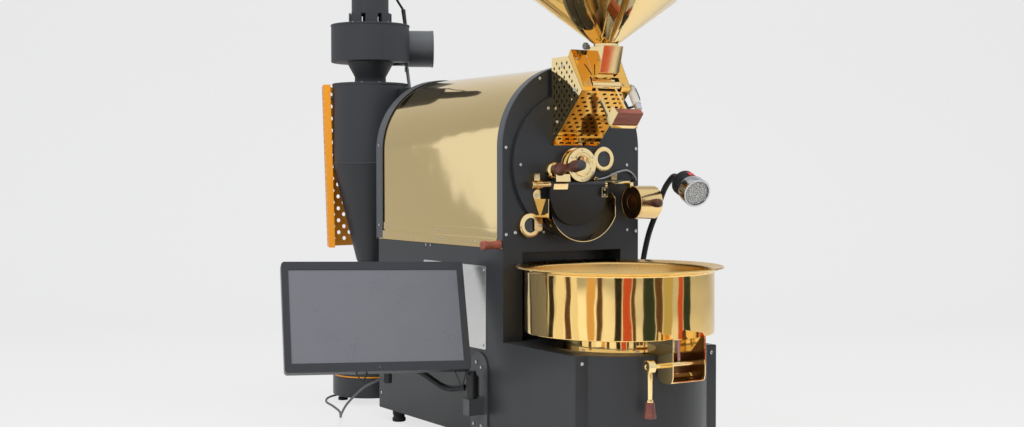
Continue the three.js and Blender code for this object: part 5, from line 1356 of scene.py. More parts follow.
@dataclass
class DrumFront(Assembly):
    """The drum's dark front wall with its hub, sight glasses, trier and probe."""

    axis_z: float = 573.0
    face_z: float = 573.3
    radius: float = 145.0
    front: float = -8.0
    gap: float = 0.3
    shaft_hole: float = 12.8
    bar_y: float = -26.0
    bar_z: float = 534.0
    bar_hole: float = 6.8
    hub_flange: float = 34.5
    hub_radius: float = 32.0
    upper_sight: Sight = Sight(66.7, 585.1, 25.0, 15.5, -16.0, -8.3)
    lower_sight: Sight = Sight(-107.8, 454.3, 24.0, 14.0, -12.0, -0.3)
    trier_at: Point3 = (-56.7, -14.0, 561.8)
    trier_tilt: float = 6.0
    probe_at: Point2 = (49.3, 543.9)
    face_screws: float = 129.0
    hub_screws: float = 29.3

    def build(self) -> None:
        """Makes the front wall's pieces."""
        self.build_face()
        self.build_hub()
        self.build_sights()
        self.build_trier()
        self.build_probe()

    def build_face(self) -> None:
        """The disc with its openings and the bar's two gold bearing blocks."""
        shop = self.shop
        face = Shells(shop)
        door = [(-55, 480), (-40, 466), (40, 466), (55, 480), (55, 526), (-55, 526)]
        feed = [(-40, 628), (40, 628), (40, 676), (-40, 676)]
        sight = self.upper_sight
        lean = math.tan(math.radians(self.trier_tilt)) * (self.trier_at[1] - self.front / 2)
        holes = [door, feed, circle_points(0, self.axis_z, self.shaft_hole),
            circle_points(sight.x, sight.z, sight.inner), circle_points(*self.probe_at, 3.0, 16),
            circle_points(self.trier_at[0], self.trier_at[2] + lean, 10.4)]
        face.prism(circle_points(0, self.face_z, self.radius, 144), self.front, -self.gap, "charcoal_coat", Axis.Y,
            holes=holes)
        face.fit("fine_drum_face", 0.8, "charcoal", "drum_face")
        blocks = Shells(shop)
        side = [(self.front + 0.4, self.bar_z - 7.5), (self.front + 0.4, 556), (self.front - 13, 556),
            *arc_points(self.bar_y, self.bar_z, 8.2, 60, 270, 18)]
        blocks.prism(side, -106, -93, "gold_satin", Axis.X, holes=[circle_points(
            self.bar_y, self.bar_z, self.bar_hole, 32)])
        blocks.box((87, 101), (self.front - 5, self.front + 0.4), (543, 557), "gold_satin")
        blocks.fit("bar_blocks", 0.8, "gold")
        self.screws.put((-99.5, self.front - 13, 550.5), (0, -1, 0), 2.8)
        self.screws.put((94, self.front - 5, 552), (0, -1, 0), 2.4)
        self.screws.ring(Axis.Y, (0, self.face_z), self.front, self.face_screws, (0, 60, 120, 180, 240), side=-1)

    def build_hub(self) -> None:
        """The gold housing over the shaft's end."""
        hub = Shells(self.shop)
        back = self.front - self.gap
        flange, r = self.hub_flange, self.hub_radius
        hub.turned([(self.shaft_hole, back), (flange, back), (flange, -11), (r - 3, -11.6), (r - 3, -27.6),
            (r + 2, -28), (r + 2.4, -29), (r + 2.4, -32.6), (r + 1.6, -33.8), (25.5, -34), (25, -33.2), (22.6, -33.2),
            (22, -34.6), (19.4, -35.4), (18.4, -34.4), (12, -32.8), (0, -32.2), (0, -27), (self.shaft_hole, -27)],
            "gold_polish", (0, self.axis_z), Axis.Y, 96)
        hub.fit("fine_hub_housing", 0.6, "gold", "hub_housing", angle=25)
        self.screws.ring(Axis.Y, (0, self.axis_z), -33.8, self.hub_screws, range(30, 390, 60), 1.9, -1)

    def build_sights(self) -> None:
        """Two gold rings, each with its glass."""
        for node, sizes in (("upper_sight_ring", self.upper_sight), ("lower_sight_ring", self.lower_sight)):
            x, z, outer, inner, front, back = sizes
            mid = (outer + inner) / 2
            ring = Shells(self.shop)
            ring.turned([(inner, back), (outer, back), (outer, front + 1.4), (outer - 1, front + 0.5),
                (mid + 2.5, front + 0.4), (mid + 2, front), (inner + 0.8, front), (inner, front + 0.9)],
                "gold_polish", (x, z), Axis.Y, 72)
            ring.fit(f"fine_{node}", 0.4, "gold", node, angle=25)
            glass = Shells(self.shop)
            glass.turned([(0, front + 3), (inner - 0.2, front + 3), (inner - 0.2, front + 5), (0, front + 5)],
                "sight_glass", (x, z), Axis.Y, 48)
            glass.fit(f"glass_of_{node}", 0.3, "screen")
        x, z, outer = self.lower_sight[:3]
        tab = Shells(self.shop)
        tab.prism(rounded_box(x + 8, x + 27, z - 12, z + 20, 6), -13.2, -12.1, "gold_satin", Axis.Y)
        tab.fit("sight_tab", 0.4, "gold")
        self.screws.put((x + 21, -13.2, z), (0, -1, 0), 2.8)
        for dx in (-30, 38):
            self.screws.put((x + dx, -0.2, z - 14), (0, -1, 0), 3.2)

    def build_trier(self) -> None:
        """Port, scoop and turned handle on their tilted axis."""
        tilt = Matrix.Translation(self.trier_at) @ Matrix.Rotation(-math.radians(self.trier_tilt), 4, "X")
        port = Shells(self.shop, tilt)
        port.turned([(9.8, 8), (15.5, 8), (17.6, 5), (18.5, 1.5), (18.1, -2), (17, -6), (15.2, -8.6), (12.8, -10),
            (9.8, -10)], "gold_polish", (0, 0), Axis.Y, 64)
        port.box((-10.5, 23.5), (-25, -20), (-25, -9.5), "gold_polish")
        port.box((-10.5, 23.5), (-20, -4), (-17, -14), "gold_polish")
        port.fit("fine_trier_port", 0.8, "gold", "trier_port", angle=25)
        scoop = Shells(self.shop, tilt)
        gutter = arc_points(0, 0, 8.5, 140, 400, 28) + arc_points(0, 0, 7.0, 400, 140, 28)
        scoop.prism(gutter, 20, 98, "steel_polish", Axis.Y)
        scoop.rod(8.5, (0, 97.5, 0), (0, 108, 0), "steel_polish", 7.0)
        scoop.rod(8.5, (0, -14, 0), (0, 20.5, 0), "steel_polish")
        scoop.fit("fine_trier_scoop", 0.4, "steel", "trier_scoop", body="trier")
        handle = Shells(self.shop, tilt)
        handle.grip(-14.3, -97.4, [(10, -14.3), (12.8, -19), (13, -27), (9.4, -36), (7.6, -47), (9, -62), (11.8, -76),
            (10.8, -88), (10, -97.4)], "dark_wood", (0, 0), Axis.Y, 56)
        handle.turned([(0, -97), (9.6, -97), (9.9, -98), (9.4, -101), (7, -102.6), (0, -103)], "dark_cap", (0, 0),
            Axis.Y, 48)
        handle.turned([(0, -14.1), (11.4, -14.1), (11.4, -16.6), (0, -16.6)], "gold_polish", (0, 0), Axis.Y, 48)
        handle.fit("fine_trier_handle", 0.4, "dark_wood", "trier_handle", angle=40, body="trier")

    def build_probe(self) -> None:
        """The probe's hexagonal gland and its braided lead."""
        x, z = self.probe_at
        back = self.front - self.gap
        probe = Shells(self.shop)
        probe.rod(2.5, (x, 55, z), (x, -12, z), "steel_polish", sides=20)
        probe.rod(6.0, (x, back, z), (x, -13.5, z), "gold_polish", sides=6)
        probe.rod(4.6, (x, -13, z), (x, -17.0, z), "gold_polish", sides=32)
        route = [(x, -15, z), (x + 8, -17, z + 1), (75.3, -15, 549), (103.1, -14, 559), (126, -14, 562),
            (143.9, -12, 552.6), (150, -11, 544), (151, -5, 542), (151, -0.5, 541.5)]
        probe.tube(route, 2.2, "silver_braid", 16, 8)
        probe.rod(4.6, (151, -0.3, 541.5), (151, -3.5, 541.5), "black_plastic", 3.4, 24)
        probe.fit("fine_probe", 0.3, "steel", "probe")


@dataclass
class DischargeDoor(Assembly):
    """The door on its bar, the gold weight with its knob, and the trough under it."""

    bar_y: float = -26.0
    bar_z: float = 534.0
    bar_radius: float = 6.0
    half: float = 64.5
    hood_x: Point2 = (-73.0, 58.0)
    front_tilt: float = 13.3
    stop_x: Point2 = (-67.2, -33.2)
    top: float = 534.2
    bottom: float = 452.0
    arc: float = 72.0
    weight_x: Point2 = (115.0, 170.0)
    weight_at: Point2 = (-43.5, 497.0)
    weight_radius: float = 34.0
    knob_x: float = 130.0
    knob_tip: float = -120.0
    trough_half: float = 78.0
    trough_left: float = -85.0
    trough_radius: float = 85.8
    trough_bottom: float = 420.0
    shoulder: float = 470.0
    trough_y: Point2 = (-40.0, -8.3)
    wall: float = 1.5

    def build(self) -> None:
        """Makes the door's and the trough's pieces."""
        self.build_door()
        self.build_weight()
        self.build_knob()
        self.build_trough()

    def build_door(self) -> None:
        """The round-bottomed door with its hood over the bar, its tilted front sheet, stop and strap."""
        shop = self.shop
        door = Shells(shop)
        low = arc_points(0, self.bottom + self.arc, self.arc, 206.4, 333.6, 48)
        door.prism([(-self.half, self.top), *low, (self.half, self.top)], -13, -8.6, "charcoal_coat", Axis.Y)
        hx0, hx1 = self.hood_x
        hood = [(self.bar_y + y, self.bar_z + z) for y, z in arc_points(0, 0, 6.9, 90, 200, 16)]
        hood += [(self.bar_y + y, self.bar_z + z) for y, z in arc_points(0, 0, 5.9, 200, 90, 16)]
        door.prism([(-10.6, 533), (-10.6, 540.9)] + hood + [(-12.4, 539.9), (-12.4, 533)], hx0, hx1, "charcoal_coat",
            Axis.X)
        tilted = Shells(shop, Matrix.Translation((0, -34, 540)) @ Matrix.Rotation(
            math.radians(self.front_tilt), 4, "X"))
        long = 1 / math.cos(math.radians(self.front_tilt))
        front = [(hx0, -7.5), (hx0, -30), *((x, (z - 540) * long) for x, z in low), (self.half, -38), (hx1, -7.5)]
        tilted.prism(front, 0, 1.8, "charcoal_coat", Axis.Y)
        door.add(tilted.points, tilted.faces, "charcoal_coat")
        stop = Shells(shop, tilted.local)
        stop.box(self.stop_x, (-1.0, 0.2), (-16, -4), "gold_polish")
        door.add(stop.points, stop.faces, "gold_polish")
        door.rod(self.bar_radius, (-112, self.bar_y, self.bar_z), (64, self.bar_y, self.bar_z), "gold_polish")
        door.rod(self.bar_radius + 1.4, (-116, self.bar_y, self.bar_z), (-112.5, self.bar_y, self.bar_z),
            "gold_polish")
        strap = [(hx1, 540.8), (hx1, 531), (90, 534.5), (self.weight_x[0] + 6, 537), (self.weight_x[0] + 6, 540.6)]
        door.prism(strap, -31, -24, "gold_polish", Axis.Y)
        door.box((self.weight_x[0] - 2, self.weight_x[0] + 6), (-42, -24), (527, 538), "gold_polish")
        door.box((47, 61.5), (-36, -34.1), (508, 528), "gold_polish")
        door.fit("fine_discharge_door", 0.6, "charcoal", "discharge_door", body="discharge_door")

    def build_weight(self) -> None:
        """The hollow round weight on the bar's end, its face painted dark as shade and reflection, and the screws of
        the door's small plate.
        """
        weight = Shells(self.shop)
        (x0, x1), (wy, wz), r = self.weight_x, self.weight_at, self.weight_radius
        # The face's dark brown is painted shade and painted reflection, not the metal's own colour.
        weight.turned([(0, x0 + 0.8), (14, x0 + 0.8), (15, x0 - 0.2), (17, x0 - 0.4), (19, x0 + 0.4),
            (r - 1.6, x0 + 0.4), (r - 1.6, x0 + 3), (0, x0 + 3)], "gold_painted_shade", (wy, wz), Axis.X, 96)
        weight.turned([(r - 1.6, x0 + 1.5), (r - 1.5, x0), (r - 0.6, x0), (r, x0 + 0.6), (r, x1 - 1.4),
            (r - 1.2, x1 - 0.2), (r - 3.5, x1), (r - 5, x1 - 1.5), (0, x1 - 1.5), (0, x1 - 3), (r - 1.6, x1 - 3)],
            "gold_satin", (wy, wz), Axis.X, 96)
        weight.fit("fine_door_weight", 0.4, "gold", "door_weight", angle=25, body="discharge_door")
        for z in (512.5, 523.5):
            self.screws.put((54, -36, z), (0, -1, 0), 2.2, body="discharge_door")

    def build_knob(self) -> None:
        """The turned wood knob under the weight."""
        knob = Shells(self.shop)
        wy, wz = self.weight_at
        start = wy - self.weight_radius - 0.3
        tip = self.knob_tip
        knob.grip(start, tip, [(5, start), (6, start - 8), (8.3, start - 22), (9, start - 31), (7.6, tip + 3),
            (4, tip + 0.5)], "dark_wood", (self.knob_x, wz), Axis.Y)
        knob.fit("fine_door_knob", 0.3, "red_wood", "door_knob", angle=45, body="discharge_door")

    def build_trough(self) -> None:
        """The bent channel with its mounting ears."""
        cz = self.trough_bottom + self.trough_radius
        outer = [(self.trough_left, 506), (self.trough_left, self.shoulder),
            *arc_points(0, cz, self.trough_radius, 205.4, 334.6, 64), (self.trough_half, self.shoulder),
            (self.trough_half, 506), (69, 517)]

        def inset(depth: float) -> list[Point2]:
            """Moves the channel's outline inwards.

            Args:
                depth: how far.

            Returns:
                The moved outline, in the same order.
            """
            line = []
            for x, z in outer:
                if z >= self.shoulder - 1:
                    line.append((x - math.copysign(depth, x), z - depth / 3))
                    continue
                d = math.hypot(x, z - cz)
                line.append((x * (d - depth) / d, cz + (z - cz) * (d - depth) / d))
            return line

        front, back = self.trough_y
        trough = Shells(self.shop)
        trough.prism(outer + inset(self.wall - 0.5)[::-1], front, back, "gold_mirror", Axis.Y)
        trough.prism(inset(self.wall - 0.6) + inset(self.wall)[::-1], front, back, "gold_satin", Axis.Y)
        left_ear = [(self.trough_left + 1, 524), *arc_points(-91, 514, 10.5, 90, 215, 14),
            (self.trough_left + 0.2, 468), (self.trough_left + 1, 468)]
        trough.prism(left_ear, -10.3, back, "gold_satin", Axis.Y)
        trough.prism(rounded_box(self.trough_half - 1, 92, 494, 512, 4), -10.3, back, "gold_polish", Axis.Y)
        trough.fit("fine_discharge_trough", 0.35, "gold", "discharge_trough")
        for x, z, radius in ((-93, 513, 3), (85.5, 500, 2.8)):
            self.screws.put((x, -10.3, z), (0, -1, 0), radius)


@dataclass
class Feed(Assembly):
    """Hopper, neck, feed box with its perforated guard, the yoke lever and the small barrel."""

    back: float = -8.3
    guard_half: float = 56.0
    guard_wall: float = 1.5
    corners: tuple[Point2, ...] = ((-8.3, 784.0), (-65.5, 784.0), (-113.5, 714.6), (-8.3, 611.6))
    chute_half: float = 46.0
    side_hole: tuple[float, float, float] = (3.0, 1.5, 0.0)
    side_pitch: Point2 = (17.5, 9.2)
    slope_hole: tuple[float, float, float] = (5.8, 0.6, 45.0)
    slope_pitch: Point2 = (18.5, 11.0)
    margin: float = 2.5
    neck_x: Point2 = (-24.0, 23.0)
    cover_out: Point2 = (3.6, 4.8)
    hopper_y: float = -113.0
    neck: float = 24.0
    cone: Point2 = (137.0, 890.0)
    rim: Point2 = (150.0, 898.0)
    hopper_top: float = 906.0
    hopper_bottom: float = 801.3
    sheet: float = 1.5
    yoke_at: Point2 = (-110.0, 727.0)
    yoke_radius: float = 8.0
    yoke_half: float = 33.0
    arm_way: Point2 = (-0.76, -0.65)
    face_turn: float = 60.0

    def on_arm(self, s: float, out: float) -> Point2:
        """A point along the yoke's arm and out from it, as y and z."""
        y, z = self.yoke_at
        return (y + self.arm_way[0] * s - self.arm_way[1] * out, z + self.arm_way[1] * s + self.arm_way[0] * out)

    def on_face(self, s: float, out: float) -> Point2:
        """A point up the feed box's sloping face and out from it, as y and z."""
        y, z = self.yoke_at
        t = math.radians(self.face_turn)
        return (y + math.cos(t) * s - math.sin(t) * out, z + math.sin(t) * s + math.cos(t) * out)

    def sheet_on(self, name: str, corners: Sequence[Vector], finish: str, hole: tuple[float, float, float],
            pitch: Point2) -> Piece:
        """Makes one flat perforated sheet.

        Args:
            name: the object's name.
            corners: its corners in millimetres, seen from its outer side.
            finish: the finish's name.
            hole: radius in millimetres, stretch and turn in degrees of each four-sided hole.
            pitch: distance between holes across and up, in millimetres.

        Returns:
            The sheet as its own object.
        """
        return perforated_sheet(self.shop, self.trees, name, corners, finish, self.guard_wall, hole[0], 4, pitch,
            self.margin, hole[1], hole[2])

    def build(self) -> None:
        """Makes the feed's pieces."""
        self.build_guard()
        self.build_chute()
        self.build_hopper()
        self.build_yoke()
        self.build_barrel()

    def build_guard(self) -> None:
        """Two perforated side panels and the perforated slope between them."""
        h = self.guard_half
        left = [Vector((-h, y, z)) for y, z in self.corners]
        right = [Vector((h, y, z)) for y, z in reversed(self.corners)]
        low, high = self.corners[3], self.corners[2]
        slope = [Vector((-h, *high)), Vector((h, *high)), Vector((h, *low)), Vector((-h, *low))]
        sheets = [self.sheet_on("guard_left", left, "gold_mirror", self.side_hole, self.side_pitch),
            self.sheet_on("guard_right", right, "gold_mirror", self.side_hole, self.side_pitch),
            self.sheet_on("guard_slope", slope, "gold_deep", self.slope_hole, self.slope_pitch)]
        guard = join_pieces(sheets, "fine_feed_guard")
        self.shop.install(guard, "roaster", "gold", "feed_guard")
        for y, z in ((-86.6, 717.4), (-26.2, 657.9), (-45.4, 765.5)):
            for side in (-1, 1):
                self.screws.put((side * h, y, z), (side, 0, 0), 3.2)

    def build_chute(self) -> None:
        """The dark chute inside the guard, the neck, the cover plates beside and above the neck, and a dark line
        painted on the cover as a reflection.
        """
        face = self.on_face
        shop, half, back = self.shop, self.chute_half, self.back
        low, high = self.cover_out
        chute = Shells(shop)
        side = [(back, 781), (-66, 781), face(15, 0.8), (-100, 716), (-96, 706), (back, 624)]
        for x0, x1 in ((-half, -half + 1.5), (half - 1.5, half)):
            chute.prism(side, x0, x1, "charcoal_coat", Axis.X)
        for (y0, z0), (y1, z1) in zip(side[2:], side[3:]):
            chute.prism([(y0, z0), (y1, z1), (y1 + 1.2, z1 + 1.2), (y0 + 1.2, z0 + 1.2)], -half + 1.4, half - 1.4,
                "charcoal_coat", Axis.X)
        chute.prism([(back, 781), (-66, 781), (-65, 779.5), (back, 779.5)], -half + 1.4, half - 1.4, "charcoal_coat",
            Axis.X)
        chute.fit("fine_feed_chute", 0.5, "gold", "feed_chute")
        neck = Shells(shop)
        x0, x1 = self.neck_x
        outer = [(-139, 801), (-88, 801), face(66, high), face(15, high), (-125, 750)]
        for edge in (x0, x1 - 1.5):
            neck.prism(outer, edge, edge + 1.5, "gold_mirror", Axis.X)
        front = [(-139, 801), (-125, 750), face(15, high), face(17, high + 0.5), (-123.4, 751), (-137.4, 801)]
        neck.prism(front, x0 + 1.4, x1 - 1.4, "gold_mirror", Axis.X)
        rear = [(-88, 801), face(66, high), face(64, high), (-89.5, 801)]
        neck.prism(rear, x0 + 1.4, x1 - 1.4, "gold_mirror", Axis.X)
        h = self.guard_half
        cover_from, cover_to, neck_top = -8, 77.5, 66
        for side_x, inner_x in ((-h, x0 - 0.2), (h, x1 + 0.2)):
            near = 34.5 if side_x > 0 else -34.5
            for a, b, s0, s1 in ((side_x, near, cover_from, 15), (side_x, inner_x, 15, neck_top)):
                plate = [face(s0, high), face(s1, high), face(s1, low), face(s0, low)]
                neck.prism(plate, min(a, b), max(a, b), "gold_deep", Axis.X)
            flange = [face(cover_from, high), face(cover_to, high), face(cover_to, -2), (-65.9, 784.4),
                (-113.6, 715.4)]
            foot = [face(cover_from, high), face(cover_from, low), (-112.2, 715.6), (-114, 714.8)]
            neck.prism(foot, min(side_x, near), max(side_x, near), "gold_deep", Axis.X)
            edge = side_x if side_x < 0 else side_x - 1.4
            neck.prism(flange, edge, edge + 1.4, "gold_deep", Axis.X)
        top = [face(neck_top, high), face(cover_to, high), face(cover_to, low), face(neck_top, low)]
        neck.prism(top, -h, h, "gold_deep", Axis.X)
        neck.fit("fine_hopper_neck", 0.4, "gold", "hopper_neck")
        # A thin black rod on the cover: a painted reflection of the dark drum face, drawn as a dark line.
        slot = Shells(shop)
        (y0, z0), (y1, z1) = face(44, high + 0.1), face(20, high + 0.1)
        slot.rod(0.9, (-36, y0, z0), (-27.5, y1, z1), "black_rubber", sides=12)
        slot.fit("cover_painted_reflection", 0, "black")
        t = math.radians(self.face_turn)
        for x, up, radius in ((-50, 56, 2.6), (-42, 0, 2.8), (46, 56, 2.6), (42, 0, 2.8)):
            self.screws.put((x, *face(up, high)), (0, -math.sin(t), math.cos(t)), radius)

    def build_hopper(self) -> None:
        """The open cone with its rolled rim and seam, and the grey knob behind the neck."""
        (cone_r, cone_z), (rim_r, rim_z) = self.cone, self.rim
        s, top, low = self.sheet, self.hopper_top, self.hopper_bottom
        hopper = Shells(self.shop)
        hopper.turned([(self.neck - 4, low), (self.neck, low), (self.neck, low + 4.4), (self.neck + 3, low + 6.6),
            (cone_r, cone_z), (rim_r - 0.4, rim_z), (rim_r, rim_z + 1.4), (rim_r, top - 0.8), (rim_r - 0.8, top),
            (rim_r - s - 0.6, top), (rim_r - s - 1, rim_z + 2), (cone_r - s, cone_z + 1.4),
            (self.neck - 2, low + 6.9), (self.neck - 4, low + 4)], "gold_mirror", (0, self.hopper_y), sides=160)
        lean = math.atan2(cone_z - low - 8, cone_r - self.neck - 3)
        for turn in (-24, 156):
            seam = Matrix.Translation((0, self.hopper_y, 0)) @ Matrix.Rotation(math.radians(turn), 4, "Z")
            strip = Shells(self.shop, seam)
            mid_r, mid_z = (cone_r + self.neck + 3) / 2, (cone_z + low + 6.6) / 2
            length = math.hypot(cone_r - self.neck, cone_z - low) * 0.49
            tip, out = (math.cos(lean) * length, math.sin(lean) * length), (math.sin(lean), -math.cos(lean))
            ends = [(mid_r - tip[0], mid_z - tip[1]), (mid_r + tip[0], mid_z + tip[1])]
            loop = [ends[0], ends[1], (ends[1][0] + 0.7 * out[0], ends[1][1] + 0.7 * out[1]),
                (ends[0][0] + 0.7 * out[0], ends[0][1] + 0.7 * out[1])]
            strip.prism(loop, -1.6, 1.6, "gold_mirror", Axis.Y)
            hopper.add(strip.points, strip.faces, "gold_mirror")
        hopper.fit("fine_hopper", 0.4, "gold", "hopper", angle=40)
        knob = Shells(self.shop)
        knob.rod(2.5, (-17, -82, 803.5), (-23, -82, 803.5), "steel_polish", sides=20)
        knob.turned([(0, -30), (6, -30), (7, -28.5), (7, -23.5), (5.6, -22), (0, -22)], "grey_paint", (-82, 803.5),
            Axis.X, 18)
        knob.fit("neck_knob", 0.5, "grey")

    def build_yoke(self) -> None:
        """The pivot tube, the two arms, the flap and the wooden bar with its gold strip."""
        face, arm = self.on_face, self.on_arm
        shop = self.shop
        (y, z), r, h = self.yoke_at, self.yoke_radius, self.yoke_half
        yoke = Shells(shop)
        yoke.turned([(0, -h), (r - 1, -h), (r, -h + 1), (r, h - 1), (r - 1, h), (0, h)], "gold_polish", (y, z),
            Axis.X, 56)
        for x0, x1 in ((-30, -26), (15, 20)):
            bar = [arm(0, 4), arm(92, 21), arm(93, 12), arm(0, -4)]
            yoke.prism(bar, x0, x1, "gold_polish", Axis.X)
        flap = [face(0, 0.8), face(62, 0.8), face(62, -1.2), face(0, -1.2)]
        yoke.prism(flap, -27, 27, "gold_mirror", Axis.X)
        strip = [arm(88.5, 22), arm(106, 22), arm(106, 15.2), arm(88.5, 15.2)]
        yoke.prism(strip, -h, 27, "gold_mirror", Axis.X)
        side = [arm(84, 20), arm(104, 20), arm(104, -14), arm(84, -14)]
        yoke.prism(side, -35.2, -33.2, "gold_polish", Axis.X)
        yoke.fit("fine_feed_yoke", 0.5, "gold", "feed_yoke", body="feed_yoke")
        bar = Shells(shop)
        outline = [arm(90.3, 15), arm(105, 15), arm(105, -14), arm(90.3, -14)]
        bar.prism(outline, -h, 27, "terracotta_wood", Axis.X)
        bar.fit("fine_yoke_bar", 2.2, "red_wood", "yoke_bar", angle=30, segments=3, body="feed_yoke")

    def build_barrel(self) -> None:
        """The small pale barrel with its black lead."""
        barrel = Shells(self.shop)
        start, end = Vector((66, -103, 726)), Vector((66, -132, 680))
        way = (end - start).normalized()
        barrel.rod(7.6, start, start + way * 6, "steel_polish", 8.3)
        barrel.rod(8.3, start + way * 6, end - way * 12, "white_plastic")
        barrel.rod(7.2, end - way * 12.4, end, "steel_polish", 6.4)
        route = [(66, -104, 724), (69, -101, 729), (74, -104, 726), (77, -112, 712), (77, -118, 699), (74, -112, 690),
            (68, -90, 684), (62, -60, 676), (60, -25, 668), (60, -8.3, 667.5)]
        barrel.tube(route, 2.2, "black_lead", 16, 8)
        barrel.fit("fine_feed_sensor", 0.6, "steel", "feed_sensor")


def join_pieces(pieces: Sequence[Piece], name: str) -> Piece:
    """Joins finished objects into one, with the materials they share listed once.

    Args:
        pieces: the objects, which are removed.
        name: the new object's name.

    Returns:
        The joined object.
    """
    materials: list[Material] = []
    work = bmesh.new()
    for piece in pieces:
        start = len(work.faces)
        work.from_mesh(piece.data)
        work.faces.ensure_lookup_table()
        for face in work.faces[start:]:
            material = piece.data.materials[face.material_index]
            if material not in materials:
                materials.append(material)
            face.material_index = materials.index(material)
    mesh = bpy.data.meshes.new(name)
    work.to_mesh(mesh)
    work.free()
    for material in materials:
        mesh.materials.append(material)
    for piece in pieces:
        bpy.data.objects.remove(piece)
    return new_object(name, mesh)


def perforated_sheet(shop: Workshop, trees: PatternTrees, name: str, corners: Sequence[Vector], finish: str,
        thick: float, hole: float, sides: int, pitch: Point2, margin: float, stretch: float = 1.0,
        turn_hole: float = 0.0) -> Piece:
    """Makes a flat perforated sheet between corners.

    Args:
        shop: the workshop.
        trees: the pattern trees.
        name: the object's name.
        corners: its corners in millimetres; the first to the second gives the rows' direction.
        finish: the finish's name.
        thick: thickness in millimetres, away from the side where the corners run anticlockwise.
        hole: the holes' radius in millimetres.
        sides: sides of a hole.
        pitch: distance between holes across and up, in millimetres.
        margin: plain edge in millimetres.
        stretch: how much taller than wide a hole is.
        turn_hole: the turn of each hole in degrees.

    Returns:
        The sheet as an object at the origin.
    """
    across = (corners[1] - corners[0]).normalized()
    out = across.cross(corners[-1] - corners[0]).normalized()
    up = out.cross(across)
    turn = Matrix((across, up, out)).transposed().to_4x4()
    start = Matrix.Translation(corners[0]) @ turn
    flat = [(start.inverted() @ c) * MM for c in corners]
    seed = loop_mesh(f"{name}_outline", [[Vector((p.x, p.y / stretch, 0)) for p in flat]])
    spot = shop.to_row @ start @ Matrix.Diagonal((1 / MM, stretch / MM, 1 / MM, 1))
    return run_tree(trees.perforated, seed, name, {"Hole Radius": hole * MM, "Hole Sides": sides,
        "Pitch Across": pitch[0] * MM, "Pitch Up": pitch[1] * MM / stretch,
        "Hole Turn": (0.0, 0.0, math.radians(turn_hole)), "Margin": margin * MM, "Thickness": thick * MM,
        "Material": shop.finish[finish]}, spot)


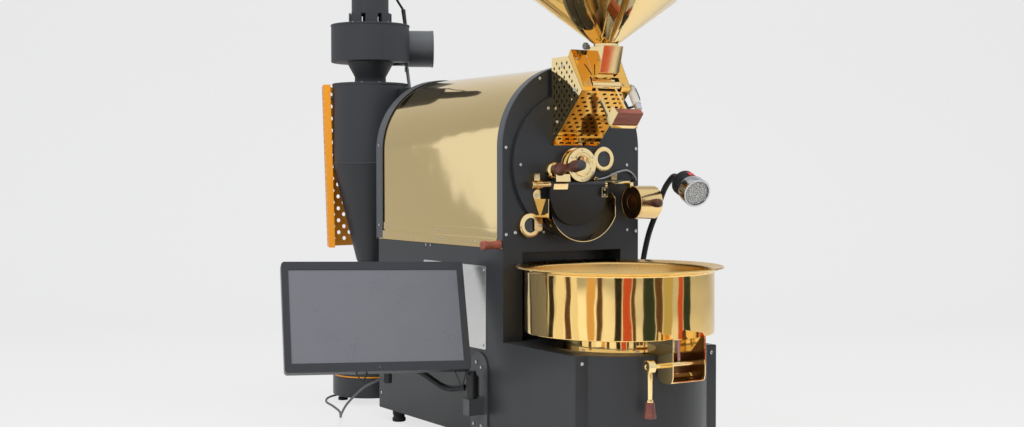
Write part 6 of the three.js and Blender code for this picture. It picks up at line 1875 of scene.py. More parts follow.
@dataclass
class CoolingTray(Assembly):
    """The gold tray with its screen, bean chute and gate lever."""

    centre: Point2 = (0.0, -156.35)
    crank: Point2 = (-345.0, 212.0)
    crank_x: float = -72.0
    lever_bottom: float = 146.0
    grip: Point2 = (148.0, 119.0)
    crank_arm: float = 14.0
    rod_radius: float = 4.7
    hub_radius: float = 12.5
    gate_half: float = 38.3
    gate_back: float = -293.7
    wall_inner: float = 179.9
    screen_z: Point2 = (268.0, 269.5)
    screen_radius: Point2 = (14.0, 179.2)
    hole_radius: float = 1.6
    hole_pitch: float = 11.0

    def build(self) -> None:
        """Makes the tray's pieces."""
        self.build_pan()
        self.build_screen()
        self.build_gate()

    def build_pan(self) -> None:
        """The turned pan: wall with a rolled rim, the step under it and the collar, with the gate's opening."""
        profile = [(130, 226.3), (130, 228.3), (106.5, 228.3), (106.5, 254), (179.6, 254), (180.9, 254.6),
            (181.4, 255.8), (181.4, 368.5), (182.0, 370.6), (184.0, 372.2), (198.8, 376.2), (199.7, 377.4),
            (199.5, 378.6), (198.3, 379.0), (184.5, 374.6), (181.6, 373.2), (180.7, 370.0), (180.7, 255.2),
            (105, 255.2), (105, 226.3)]
        lining = [(198.1, 379.1), (184.4, 374.8), (181.5, 373.4), (180.6, 370.1), (180.6, 255.5), (105.2, 255.5),
            (105.2, 256.4), (179.9, 256.4), (179.9, 265.7), (173.4, 265.7), (173.4, 267.7), (179.9, 267.7),
            (179.9, 370.3), (180.9, 374.1), (184.1, 375.6), (197.9, 379.9)]
        pan = Shells(self.shop)
        pan.turned(profile, "gold_tray", self.centre, Axis.Z, 192)
        pan.turned(lining, "gold_brushed", self.centre, Axis.Z, 192)
        tray = pan.piece("fine_cooling_tray", 0, 40)
        self.cut_gate(tray)
        self.shop.install(tray, "roaster", "gold", "cooling_tray")
        self.screws.ring(Axis.Z, self.centre, 228.3, 120, (200, 250, 290, 340), 3)

    def cut_gate(self, tray: Piece) -> None:
        """Cuts the gate's opening through the tray's floor and ledge."""
        cutter = Shells(self.shop)
        outline = [(-self.gate_half, self.gate_back)]
        start = math.degrees(math.asin(self.gate_half / self.wall_inner))
        outline += arc_points(*self.centre, self.wall_inner - 0.05, 270 - start, 270 + start, 24)
        outline += [(self.gate_half, self.gate_back)]
        cutter.prism(outline, 250, 280, "gold_tray")
        block = cutter.piece("gate_cutter", 0)
        cut = tray.modifiers.new("gate", "BOOLEAN")
        cut.object = block
        cut.operation = "DIFFERENCE"
        cut.solver = "EXACT"
        to_plain_mesh(tray)
        bpy.data.objects.remove(block)
        tray.data.set_sharp_from_angle(angle=math.radians(40))

    def build_screen(self) -> None:
        """The perforated screen, its notch over the gate and its rim."""
        inner, outer = self.screen_radius
        low, high = self.screen_z
        gap = math.degrees(math.asin((self.gate_half + 0.2) / outer))
        rim = arc_points(*self.centre, outer, 270 + gap, 630 - gap, 120)
        outline = [(self.gate_half + 0.2, self.gate_back + 0.4)] + rim + [
            (-self.gate_half - 0.2, self.gate_back + 0.4)]
        hole = circle_points(*self.centre, inner, 40)
        seed = loop_mesh("screen_outline", [[Vector((x * MM, y * MM, 0)) for x, y in loop] for loop in (
            outline, hole)])
        spot = self.shop.to_row @ Matrix.Translation((0, 0, low)) @ Matrix.Scale(1 / MM, 4)
        screen = run_tree(self.trees.perforated, seed, "fine_tray_screen",
            {"Hole Radius": self.hole_radius * MM, "Hole Sides": 8, "Pitch Across": self.hole_pitch * MM,
            "Pitch Up": self.hole_pitch * MM * 0.5, "Margin": 4 * MM, "Thickness": (high - low) * MM,
            "Material": self.shop.finish["steel_polish"]}, spot)
        self.shop.install(screen, "roaster", "steel", "tray_screen")
        self.shop.dress("agitator", "steel_polish")

    def build_gate(self) -> None:
        """The chute, dark sheets of painted shade inside it, and the lever that opens the gate."""
        shop = self.shop
        shop.refine("tray_chute", "gold", "gold_mirror", 0.5)
        # These dark sheets are painted shade: they stand for the chute's shaded interior behind its opening.
        lining = Shells(shop)
        side = [(-360, 264), (-326, 229), (-326, 192), (-340, 182), (-356, 182), (-364.5, 194), (-364.5, 260)]
        inner = self.gate_half - 2.1
        for x0, x1 in ((-inner, 0.3 - inner), (inner - 0.3, inner)):
            lining.prism(side, x0, x1, "gold_painted_shade", Axis.X)
        lining.box((0.3 - inner, inner - 0.3), (-326, -325.6), (192, 229), "gold_painted_shade")
        lining.fit("chute_painted_shade", 0, "gold")
        (y, z), x, r = self.crank, self.crank_x, self.rod_radius
        lever = Shells(shop)
        lever.rod(r, (x, y, z), (41, y, z), "gold_polish")
        lever.turned([(0, x - 6.5), (4, x - 6.5), (4.6, x - 8), (self.hub_radius - 1.5, x - 8),
            (self.hub_radius, x - 6.5), (self.hub_radius, x + 4.5), (self.hub_radius - 1.5, x + 6), (0, x + 6)],
            "gold_polish", (y, z), Axis.X, 48)
        lever.rod(4.8, (x, y, z - 8), (x, y, self.lever_bottom + 1), "gold_polish", 4.2)
        lever.turned([(0, 154), (5.4, 154), (6, 153.2), (6, 148.6), (5.2, 147.8), (0, 147.8)], "gold_polish", (x, y),
            Axis.Z, 40)
        lever.box((-6, -2), (y - 3, y + self.crank_arm + 3), (z - 4, z + 3), "steel_polish")
        lever.rod(2, (-3, y + self.crank_arm, z), (5, y + self.crank_arm, z), "steel_polish", sides=20)
        top, bottom = self.grip
        lever.grip(top, bottom, [(8.6, top), (8.9, top - 8), (10, top - 17), (11.8, bottom + 4),
            (10.8, bottom + 0.8)], "terracotta_upright", (x, y), Axis.Z)
        lever.fit("fine_gate_handle", 0.35, "gold", "gate_handle", angle=40, body="gate_handle")
        for node in ("tray_gate", "gate_link"):
            shop.dress(node, "steel_polish")


@dataclass
class Damper(Assembly):
    """The damper's wooden pull on the left side."""

    at: Point2 = (7.0, 417.0)
    collar: float = 1.8
    end: float = 45.0

    def build(self) -> None:
        """Makes the pull."""
        start, tip = -self.body.half - self.collar, -self.body.half - self.end
        pull = Shells(self.shop)
        pull.grip(start, tip, [(8.7, start - 1.6), (9.0, start - 5), (7.6, start - 17), (7.5, start - 24),
            (9.4, start - 37), (9.2, start - 41), (7.2, tip + 0.6)], "terracotta_wood", self.at, Axis.X)
        pull.fit("fine_damper_handle", 0.3, "red_wood", "damper_handle", angle=45, body="damper")
        self.shop.dress("damper_slide", "steel_polish")


@dataclass
class Display(Assembly):
    """The display on its swinging arm, the bracket and the wire clips under it."""

    centre: Point3 = (-376.2, 127.1, 280.2)
    yaw: float = -16.1
    pitch: float = -23.6
    roll: float = 1.1
    half: float = 181.0
    down: float = -112.4
    up: float = 111.0
    depth: float = 17.0
    boss_half: float = 150.0
    boss_back: float = 25.0
    boss_z: Point2 = (-80.0, 85.0)
    corner: float = 7.0
    active: Point2 = (167.75, 94.4)
    recess: float = 2.3
    pole: Point2 = (-190.0, 80.0)
    pole_radius: float = 7.5
    bracket_x: Point2 = (-167.8, -165.3)

    @property
    def local(self) -> Matrix:
        """The display's own frame in the machine's."""
        return (Matrix.Translation(self.centre) @ Matrix.Rotation(math.radians(self.yaw), 4, "Z") @ Matrix.Rotation(
            math.radians(self.pitch), 4, "X") @ Matrix.Rotation(math.radians(self.roll), 4, "Y"))

    def build(self) -> None:
        """Makes the display's pieces."""
        self.build_housing()
        self.build_arm()
        self.build_bracket()
        self.build_clips()

    def build_housing(self) -> None:
        """The frame with its screen, the back, the boss with its vents and the mounting ears."""
        shop = self.shop
        a, b = self.active
        opening = rounded_box(-a, a, -b, b, 0.8, 2)
        housing = Shells(shop, self.local)
        outline = rounded_box(-self.half, self.half, self.down, self.up, self.corner, 8)
        housing.prism(outline, -1.5, self.recess, "bezel_plastic", Axis.Y, holes=[opening])
        housing.prism(outline, self.recess - 0.02, self.depth, "bezel_plastic", Axis.Y)
        boss = rounded_box(-self.boss_half, self.boss_half, *self.boss_z, 12, 6)
        housing.prism(boss, self.depth - 1, self.boss_back, "black_plastic", Axis.Y)
        housing.prism(rounded_box(-38, 38, -68, 8, 5), 24, 29, "black_plastic", Axis.Y)
        for side in (-1, 1):
            low, high = sorted((side * 13, side * 20))
            housing.prism(rounded_box(28, 54, -40, -20, 6), low, high, "black_plastic", Axis.X)
        housing.fit("fine_monitor_housing", 1.0, "bezel", "monitor_housing", angle=30, segments=3, body="display")
        panel = Shells(shop, self.local)
        panel.prism(rounded_box(-a + 0.1, a - 0.1, -b + 0.1, b - 0.1, 0.7, 2), 0, 2, "screen_glass", Axis.Y)
        panel.fit("fine_monitor_screen", 0, "screen", "monitor_screen", body="display")
        self.build_vents()
        for px in (-30, 30):
            for pz in (-60, 0):
                self.screws.put((px, 29, pz), (0, 1, 0), 3, self.local, "display")
        light = Shells(shop, self.local)
        light.turned([(0, -1.9), (0.9, -1.9), (1.1, -1.5), (1.1, -1.0), (0, -1.0)], "grey_paint", (0, self.down + 8),
            Axis.Y, 24)
        light.fit("power_light", 0, "grey", body="display")

    def build_vents(self) -> None:
        """Slots in the back's upper part, each a dark sunken bar."""
        y = self.boss_back + 0.05
        spots = [self.shop.place(self.local @ Vector((x, y, 62))) for x in range(-120, 121, 8)]
        way = (self.local.to_3x3() @ Vector((1, 0, 0))).normalized()
        seed = point_mesh("vent_spots", spots, [way] * len(spots), [1.0] * len(spots))
        vents = run_tree(self.trees.bars, seed, "display_vents", {"Size": (3.2 * MM, 0.6 * MM, 22 * MM),
            "Material": self.shop.finish["black_rubber"]})
        self.shop.install(vents, "display", "black")

    def build_arm(self) -> None:
        """The bent arm with its clamp, the barrel through the ears and the turn knob."""
        (x, y), shop = self.pole, self.shop
        end = [tuple(self.local @ Vector((0, 72, -60))), tuple(self.local @ Vector((0, 46, -30)))]
        route = [(x - 8, y + 11, 129.4), (-222, 124, 126), (-292, 128, 168), (-340, 152, 172), *end]
        arm = Shells(shop)
        arm.turned([(8.3, 108.3), (11.5, 108.3), (11.5, 156), (8.3, 156)], "black_plastic", (x, y), Axis.Z, 48)
        arm.tube(route, 6.5, "black_plastic", 28, 10)
        arm.turned([(0, 142), (8, 142), (9, 143), (9, 169), (8, 170), (0, 170)], "black_plastic", (-340, 152), Axis.Z,
            10)
        frame = self.local
        arm.rod(9, frame @ Vector((-12.7, 46, -30)), frame @ Vector((12.7, 46, -30)), "black_plastic")
        arm.rod(4, frame @ Vector((-24, 46, -30)), frame @ Vector((24, 46, -30)), "steel_polish", sides=24)
        arm.fit("fine_monitor_arm", 0.5, "black", "monitor_arm", angle=35, body="monitor_arm")

    def build_bracket(self) -> None:
        """The plate on the cabinet's side with its slot, and the pole."""
        low, high = self.bracket_x
        shop = self.shop
        outline = [(56, 35), (120, 35), *arc_points(88, 166, 32, 0, 180, 36)]
        slot = rounded_box(86, 97, 92, 150, 5.4)
        bracket = Shells(shop)
        bracket.prism(outline, low, high, "charcoal_edge", Axis.X, holes=[slot])
        x, y = self.pole
        bracket.box((x - 12, low + 1), (y - 12, y + 12), (75, 108), "charcoal_edge")
        bracket.turned([(0, 100), (self.pole_radius, 100), (self.pole_radius, 156.3), (11, 156.3), (11, 158),
            (9, 163), (0, 163)], "black_plastic", (x, y), Axis.Z, 40)
        bracket.fit("fine_screen_bracket", 0.8, "charcoal", "screen_bracket")
        for py, pz in ((96, 177.7), (77, 168.8), (78, 51.7), (108, 51.7)):
            self.screws.put((low, py, pz), (-1, 0, 0), 3.4)

    def build_clips(self) -> None:
        """Thin wire clips that hang under the display's lower edge."""
        clips = Shells(self.shop, self.local)
        low = self.down + 0.5
        for x, wide, deep in ((-33, 11, 19), (162, 12, 32)):
            route = [(x - wide, 12, low), (x - 0.4 * wide, 12, low - 0.62 * deep), (x, 12, low - deep),
                (x + 0.4 * wide, 12, low - 0.62 * deep), (x + wide, 12, low)]
            clips.tube(route, 1.3, "black_plastic", 8, 6)
        clips.fit("display_clips", 0, "black", body="display", angle=60)


@dataclass
class DataCable(Assembly):
    """The display's grey cable, from the arm's knob down to the table, round the back and into the rear wall."""

    radius: float = 2.5
    route: tuple[Point3, ...] = ((-340, 168, 150), (-342, 180, 146), (-346, 200, 138), (-345, 240, 124),
        (-338, 290, 104), (-320, 380, 66), (-290, 470, 30), (-250, 560, 6), (-215, 640, 3.2), (-196, 716, 3.2),
        (-180, 790, 3.2), (-140, 850, 3.2), (-70, 880, 3.2), (20, 860, 3.2), (60, 780, 3.2), (60, 690, 4),
        (50, 620, 30), (46, 580, 100), (45, 556, 150), (45, 545, 156), (45, 534.3, 156))

    def build(self) -> None:
        """Makes the cable."""
        spots = [self.shop.place(p) for p in smooth_path(self.route, 10)]
        jacket = Shells(self.shop)
        jacket.tube(self.route, self.radius, "grey_cable", 16, 10)
        cable = jacket.piece("display_cable", 0, 50)
        self.shop.install(cable, "roaster", "cable", "monitor_cable")


@dataclass
class Lamp(Assembly):
    """The work lamp: gooseneck on the right side, ribbed head, lens and switch."""

    lens_at: Point3 = (150.0, -208.1, 516.6)
    aim: Point3 = (-0.1846, -0.92, -0.3448)
    hose_radius: float = 6.1
    rib_pitch: float = 4.2
    head_radius: float = 25.0
    rib_radius: float = 26.0
    lens_radius: float = 24.0

    @property
    def local(self) -> Matrix:
        """The head's own frame: its lens faces -Y."""
        turn = Vector((0, -1, 0)).rotation_difference(Vector(self.aim).normalized()).to_matrix().to_4x4()
        return Matrix.Translation(self.lens_at) @ turn

    def build(self) -> None:
        """Makes the lamp's pieces."""
        self.build_neck()
        self.build_head()

    def build_neck(self) -> None:
        """The foot, the stub and the ribbed hose."""
        foot = Shells(self.shop)
        foot.prism(rounded_box(4, 28, 300, 352, 5), 165.3, 170, "black_plastic", Axis.X)
        foot.turned([(0, 169), (10, 169), (10, 182), (8, 186), (0, 186)], "black_plastic", (12, 330), Axis.X, 40)
        stub = foot.piece("lamp_foot", 0.7)
        route = [(184, 12, 326), (184, 11, 345), (183, 5, 377), (182, -14, 430), (181, -38, 471), (180, -70, 526),
            (176, -101, 549), (170, -118, 549), (166.4, -126.5, 547), (163.2, -143, 541.4)]
        path = [self.shop.place(p) for p in smooth_path(route, 10)]
        hose = run_tree(self.trees.hose, loop_mesh("hose_path", [path], closed=False), "lamp_hose",
            {"Radius": self.hose_radius * MM, "Rib Pitch": self.rib_pitch * MM, "Rib Depth Share": 0.05, "Sides": 20,
            "Steps": 520, "Material": self.shop.finish["black_rubber"]})
        neck = join_pieces([stub, hose], "fine_gooseneck")
        self.shop.install(neck, "roaster", "black", "gooseneck")

    def build_head(self) -> None:
        """The ribbed head, its silver ring, the lens with the light emitters behind it, and the switch."""
        shop, r = self.shop, self.rib_radius
        head = Shells(shop, self.local)
        profile = [(0, 70), (11, 70), (12, 69), (20.5, 64.5), (22, 63.5)]
        for i in range(6):
            y = 61.8 - 5.2 * i
            profile += [(22, y + 0.6), (r - 1.2, y), (r - 0.6, y - 0.6), (r - 0.6, y - 2.0), (r - 1.2, y - 2.6),
                (22, y - 3.2)]
        profile += [(22, 31), (self.head_radius, 30), (0, 30)]
        head.turned(profile, "black_plastic", (0, 0), Axis.Y, 72)
        head.turned([(0, 30.4), (self.head_radius, 30.4), (self.head_radius + 1.6, 29), (28.4, 22), (28.4, 1.6),
            (27.4, 0), (25, 0), (24.2, 1.2), (24.2, 8), (0, 8)], "steel_polish", (0, 0), Axis.Y, 96)
        head.rod(8.6, (0, 69, 0), (0, 80, 0), "steel_polish", 7.4, 36)
        head.prism(rounded_box(-7.2, 7.2, 31.2, 48.8, 2), 20.2, 25.6, "black_plastic", Axis.Z)
        head.fit("fine_lamp_head", 0.35, "black", "lamp_head", angle=40)
        switch = Shells(shop, self.local)
        switch.prism(rounded_box(-5.5, 5.5, 33, 47, 1.6), 20.7, 27, "red_plastic", Axis.Z)
        switch.fit("fine_lamp_switch", 0.8, "red", "lamp_switch", angle=30, segments=3, body="lamp_switch")
        lens = Shells(shop, self.local)
        lens.turned([(0, 0.2), (self.lens_radius * 0.6, 0.8), (self.lens_radius * 0.96, 2.0), (self.lens_radius, 2.8),
            (self.lens_radius, 4.2), (0, 4.2)], "lens_glass", (0, 0), Axis.Y, 72)
        lens.fit("lamp_lens", 0, "screen")
        self.build_emitters()

    def build_emitters(self) -> None:
        """A disc with rings of small pale chips behind the lens."""
        plate = Shells(self.shop, self.local)
        plate.turned([(0, 7), (23.8, 7), (23.8, 7.9), (0, 7.9)], "lens_back", (0, 0), Axis.Y, 48)
        for ring, count in ((0, 1), (4.8, 6), (9.6, 12), (14.4, 17), (19.2, 22)):
            for i in range(count):
                t = 2 * math.pi * i / count
                x, z = ring * math.cos(t), ring * math.sin(t)
                plate.rod(2.0, (x, 7.1, z), (x, 4.8, z), "led_chip", 1.1, 8)
        plate.fit("lamp_chips", 0, "screen", angle=50)


@dataclass
class Cyclone(Assembly):
    """The chaff cyclone with its blower, motor, guard and collecting can."""

    at: Point2 = (-66.0, 772.0)
    radius: float = 92.0
    cone_radius: float = 35.0
    cone_end: float = 344.0
    seam: float = 579.0
    top: float = 775.0
    wall: float = 1.5
    tube_radius: float = 33.5
    tube_bore: float = 31.5
    can_radius: float = 94.0
    can: Point2 = (17.0, 66.0)
    foot_circle: float = 70.0
    duct: tuple[float, float, float, float] = (-34.0, 26.0, 640.0, 760.0)
    azimuth: float = -26.0
    blower_radius: float = 95.0
    blower: Point2 = (827.0, 918.0)
    flange: float = 87.0
    outlet_sides: Point2 = (5.0, 95.0)
    pipe_end: float = 156.0
    pipe_radius: float = 45.0
    pipe_offset: float = 50.0
    pipe_z: float = 866.0
    motor_radius: float = 45.0
    motor_top: float = 1060.0
    guard_plan: tuple[Point2, ...] = ((-95.5, 24.8), (-108.2, 32.8), (-74.3, 117.8), (32.9, 127.0))
    guard_z: Point2 = (376.0, 772.0)
    guard_low: float = 0.9
    guard_wall: float = 1.5
    guard_hole: float = 5.0
    guard_pitch: Point2 = (30.0, 15.0)
    guard_edge: float = 6.0
    bend_width: float = 30.0
    bend_edge: float = 40.0
    leg_turn: float = 160.6
    leg_z: Point2 = (610.0, 740.0)
    leg_reach: float = 101.0

    def build(self) -> None:
        """Makes the cyclone's pieces."""
        self.build_body()
        self.build_can()
        self.build_blower()
        self.build_motor()
        self.build_guard()

    def build_body(self) -> None:
        """The cylinder, the cone, the inlet duct with its flange, and the drop tube with the can's lid."""
        y, r, w, shop = self.at[1], self.radius, self.wall, self.shop
        shell = Shells(shop)
        top = self.top
        profile = [(self.cone_radius, self.cone_end), (self.cone_radius + 0.3, self.cone_end + 1), (r, self.seam - 1),
            (r + 1.1, self.seam), (r + 1.1, self.seam + 3), (r, self.seam + 4), (r, top - 6), (r + 0.9, top - 5),
            (r + 0.9, top - 0.8), (r, top), (34, top), (34, top - 2), (r - w, top - 2), (r - w, self.seam + 1),
            (self.cone_radius - w, self.cone_end + 1), (self.cone_radius - w, self.cone_end)]
        shell.turned(profile, "blower_coat", self.at, Axis.Z, 128)
        x0, x1, z0, z1 = self.duct
        rear = self.body.rear_face + self.body.gap
        frame = [(x0, z0), (x1 - 0.5, z0), (x1 - 0.5, z1), (x0, z1)]
        hole = [(x0 + w, z0 + w), (x1 - 0.5 - w, z0 + w), (x1 - 0.5 - w, z1 - w), (x0 + w, z1 - w)]
        shell.prism(frame, rear, y - 20, "charcoal_coat", Axis.Y, holes=[hole])
        rim = [(x0 - 12, z0 - 12), (x1 + 12, z0 - 12), (x1 + 12, z1 + 3), (x0 - 12, z1 + 3)]
        shell.prism(rim, rear, rear + 3, "charcoal_coat", Axis.Y, holes=[hole])
        shell.fit("fine_cyclone_body", 0.5, "charcoal", "cyclone_body", angle=35)
        low = self.can[1] + 3
        tube = Shells(shop)
        rad, bore, end = self.tube_radius, self.tube_bore, self.cone_end - self.body.gap
        tube.turned([(bore, low), (self.can_radius, low), (self.can_radius, low + 4.4),
            (self.can_radius - 0.6, low + 5), (rad + 3, low + 8.6), (rad, low + 11), (rad, end), (bore, end)],
            "charcoal_coat", self.at, Axis.Z, 128)
        tube.fit("fine_chaff_tube", 0.4, "charcoal", "chaff_tube", angle=35)
        for px in (x0 - 6, x1 + 6):
            for pz in (z0 - 6, (z0 + z1) / 2, z1 - 3):
                self.screws.put((px, rear + 3, pz), (0, 1, 0), 3)

    def build_can(self) -> None:
        """The can on its feet, with the orange seal under the lid and two latches."""
        low, high = self.can
        r, (x, y) = self.can_radius, self.at
        can = Shells(self.shop)
        can.turned([(0, low), (r - 2, low), (r, low + 2), (r, high - 8), (r - 0.8, high - 7), (r, high - 6),
            (r, high), (r - 1.5, high), (r - 1.5, low + 1.5), (0, low + 1.5)], "charcoal_coat", self.at, Axis.Z, 128)
        can.turned([(r - 5, high - 0.2), (r, high - 0.2), (r, high + 2.7), (r - 5, high + 2.7)], "orange_coat",
            self.at, Axis.Z, 128)
        for turn in (30, 150, 270):
            t = math.radians(turn)
            fx, fy = x + self.foot_circle * math.cos(t), y + self.foot_circle * math.sin(t)
            can.turned([(0, 0), (11, 0), (12, 1), (12, 6), (10, 8), (10, 13), (12, 15), (12, low + 0.5),
                (0, low + 0.5)], "black_rubber", (fx, fy), Axis.Z, 36)
        can.fit("fine_collector_can", 0.5, "charcoal", "collector_can", angle=35)

    def build_blower(self) -> None:
        """The neck, the scroll and the outlet pipe on its flange."""
        shop = self.shop
        local = Matrix.Translation((*self.at, 0)) @ Matrix.Rotation(math.radians(self.azimuth), 4, "Z")
        z0, z1 = self.blower
        r, top = self.blower_radius, self.top
        case = Shells(shop, local)
        case.turned([(34, top + 0.3), (44, top + 0.3), (44, top + 3), (38, top + 3), (38, top + 17), (57, z0),
            (r - 1, z0), (r, z0 + 1), (r, z1 - 5), (r + 1.2, z1 - 4), (r + 1.2, z1 - 0.8), (r, z1), (7, z1),
            (7, z1 - 2), (r - 2, z1 - 2), (r - 2, z0 + 2), (55, z0 + 2), (36, top + 17), (34, top + 3)],
            "blower_coat", sides=128)
        a1, (s0, s1) = self.flange, self.outlet_sides
        box = [(s0, z0), (s1, z0), (s1, z1 - 0.5), (s0, z1 - 0.5)]
        inside = [(s0 + 2, z0 + 2), (s1 - 2, z0 + 2), (s1 - 2, z1 - 2.5), (s0 + 2, z1 - 2.5)]
        case.prism(box, 12, a1, "blower_coat", Axis.X, holes=[inside])
        case.prism(rounded_box(-4, 100, z0 - 15, z1 + 3, 3), a1, a1 + 4, "blower_coat", Axis.X,
            holes=[circle_points(self.pipe_offset, self.pipe_z, self.pipe_radius - 2, 64)])
        p = self.pipe_radius
        case.turned([(p - 2, a1), (p, a1), (p, self.pipe_end - 5), (p + 0.8, self.pipe_end - 4),
            (p + 0.8, self.pipe_end), (p - 2, self.pipe_end)], "charcoal_edge", (self.pipe_offset, self.pipe_z),
            Axis.X, 96)
        x, y = self.at
        strut = local.inverted()
        case.rod(4, strut @ Vector((x + 70, y - 72, self.duct[3] + 2.8)),
            strut @ Vector((x + 79.5, y - 40.5, z0 - 12)), "charcoal_edge", sides=24)
        case.fit("fine_blower_housing", 0.7, "charcoal", "blower_housing", angle=35)
        for s in (2, 50, 94):
            for z in (z0 - 9, z1 - 3):
                self.screws.put((a1 + 4, s, z), (1, 0, 0), 3, local)
        for z, ring_radius, radius in ((z1, 84, 2.8), (top + 3, 41, 2.2)):
            self.screws.ring(Axis.Z, (0, 0), z, ring_radius, range(0, 360, 60), radius, 1, local)

    def build_motor(self) -> None:
        """The motor on its slotted cone, its cap, cooling ribs and lead."""
        z1 = self.blower[1]
        r, end, (x, y) = self.motor_radius, self.motor_top, self.at
        motor = Shells(self.shop)
        motor.turned([(48, z1 + 0.3), (57, z1 + 0.3), (57, z1 + 2), (56, z1 + 3), (48, z1 + 3)], "blower_coat",
            self.at, Axis.Z, 96)
        motor.turned([(5.9, z1 + 31), (40, z1 + 31), (42, z1 + 26), (46.5, z1 + 26), (r, z1 + 32), (r, end - 30),
            (r + 0.8, end - 29), (r + 0.8, end - 26), (r, end - 25), (r, end - 8), (r - 2.4, end - 3.4), (r - 7, end),
            (0, end), (0, z1 + 44), (5.9, z1 + 44)], "blower_coat", self.at, Axis.Z, 96)
        lead = [(x + r - 2, y, end - 38), (x + 54, y, end - 40), (x + 62, y, end - 52), (x + 74, y, end - 75),
            (x + 90, y - 2, end - 99)]
        motor.tube(lead, 3, "black_lead", 18, 8)
        motor.rod(5.5, (x + 90, y - 2, end - 98), (x + 95, y - 4, z1 + 3.6), "black_plastic", 4.5, 32)
        motor.rod(6, (x + r - 1, y, end - 38), (x + r + 5, y, end - 38.5), "black_plastic", 4.6, 24)
        case = motor.piece("motor_case", 0.5, 35)
        turns = [22.5 + 45 * i for i in range(8)]
        ways = [Vector((math.cos(t), math.sin(t), 0)) for t in map(math.radians, turns)]
        spots = [self.shop.place(Vector((x, y, z1 + 14.5)) + 49.4 * way) for way in ways]
        seed = point_mesh("post_spots", spots, ways, [1.0] * len(spots))
        bars = run_tree(self.trees.bars, seed, "motor_posts", {"Size": (3.6 * MM, 30 * MM, 26 * MM),
            "Material": self.shop.finish["blower_coat"]})
        self.shop.install(join_pieces([case, bars], "fine_blower_motor"), "roaster", "charcoal", "blower_motor")
        self.screws.ring(Axis.Z, self.at, z1 + 2.9, 53.4, turns, 2.2)

    def guard_share(self, z: float) -> float:
        """How far the guard's plan has shrunk at a height."""
        low, high = self.guard_z
        return self.guard_low + (1 - self.guard_low) * (z - low) / (high - low)

    def build_guard(self) -> None:
        """The bent orange sheet with round holes, on two standoffs.

        A face as narrow as a bend gets a margin wider than itself, which leaves it without holes.
        """
        (x, y), (low, high) = self.at, self.guard_z
        sheets = []
        for i, (start, end) in enumerate(zip(self.guard_plan, self.guard_plan[1:])):
            corners = []
            for (px, py), z in ((start, low), (start, high), (end, high), (end, low)):
                share = self.guard_share(z)
                corners.append(Vector((x + px * share, y + py * share, z)))
            corners = [corners[0], corners[3], corners[2], corners[1]]
            wide = (corners[1] - corners[0]).length
            margin = self.guard_edge if wide > self.bend_width else self.bend_edge
            sheets.append(perforated_sheet(self.shop, self.trees, f"guard_face_{i}", corners, "orange_coat",
                -self.guard_wall, self.guard_hole, 20, self.guard_pitch, margin))
        legs = Shells(self.shop)
        t = math.radians(self.leg_turn)
        out = Vector((math.cos(t), math.sin(t), 0))
        for z in self.leg_z:
            start = Vector((x, y, z)) + (self.radius - 0.5) * out
            end = start + (self.leg_reach * self.guard_share(z) - self.radius) * out
            legs.rod(5, start, end, "charcoal_edge", sides=24)
            spot = start + ((self.leg_reach + 1) * self.guard_share(z) - self.radius) * out
            self.screws.put(spot, out, 4)
        sheets.append(legs.piece("guard_legs", 0.3))
        self.shop.install(join_pieces(sheets, "fine_cyclone_guard"), "roaster", "orange", "cyclone_guard")


@dataclass
class InnerWorks(Assembly):
    """The hidden works, which keep their CAD shapes."""

    finishes: dict[str, str] = field(default_factory=lambda: {"drum": "steel_dull", "motor_pulley": "steel_dull",
        "cooling_impeller": "steel_dull", "blower_impeller": "steel_dull", "drive_motor": "grey_paint",
        "drive_belt": "belt_rubber", "heater_element": "copper_tube", "agitator_motor": "grey_paint",
        "cooling_fan": "charcoal_coat"})

    def build(self) -> None:
        """Dresses each of them."""
        for node, finish in self.finishes.items():
            self.shop.dress(node, finish)


def room_nodes(owner: Union[Material, bpy.types.World]) -> tuple[Nodes, bpy.types.bpy_prop_collection]:
    """Empties a room material's or the world's tree, and gives its node adder and the light path's outputs."""
    owner.use_nodes = True
    owner.node_tree.nodes.clear()
    nodes = Nodes(owner.node_tree)
    return nodes, nodes.add("ShaderNodeLightPath").outputs


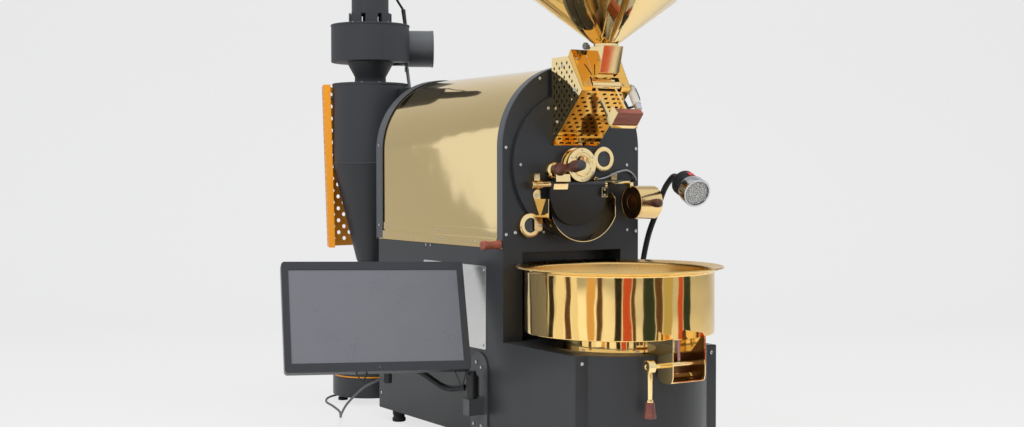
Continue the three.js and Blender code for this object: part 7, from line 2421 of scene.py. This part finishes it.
@dataclass
class Studio:
    """Camera, bright room, lamps and the dark and coloured cards that the polished metal mirrors."""

    shop: Workshop
    lens: float = 48.92
    sensor: float = 36.0
    position: Point3 = (-1.41197, -2.56506, 0.55673)
    yaw: float = 32.27
    pitch: float = 1.66
    roll: float = -0.057
    pale: Color = (0.84, 0.84, 0.84, 1.0)
    dim: Color = (0.4, 0.39, 0.38, 1.0)
    even_share: float = 0.86
    room_side: float = 6.0
    bend_radius: float = 1.2
    bend_steps: int = 12
    wall_distance: float = 3.4
    floor_sunk: float = 0.0005
    card_distance: float = 1.35
    card_height: float = 0.36
    card_sunk: float = 0.02
    ceiling_power: float = 110.0
    window_power: float = 70.0

    def build_camera(self) -> None:
        """The camera that matches the photo."""
        data = bpy.data.cameras.new("photo_camera")
        data.lens = self.lens
        data.sensor_width = self.sensor
        data.clip_end = 60
        camera = new_object("photo_camera", data)
        turn = (Matrix.Rotation(math.radians(-self.yaw), 4, "Z") @ Matrix.Rotation(
            math.radians(90 - self.pitch), 4, "X") @ Matrix.Rotation(math.radians(self.roll), 4, "Z"))
        camera.matrix_world = Matrix.Translation(self.position) @ turn
        bpy.context.scene.camera = camera
        bpy.context.scene.view_settings.view_transform = "Standard"

    def backdrop_material(self) -> Material:
        """A pale sheet: even where the camera looks at it, softly lit in reflections."""
        material = bpy.data.materials.new("backdrop")
        nodes, path = room_nodes(material)
        even = nodes.add("ShaderNodeEmission", {"Color": (1, 1, 1, 1), "Strength": BACKDROP_LEVEL})
        shade = nodes.add("ShaderNodeMix", {0: path["Is Diffuse Ray"], 6: self.pale, 7: self.dim}, data_type="RGBA")
        matte = nodes.add("ShaderNodeBsdfDiffuse", {"Color": shade.outputs[2]})
        seen = nodes.math("MAXIMUM", path["Is Camera Ray"], path["Is Transmission Ray"])
        share = nodes.math("MULTIPLY", seen, self.even_share)
        mix = nodes.add("ShaderNodeMixShader", {0: share, 1: matte, 2: even})
        nodes.add("ShaderNodeOutputMaterial", {"Surface": mix})
        return material

    def build_backdrop(self) -> None:
        """A floor that turns up into a wall behind the machine."""
        side, radius, back = self.room_side, self.bend_radius, self.wall_distance
        profile = [(-side, 0.0), (back - radius, 0.0)]
        for i in range(1, self.bend_steps + 1):
            t = math.pi / 2 * i / self.bend_steps
            profile.append((back - radius + radius * math.sin(t), radius - radius * math.cos(t)))
        profile.append((back, side))
        points = [(x, y, z - self.floor_sunk) for y, z in profile for x in (-side, side)]
        faces = [(2 * i, 2 * i + 1, 2 * i + 3, 2 * i + 2) for i in range(len(profile) - 1)]
        mesh = bpy.data.meshes.new("backdrop")
        mesh.from_pydata(points, [], faces)
        mesh.materials.append(self.backdrop_material())
        for face in mesh.polygons:
            face.use_smooth = True
        sheet = new_object("backdrop", mesh)
        sheet.rotation_euler.z = math.radians(-self.yaw)

    def build_world(self) -> None:
        """A pale world, dimmer where it lights than where it is seen."""
        world = bpy.data.worlds.new("room")
        bpy.context.scene.world = world
        nodes, path = room_nodes(world)
        lit = nodes.add("ShaderNodeBackground", {"Color": (0.93, 0.96, 1.0, 1), "Strength": 0.55})
        seen = nodes.add("ShaderNodeBackground", {"Color": (1, 1, 1, 1), "Strength": BACKDROP_LEVEL})
        mirrored = nodes.add("ShaderNodeBackground", {"Color": (0.87, 0.92, 1.0, 1), "Strength": 1.0})
        either = nodes.math("MAXIMUM", path["Is Camera Ray"], path["Is Transmission Ray"])
        first = nodes.add("ShaderNodeMixShader", {0: path["Is Glossy Ray"], 1: lit, 2: mirrored})
        second = nodes.add("ShaderNodeMixShader", {0: either, 1: first, 2: seen})
        nodes.add("ShaderNodeOutputWorld", {"Surface": second})

    def add_lamp(self, name: str, spot: Point3, target: Point3, size: Point2, power: float, color: Color) -> Piece:
        """Adds one area lamp that looks at a point, and returns it."""
        data = bpy.data.lights.new(name, "AREA")
        data.shape = "RECTANGLE"
        data.size, data.size_y = size
        data.energy = power
        data.color = color[:3]
        lamp = new_object(name, data)
        way = Vector(target) - Vector(spot)
        lamp.matrix_world = Matrix.Translation(spot) @ way.to_track_quat("-Z", "Y").to_matrix().to_4x4()
        return lamp

    def build_lamps(self) -> None:
        """Ceiling light over the machine and a window's light from the left."""
        middle = tuple(self.shop.place((0, 0, 500)))
        ceiling = self.add_lamp("ceiling", (0.2, -0.9, 3.4), middle, (3.0, 2.4), self.ceiling_power,
            (1, 0.98, 0.95, 1))
        window = self.add_lamp("window", (-3.6, -1.2, 2.2), middle, (2.4, 2.2), self.window_power, (0.93, 0.96, 1, 1))
        for lamp in (ceiling, window):
            lamp.visible_glossy = False

    def card(self, name: str, azimuth: float, distance: float, size: Point2, height: float, color: Color) -> None:
        """Stands up a card that only reflections see.

        Args:
            name: the card's name.
            azimuth: direction from the tray in degrees, from +X towards +Y.
            distance: how far off, in metres.
            size: width and height in metres.
            height: its middle's height in metres.
            color: its colour as mirrored.
        """
        half, tall = size[0] / 2, size[1] / 2
        mesh = bpy.data.meshes.new(name)
        mesh.from_pydata([(-half, 0, -tall), (half, 0, -tall), (half, 0, tall), (-half, 0, tall)], [], [(0, 1, 2, 3)])
        material = bpy.data.materials.new(name)
        nodes, path = room_nodes(material)
        clear = nodes.add("ShaderNodeBsdfTransparent")
        glow = nodes.add("ShaderNodeEmission", {"Color": color, "Strength": 1.0})
        mix = nodes.add("ShaderNodeMixShader", {0: path["Is Glossy Ray"], 1: clear, 2: glow})
        nodes.add("ShaderNodeOutputMaterial", {"Surface": mix})
        mesh.materials.append(material)
        card = new_object(name, mesh)
        t = math.radians(azimuth)
        middle = self.shop.place((0, -156, 0))
        spot = Vector((middle.x + distance * math.cos(t), middle.y + distance * math.sin(t), height))
        card.matrix_world = Matrix.Translation(spot) @ Matrix.Rotation(t - math.pi / 2, 4, "Z")

    def build_cards(self) -> None:
        """Dark doorways and coloured things round the room, as the tray's wall mirrors them."""
        dark, brown = (0.03, 0.025, 0.02, 1), (0.13, 0.07, 0.04, 1)
        amber, red, green = (0.80, 0.50, 0.22, 1), (0.62, 0.11, 0.06, 1), (0.035, 0.055, 0.05, 1)
        olive, white = (0.55, 0.48, 0.25, 1), (1.0, 0.98, 0.9, 1)
        bands = ((140.5, 144, brown), (146, 153.5, dark), (157, 168, white), (170.5, 177.5, brown), (179, 187, white),
            (198, 206, amber), (208.5, 214.5, brown), (228, 236.5, dark), (238, 247.5, red), (248.5, 252.5, brown),
            (261, 273, green), (274, 281.5, brown), (283, 295, olive), (302.5, 309.5, red), (310.5, 322.5, green))
        distance, tall = self.card_distance, self.card_height
        for first, last, color in bands:
            wide = 2 * distance * math.tan(math.radians(last - first) / 2)
            self.card(f"card_{round(first)}", (first + last) / 2, distance, (wide, tall), tall / 2 - self.card_sunk,
                color)


def main() -> None:
    """Builds the dressed roaster."""
    logging.basicConfig(level=logging.INFO, format="%(message)s")
    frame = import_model()
    shop = Workshop(frame)
    studio = Studio(shop)
    studio.build_camera()
    trees = PatternTrees()
    screws = Screws(shop, trees)
    kit = (shop, screws, trees, Body())
    DataCable(*kit).build()
    for kind in (Cabinet, DrumHousing, DrumFront, DischargeDoor, Feed, CoolingTray, Damper, Display, Lamp, Cyclone,
        InnerWorks):
        log.info("building %s", kind.__name__)
        kind(*kit).build()
    screws.build()
    studio.build_backdrop()
    studio.build_world()
    studio.build_lamps()
    studio.build_cards()


if __name__ == "__main__":
    main()
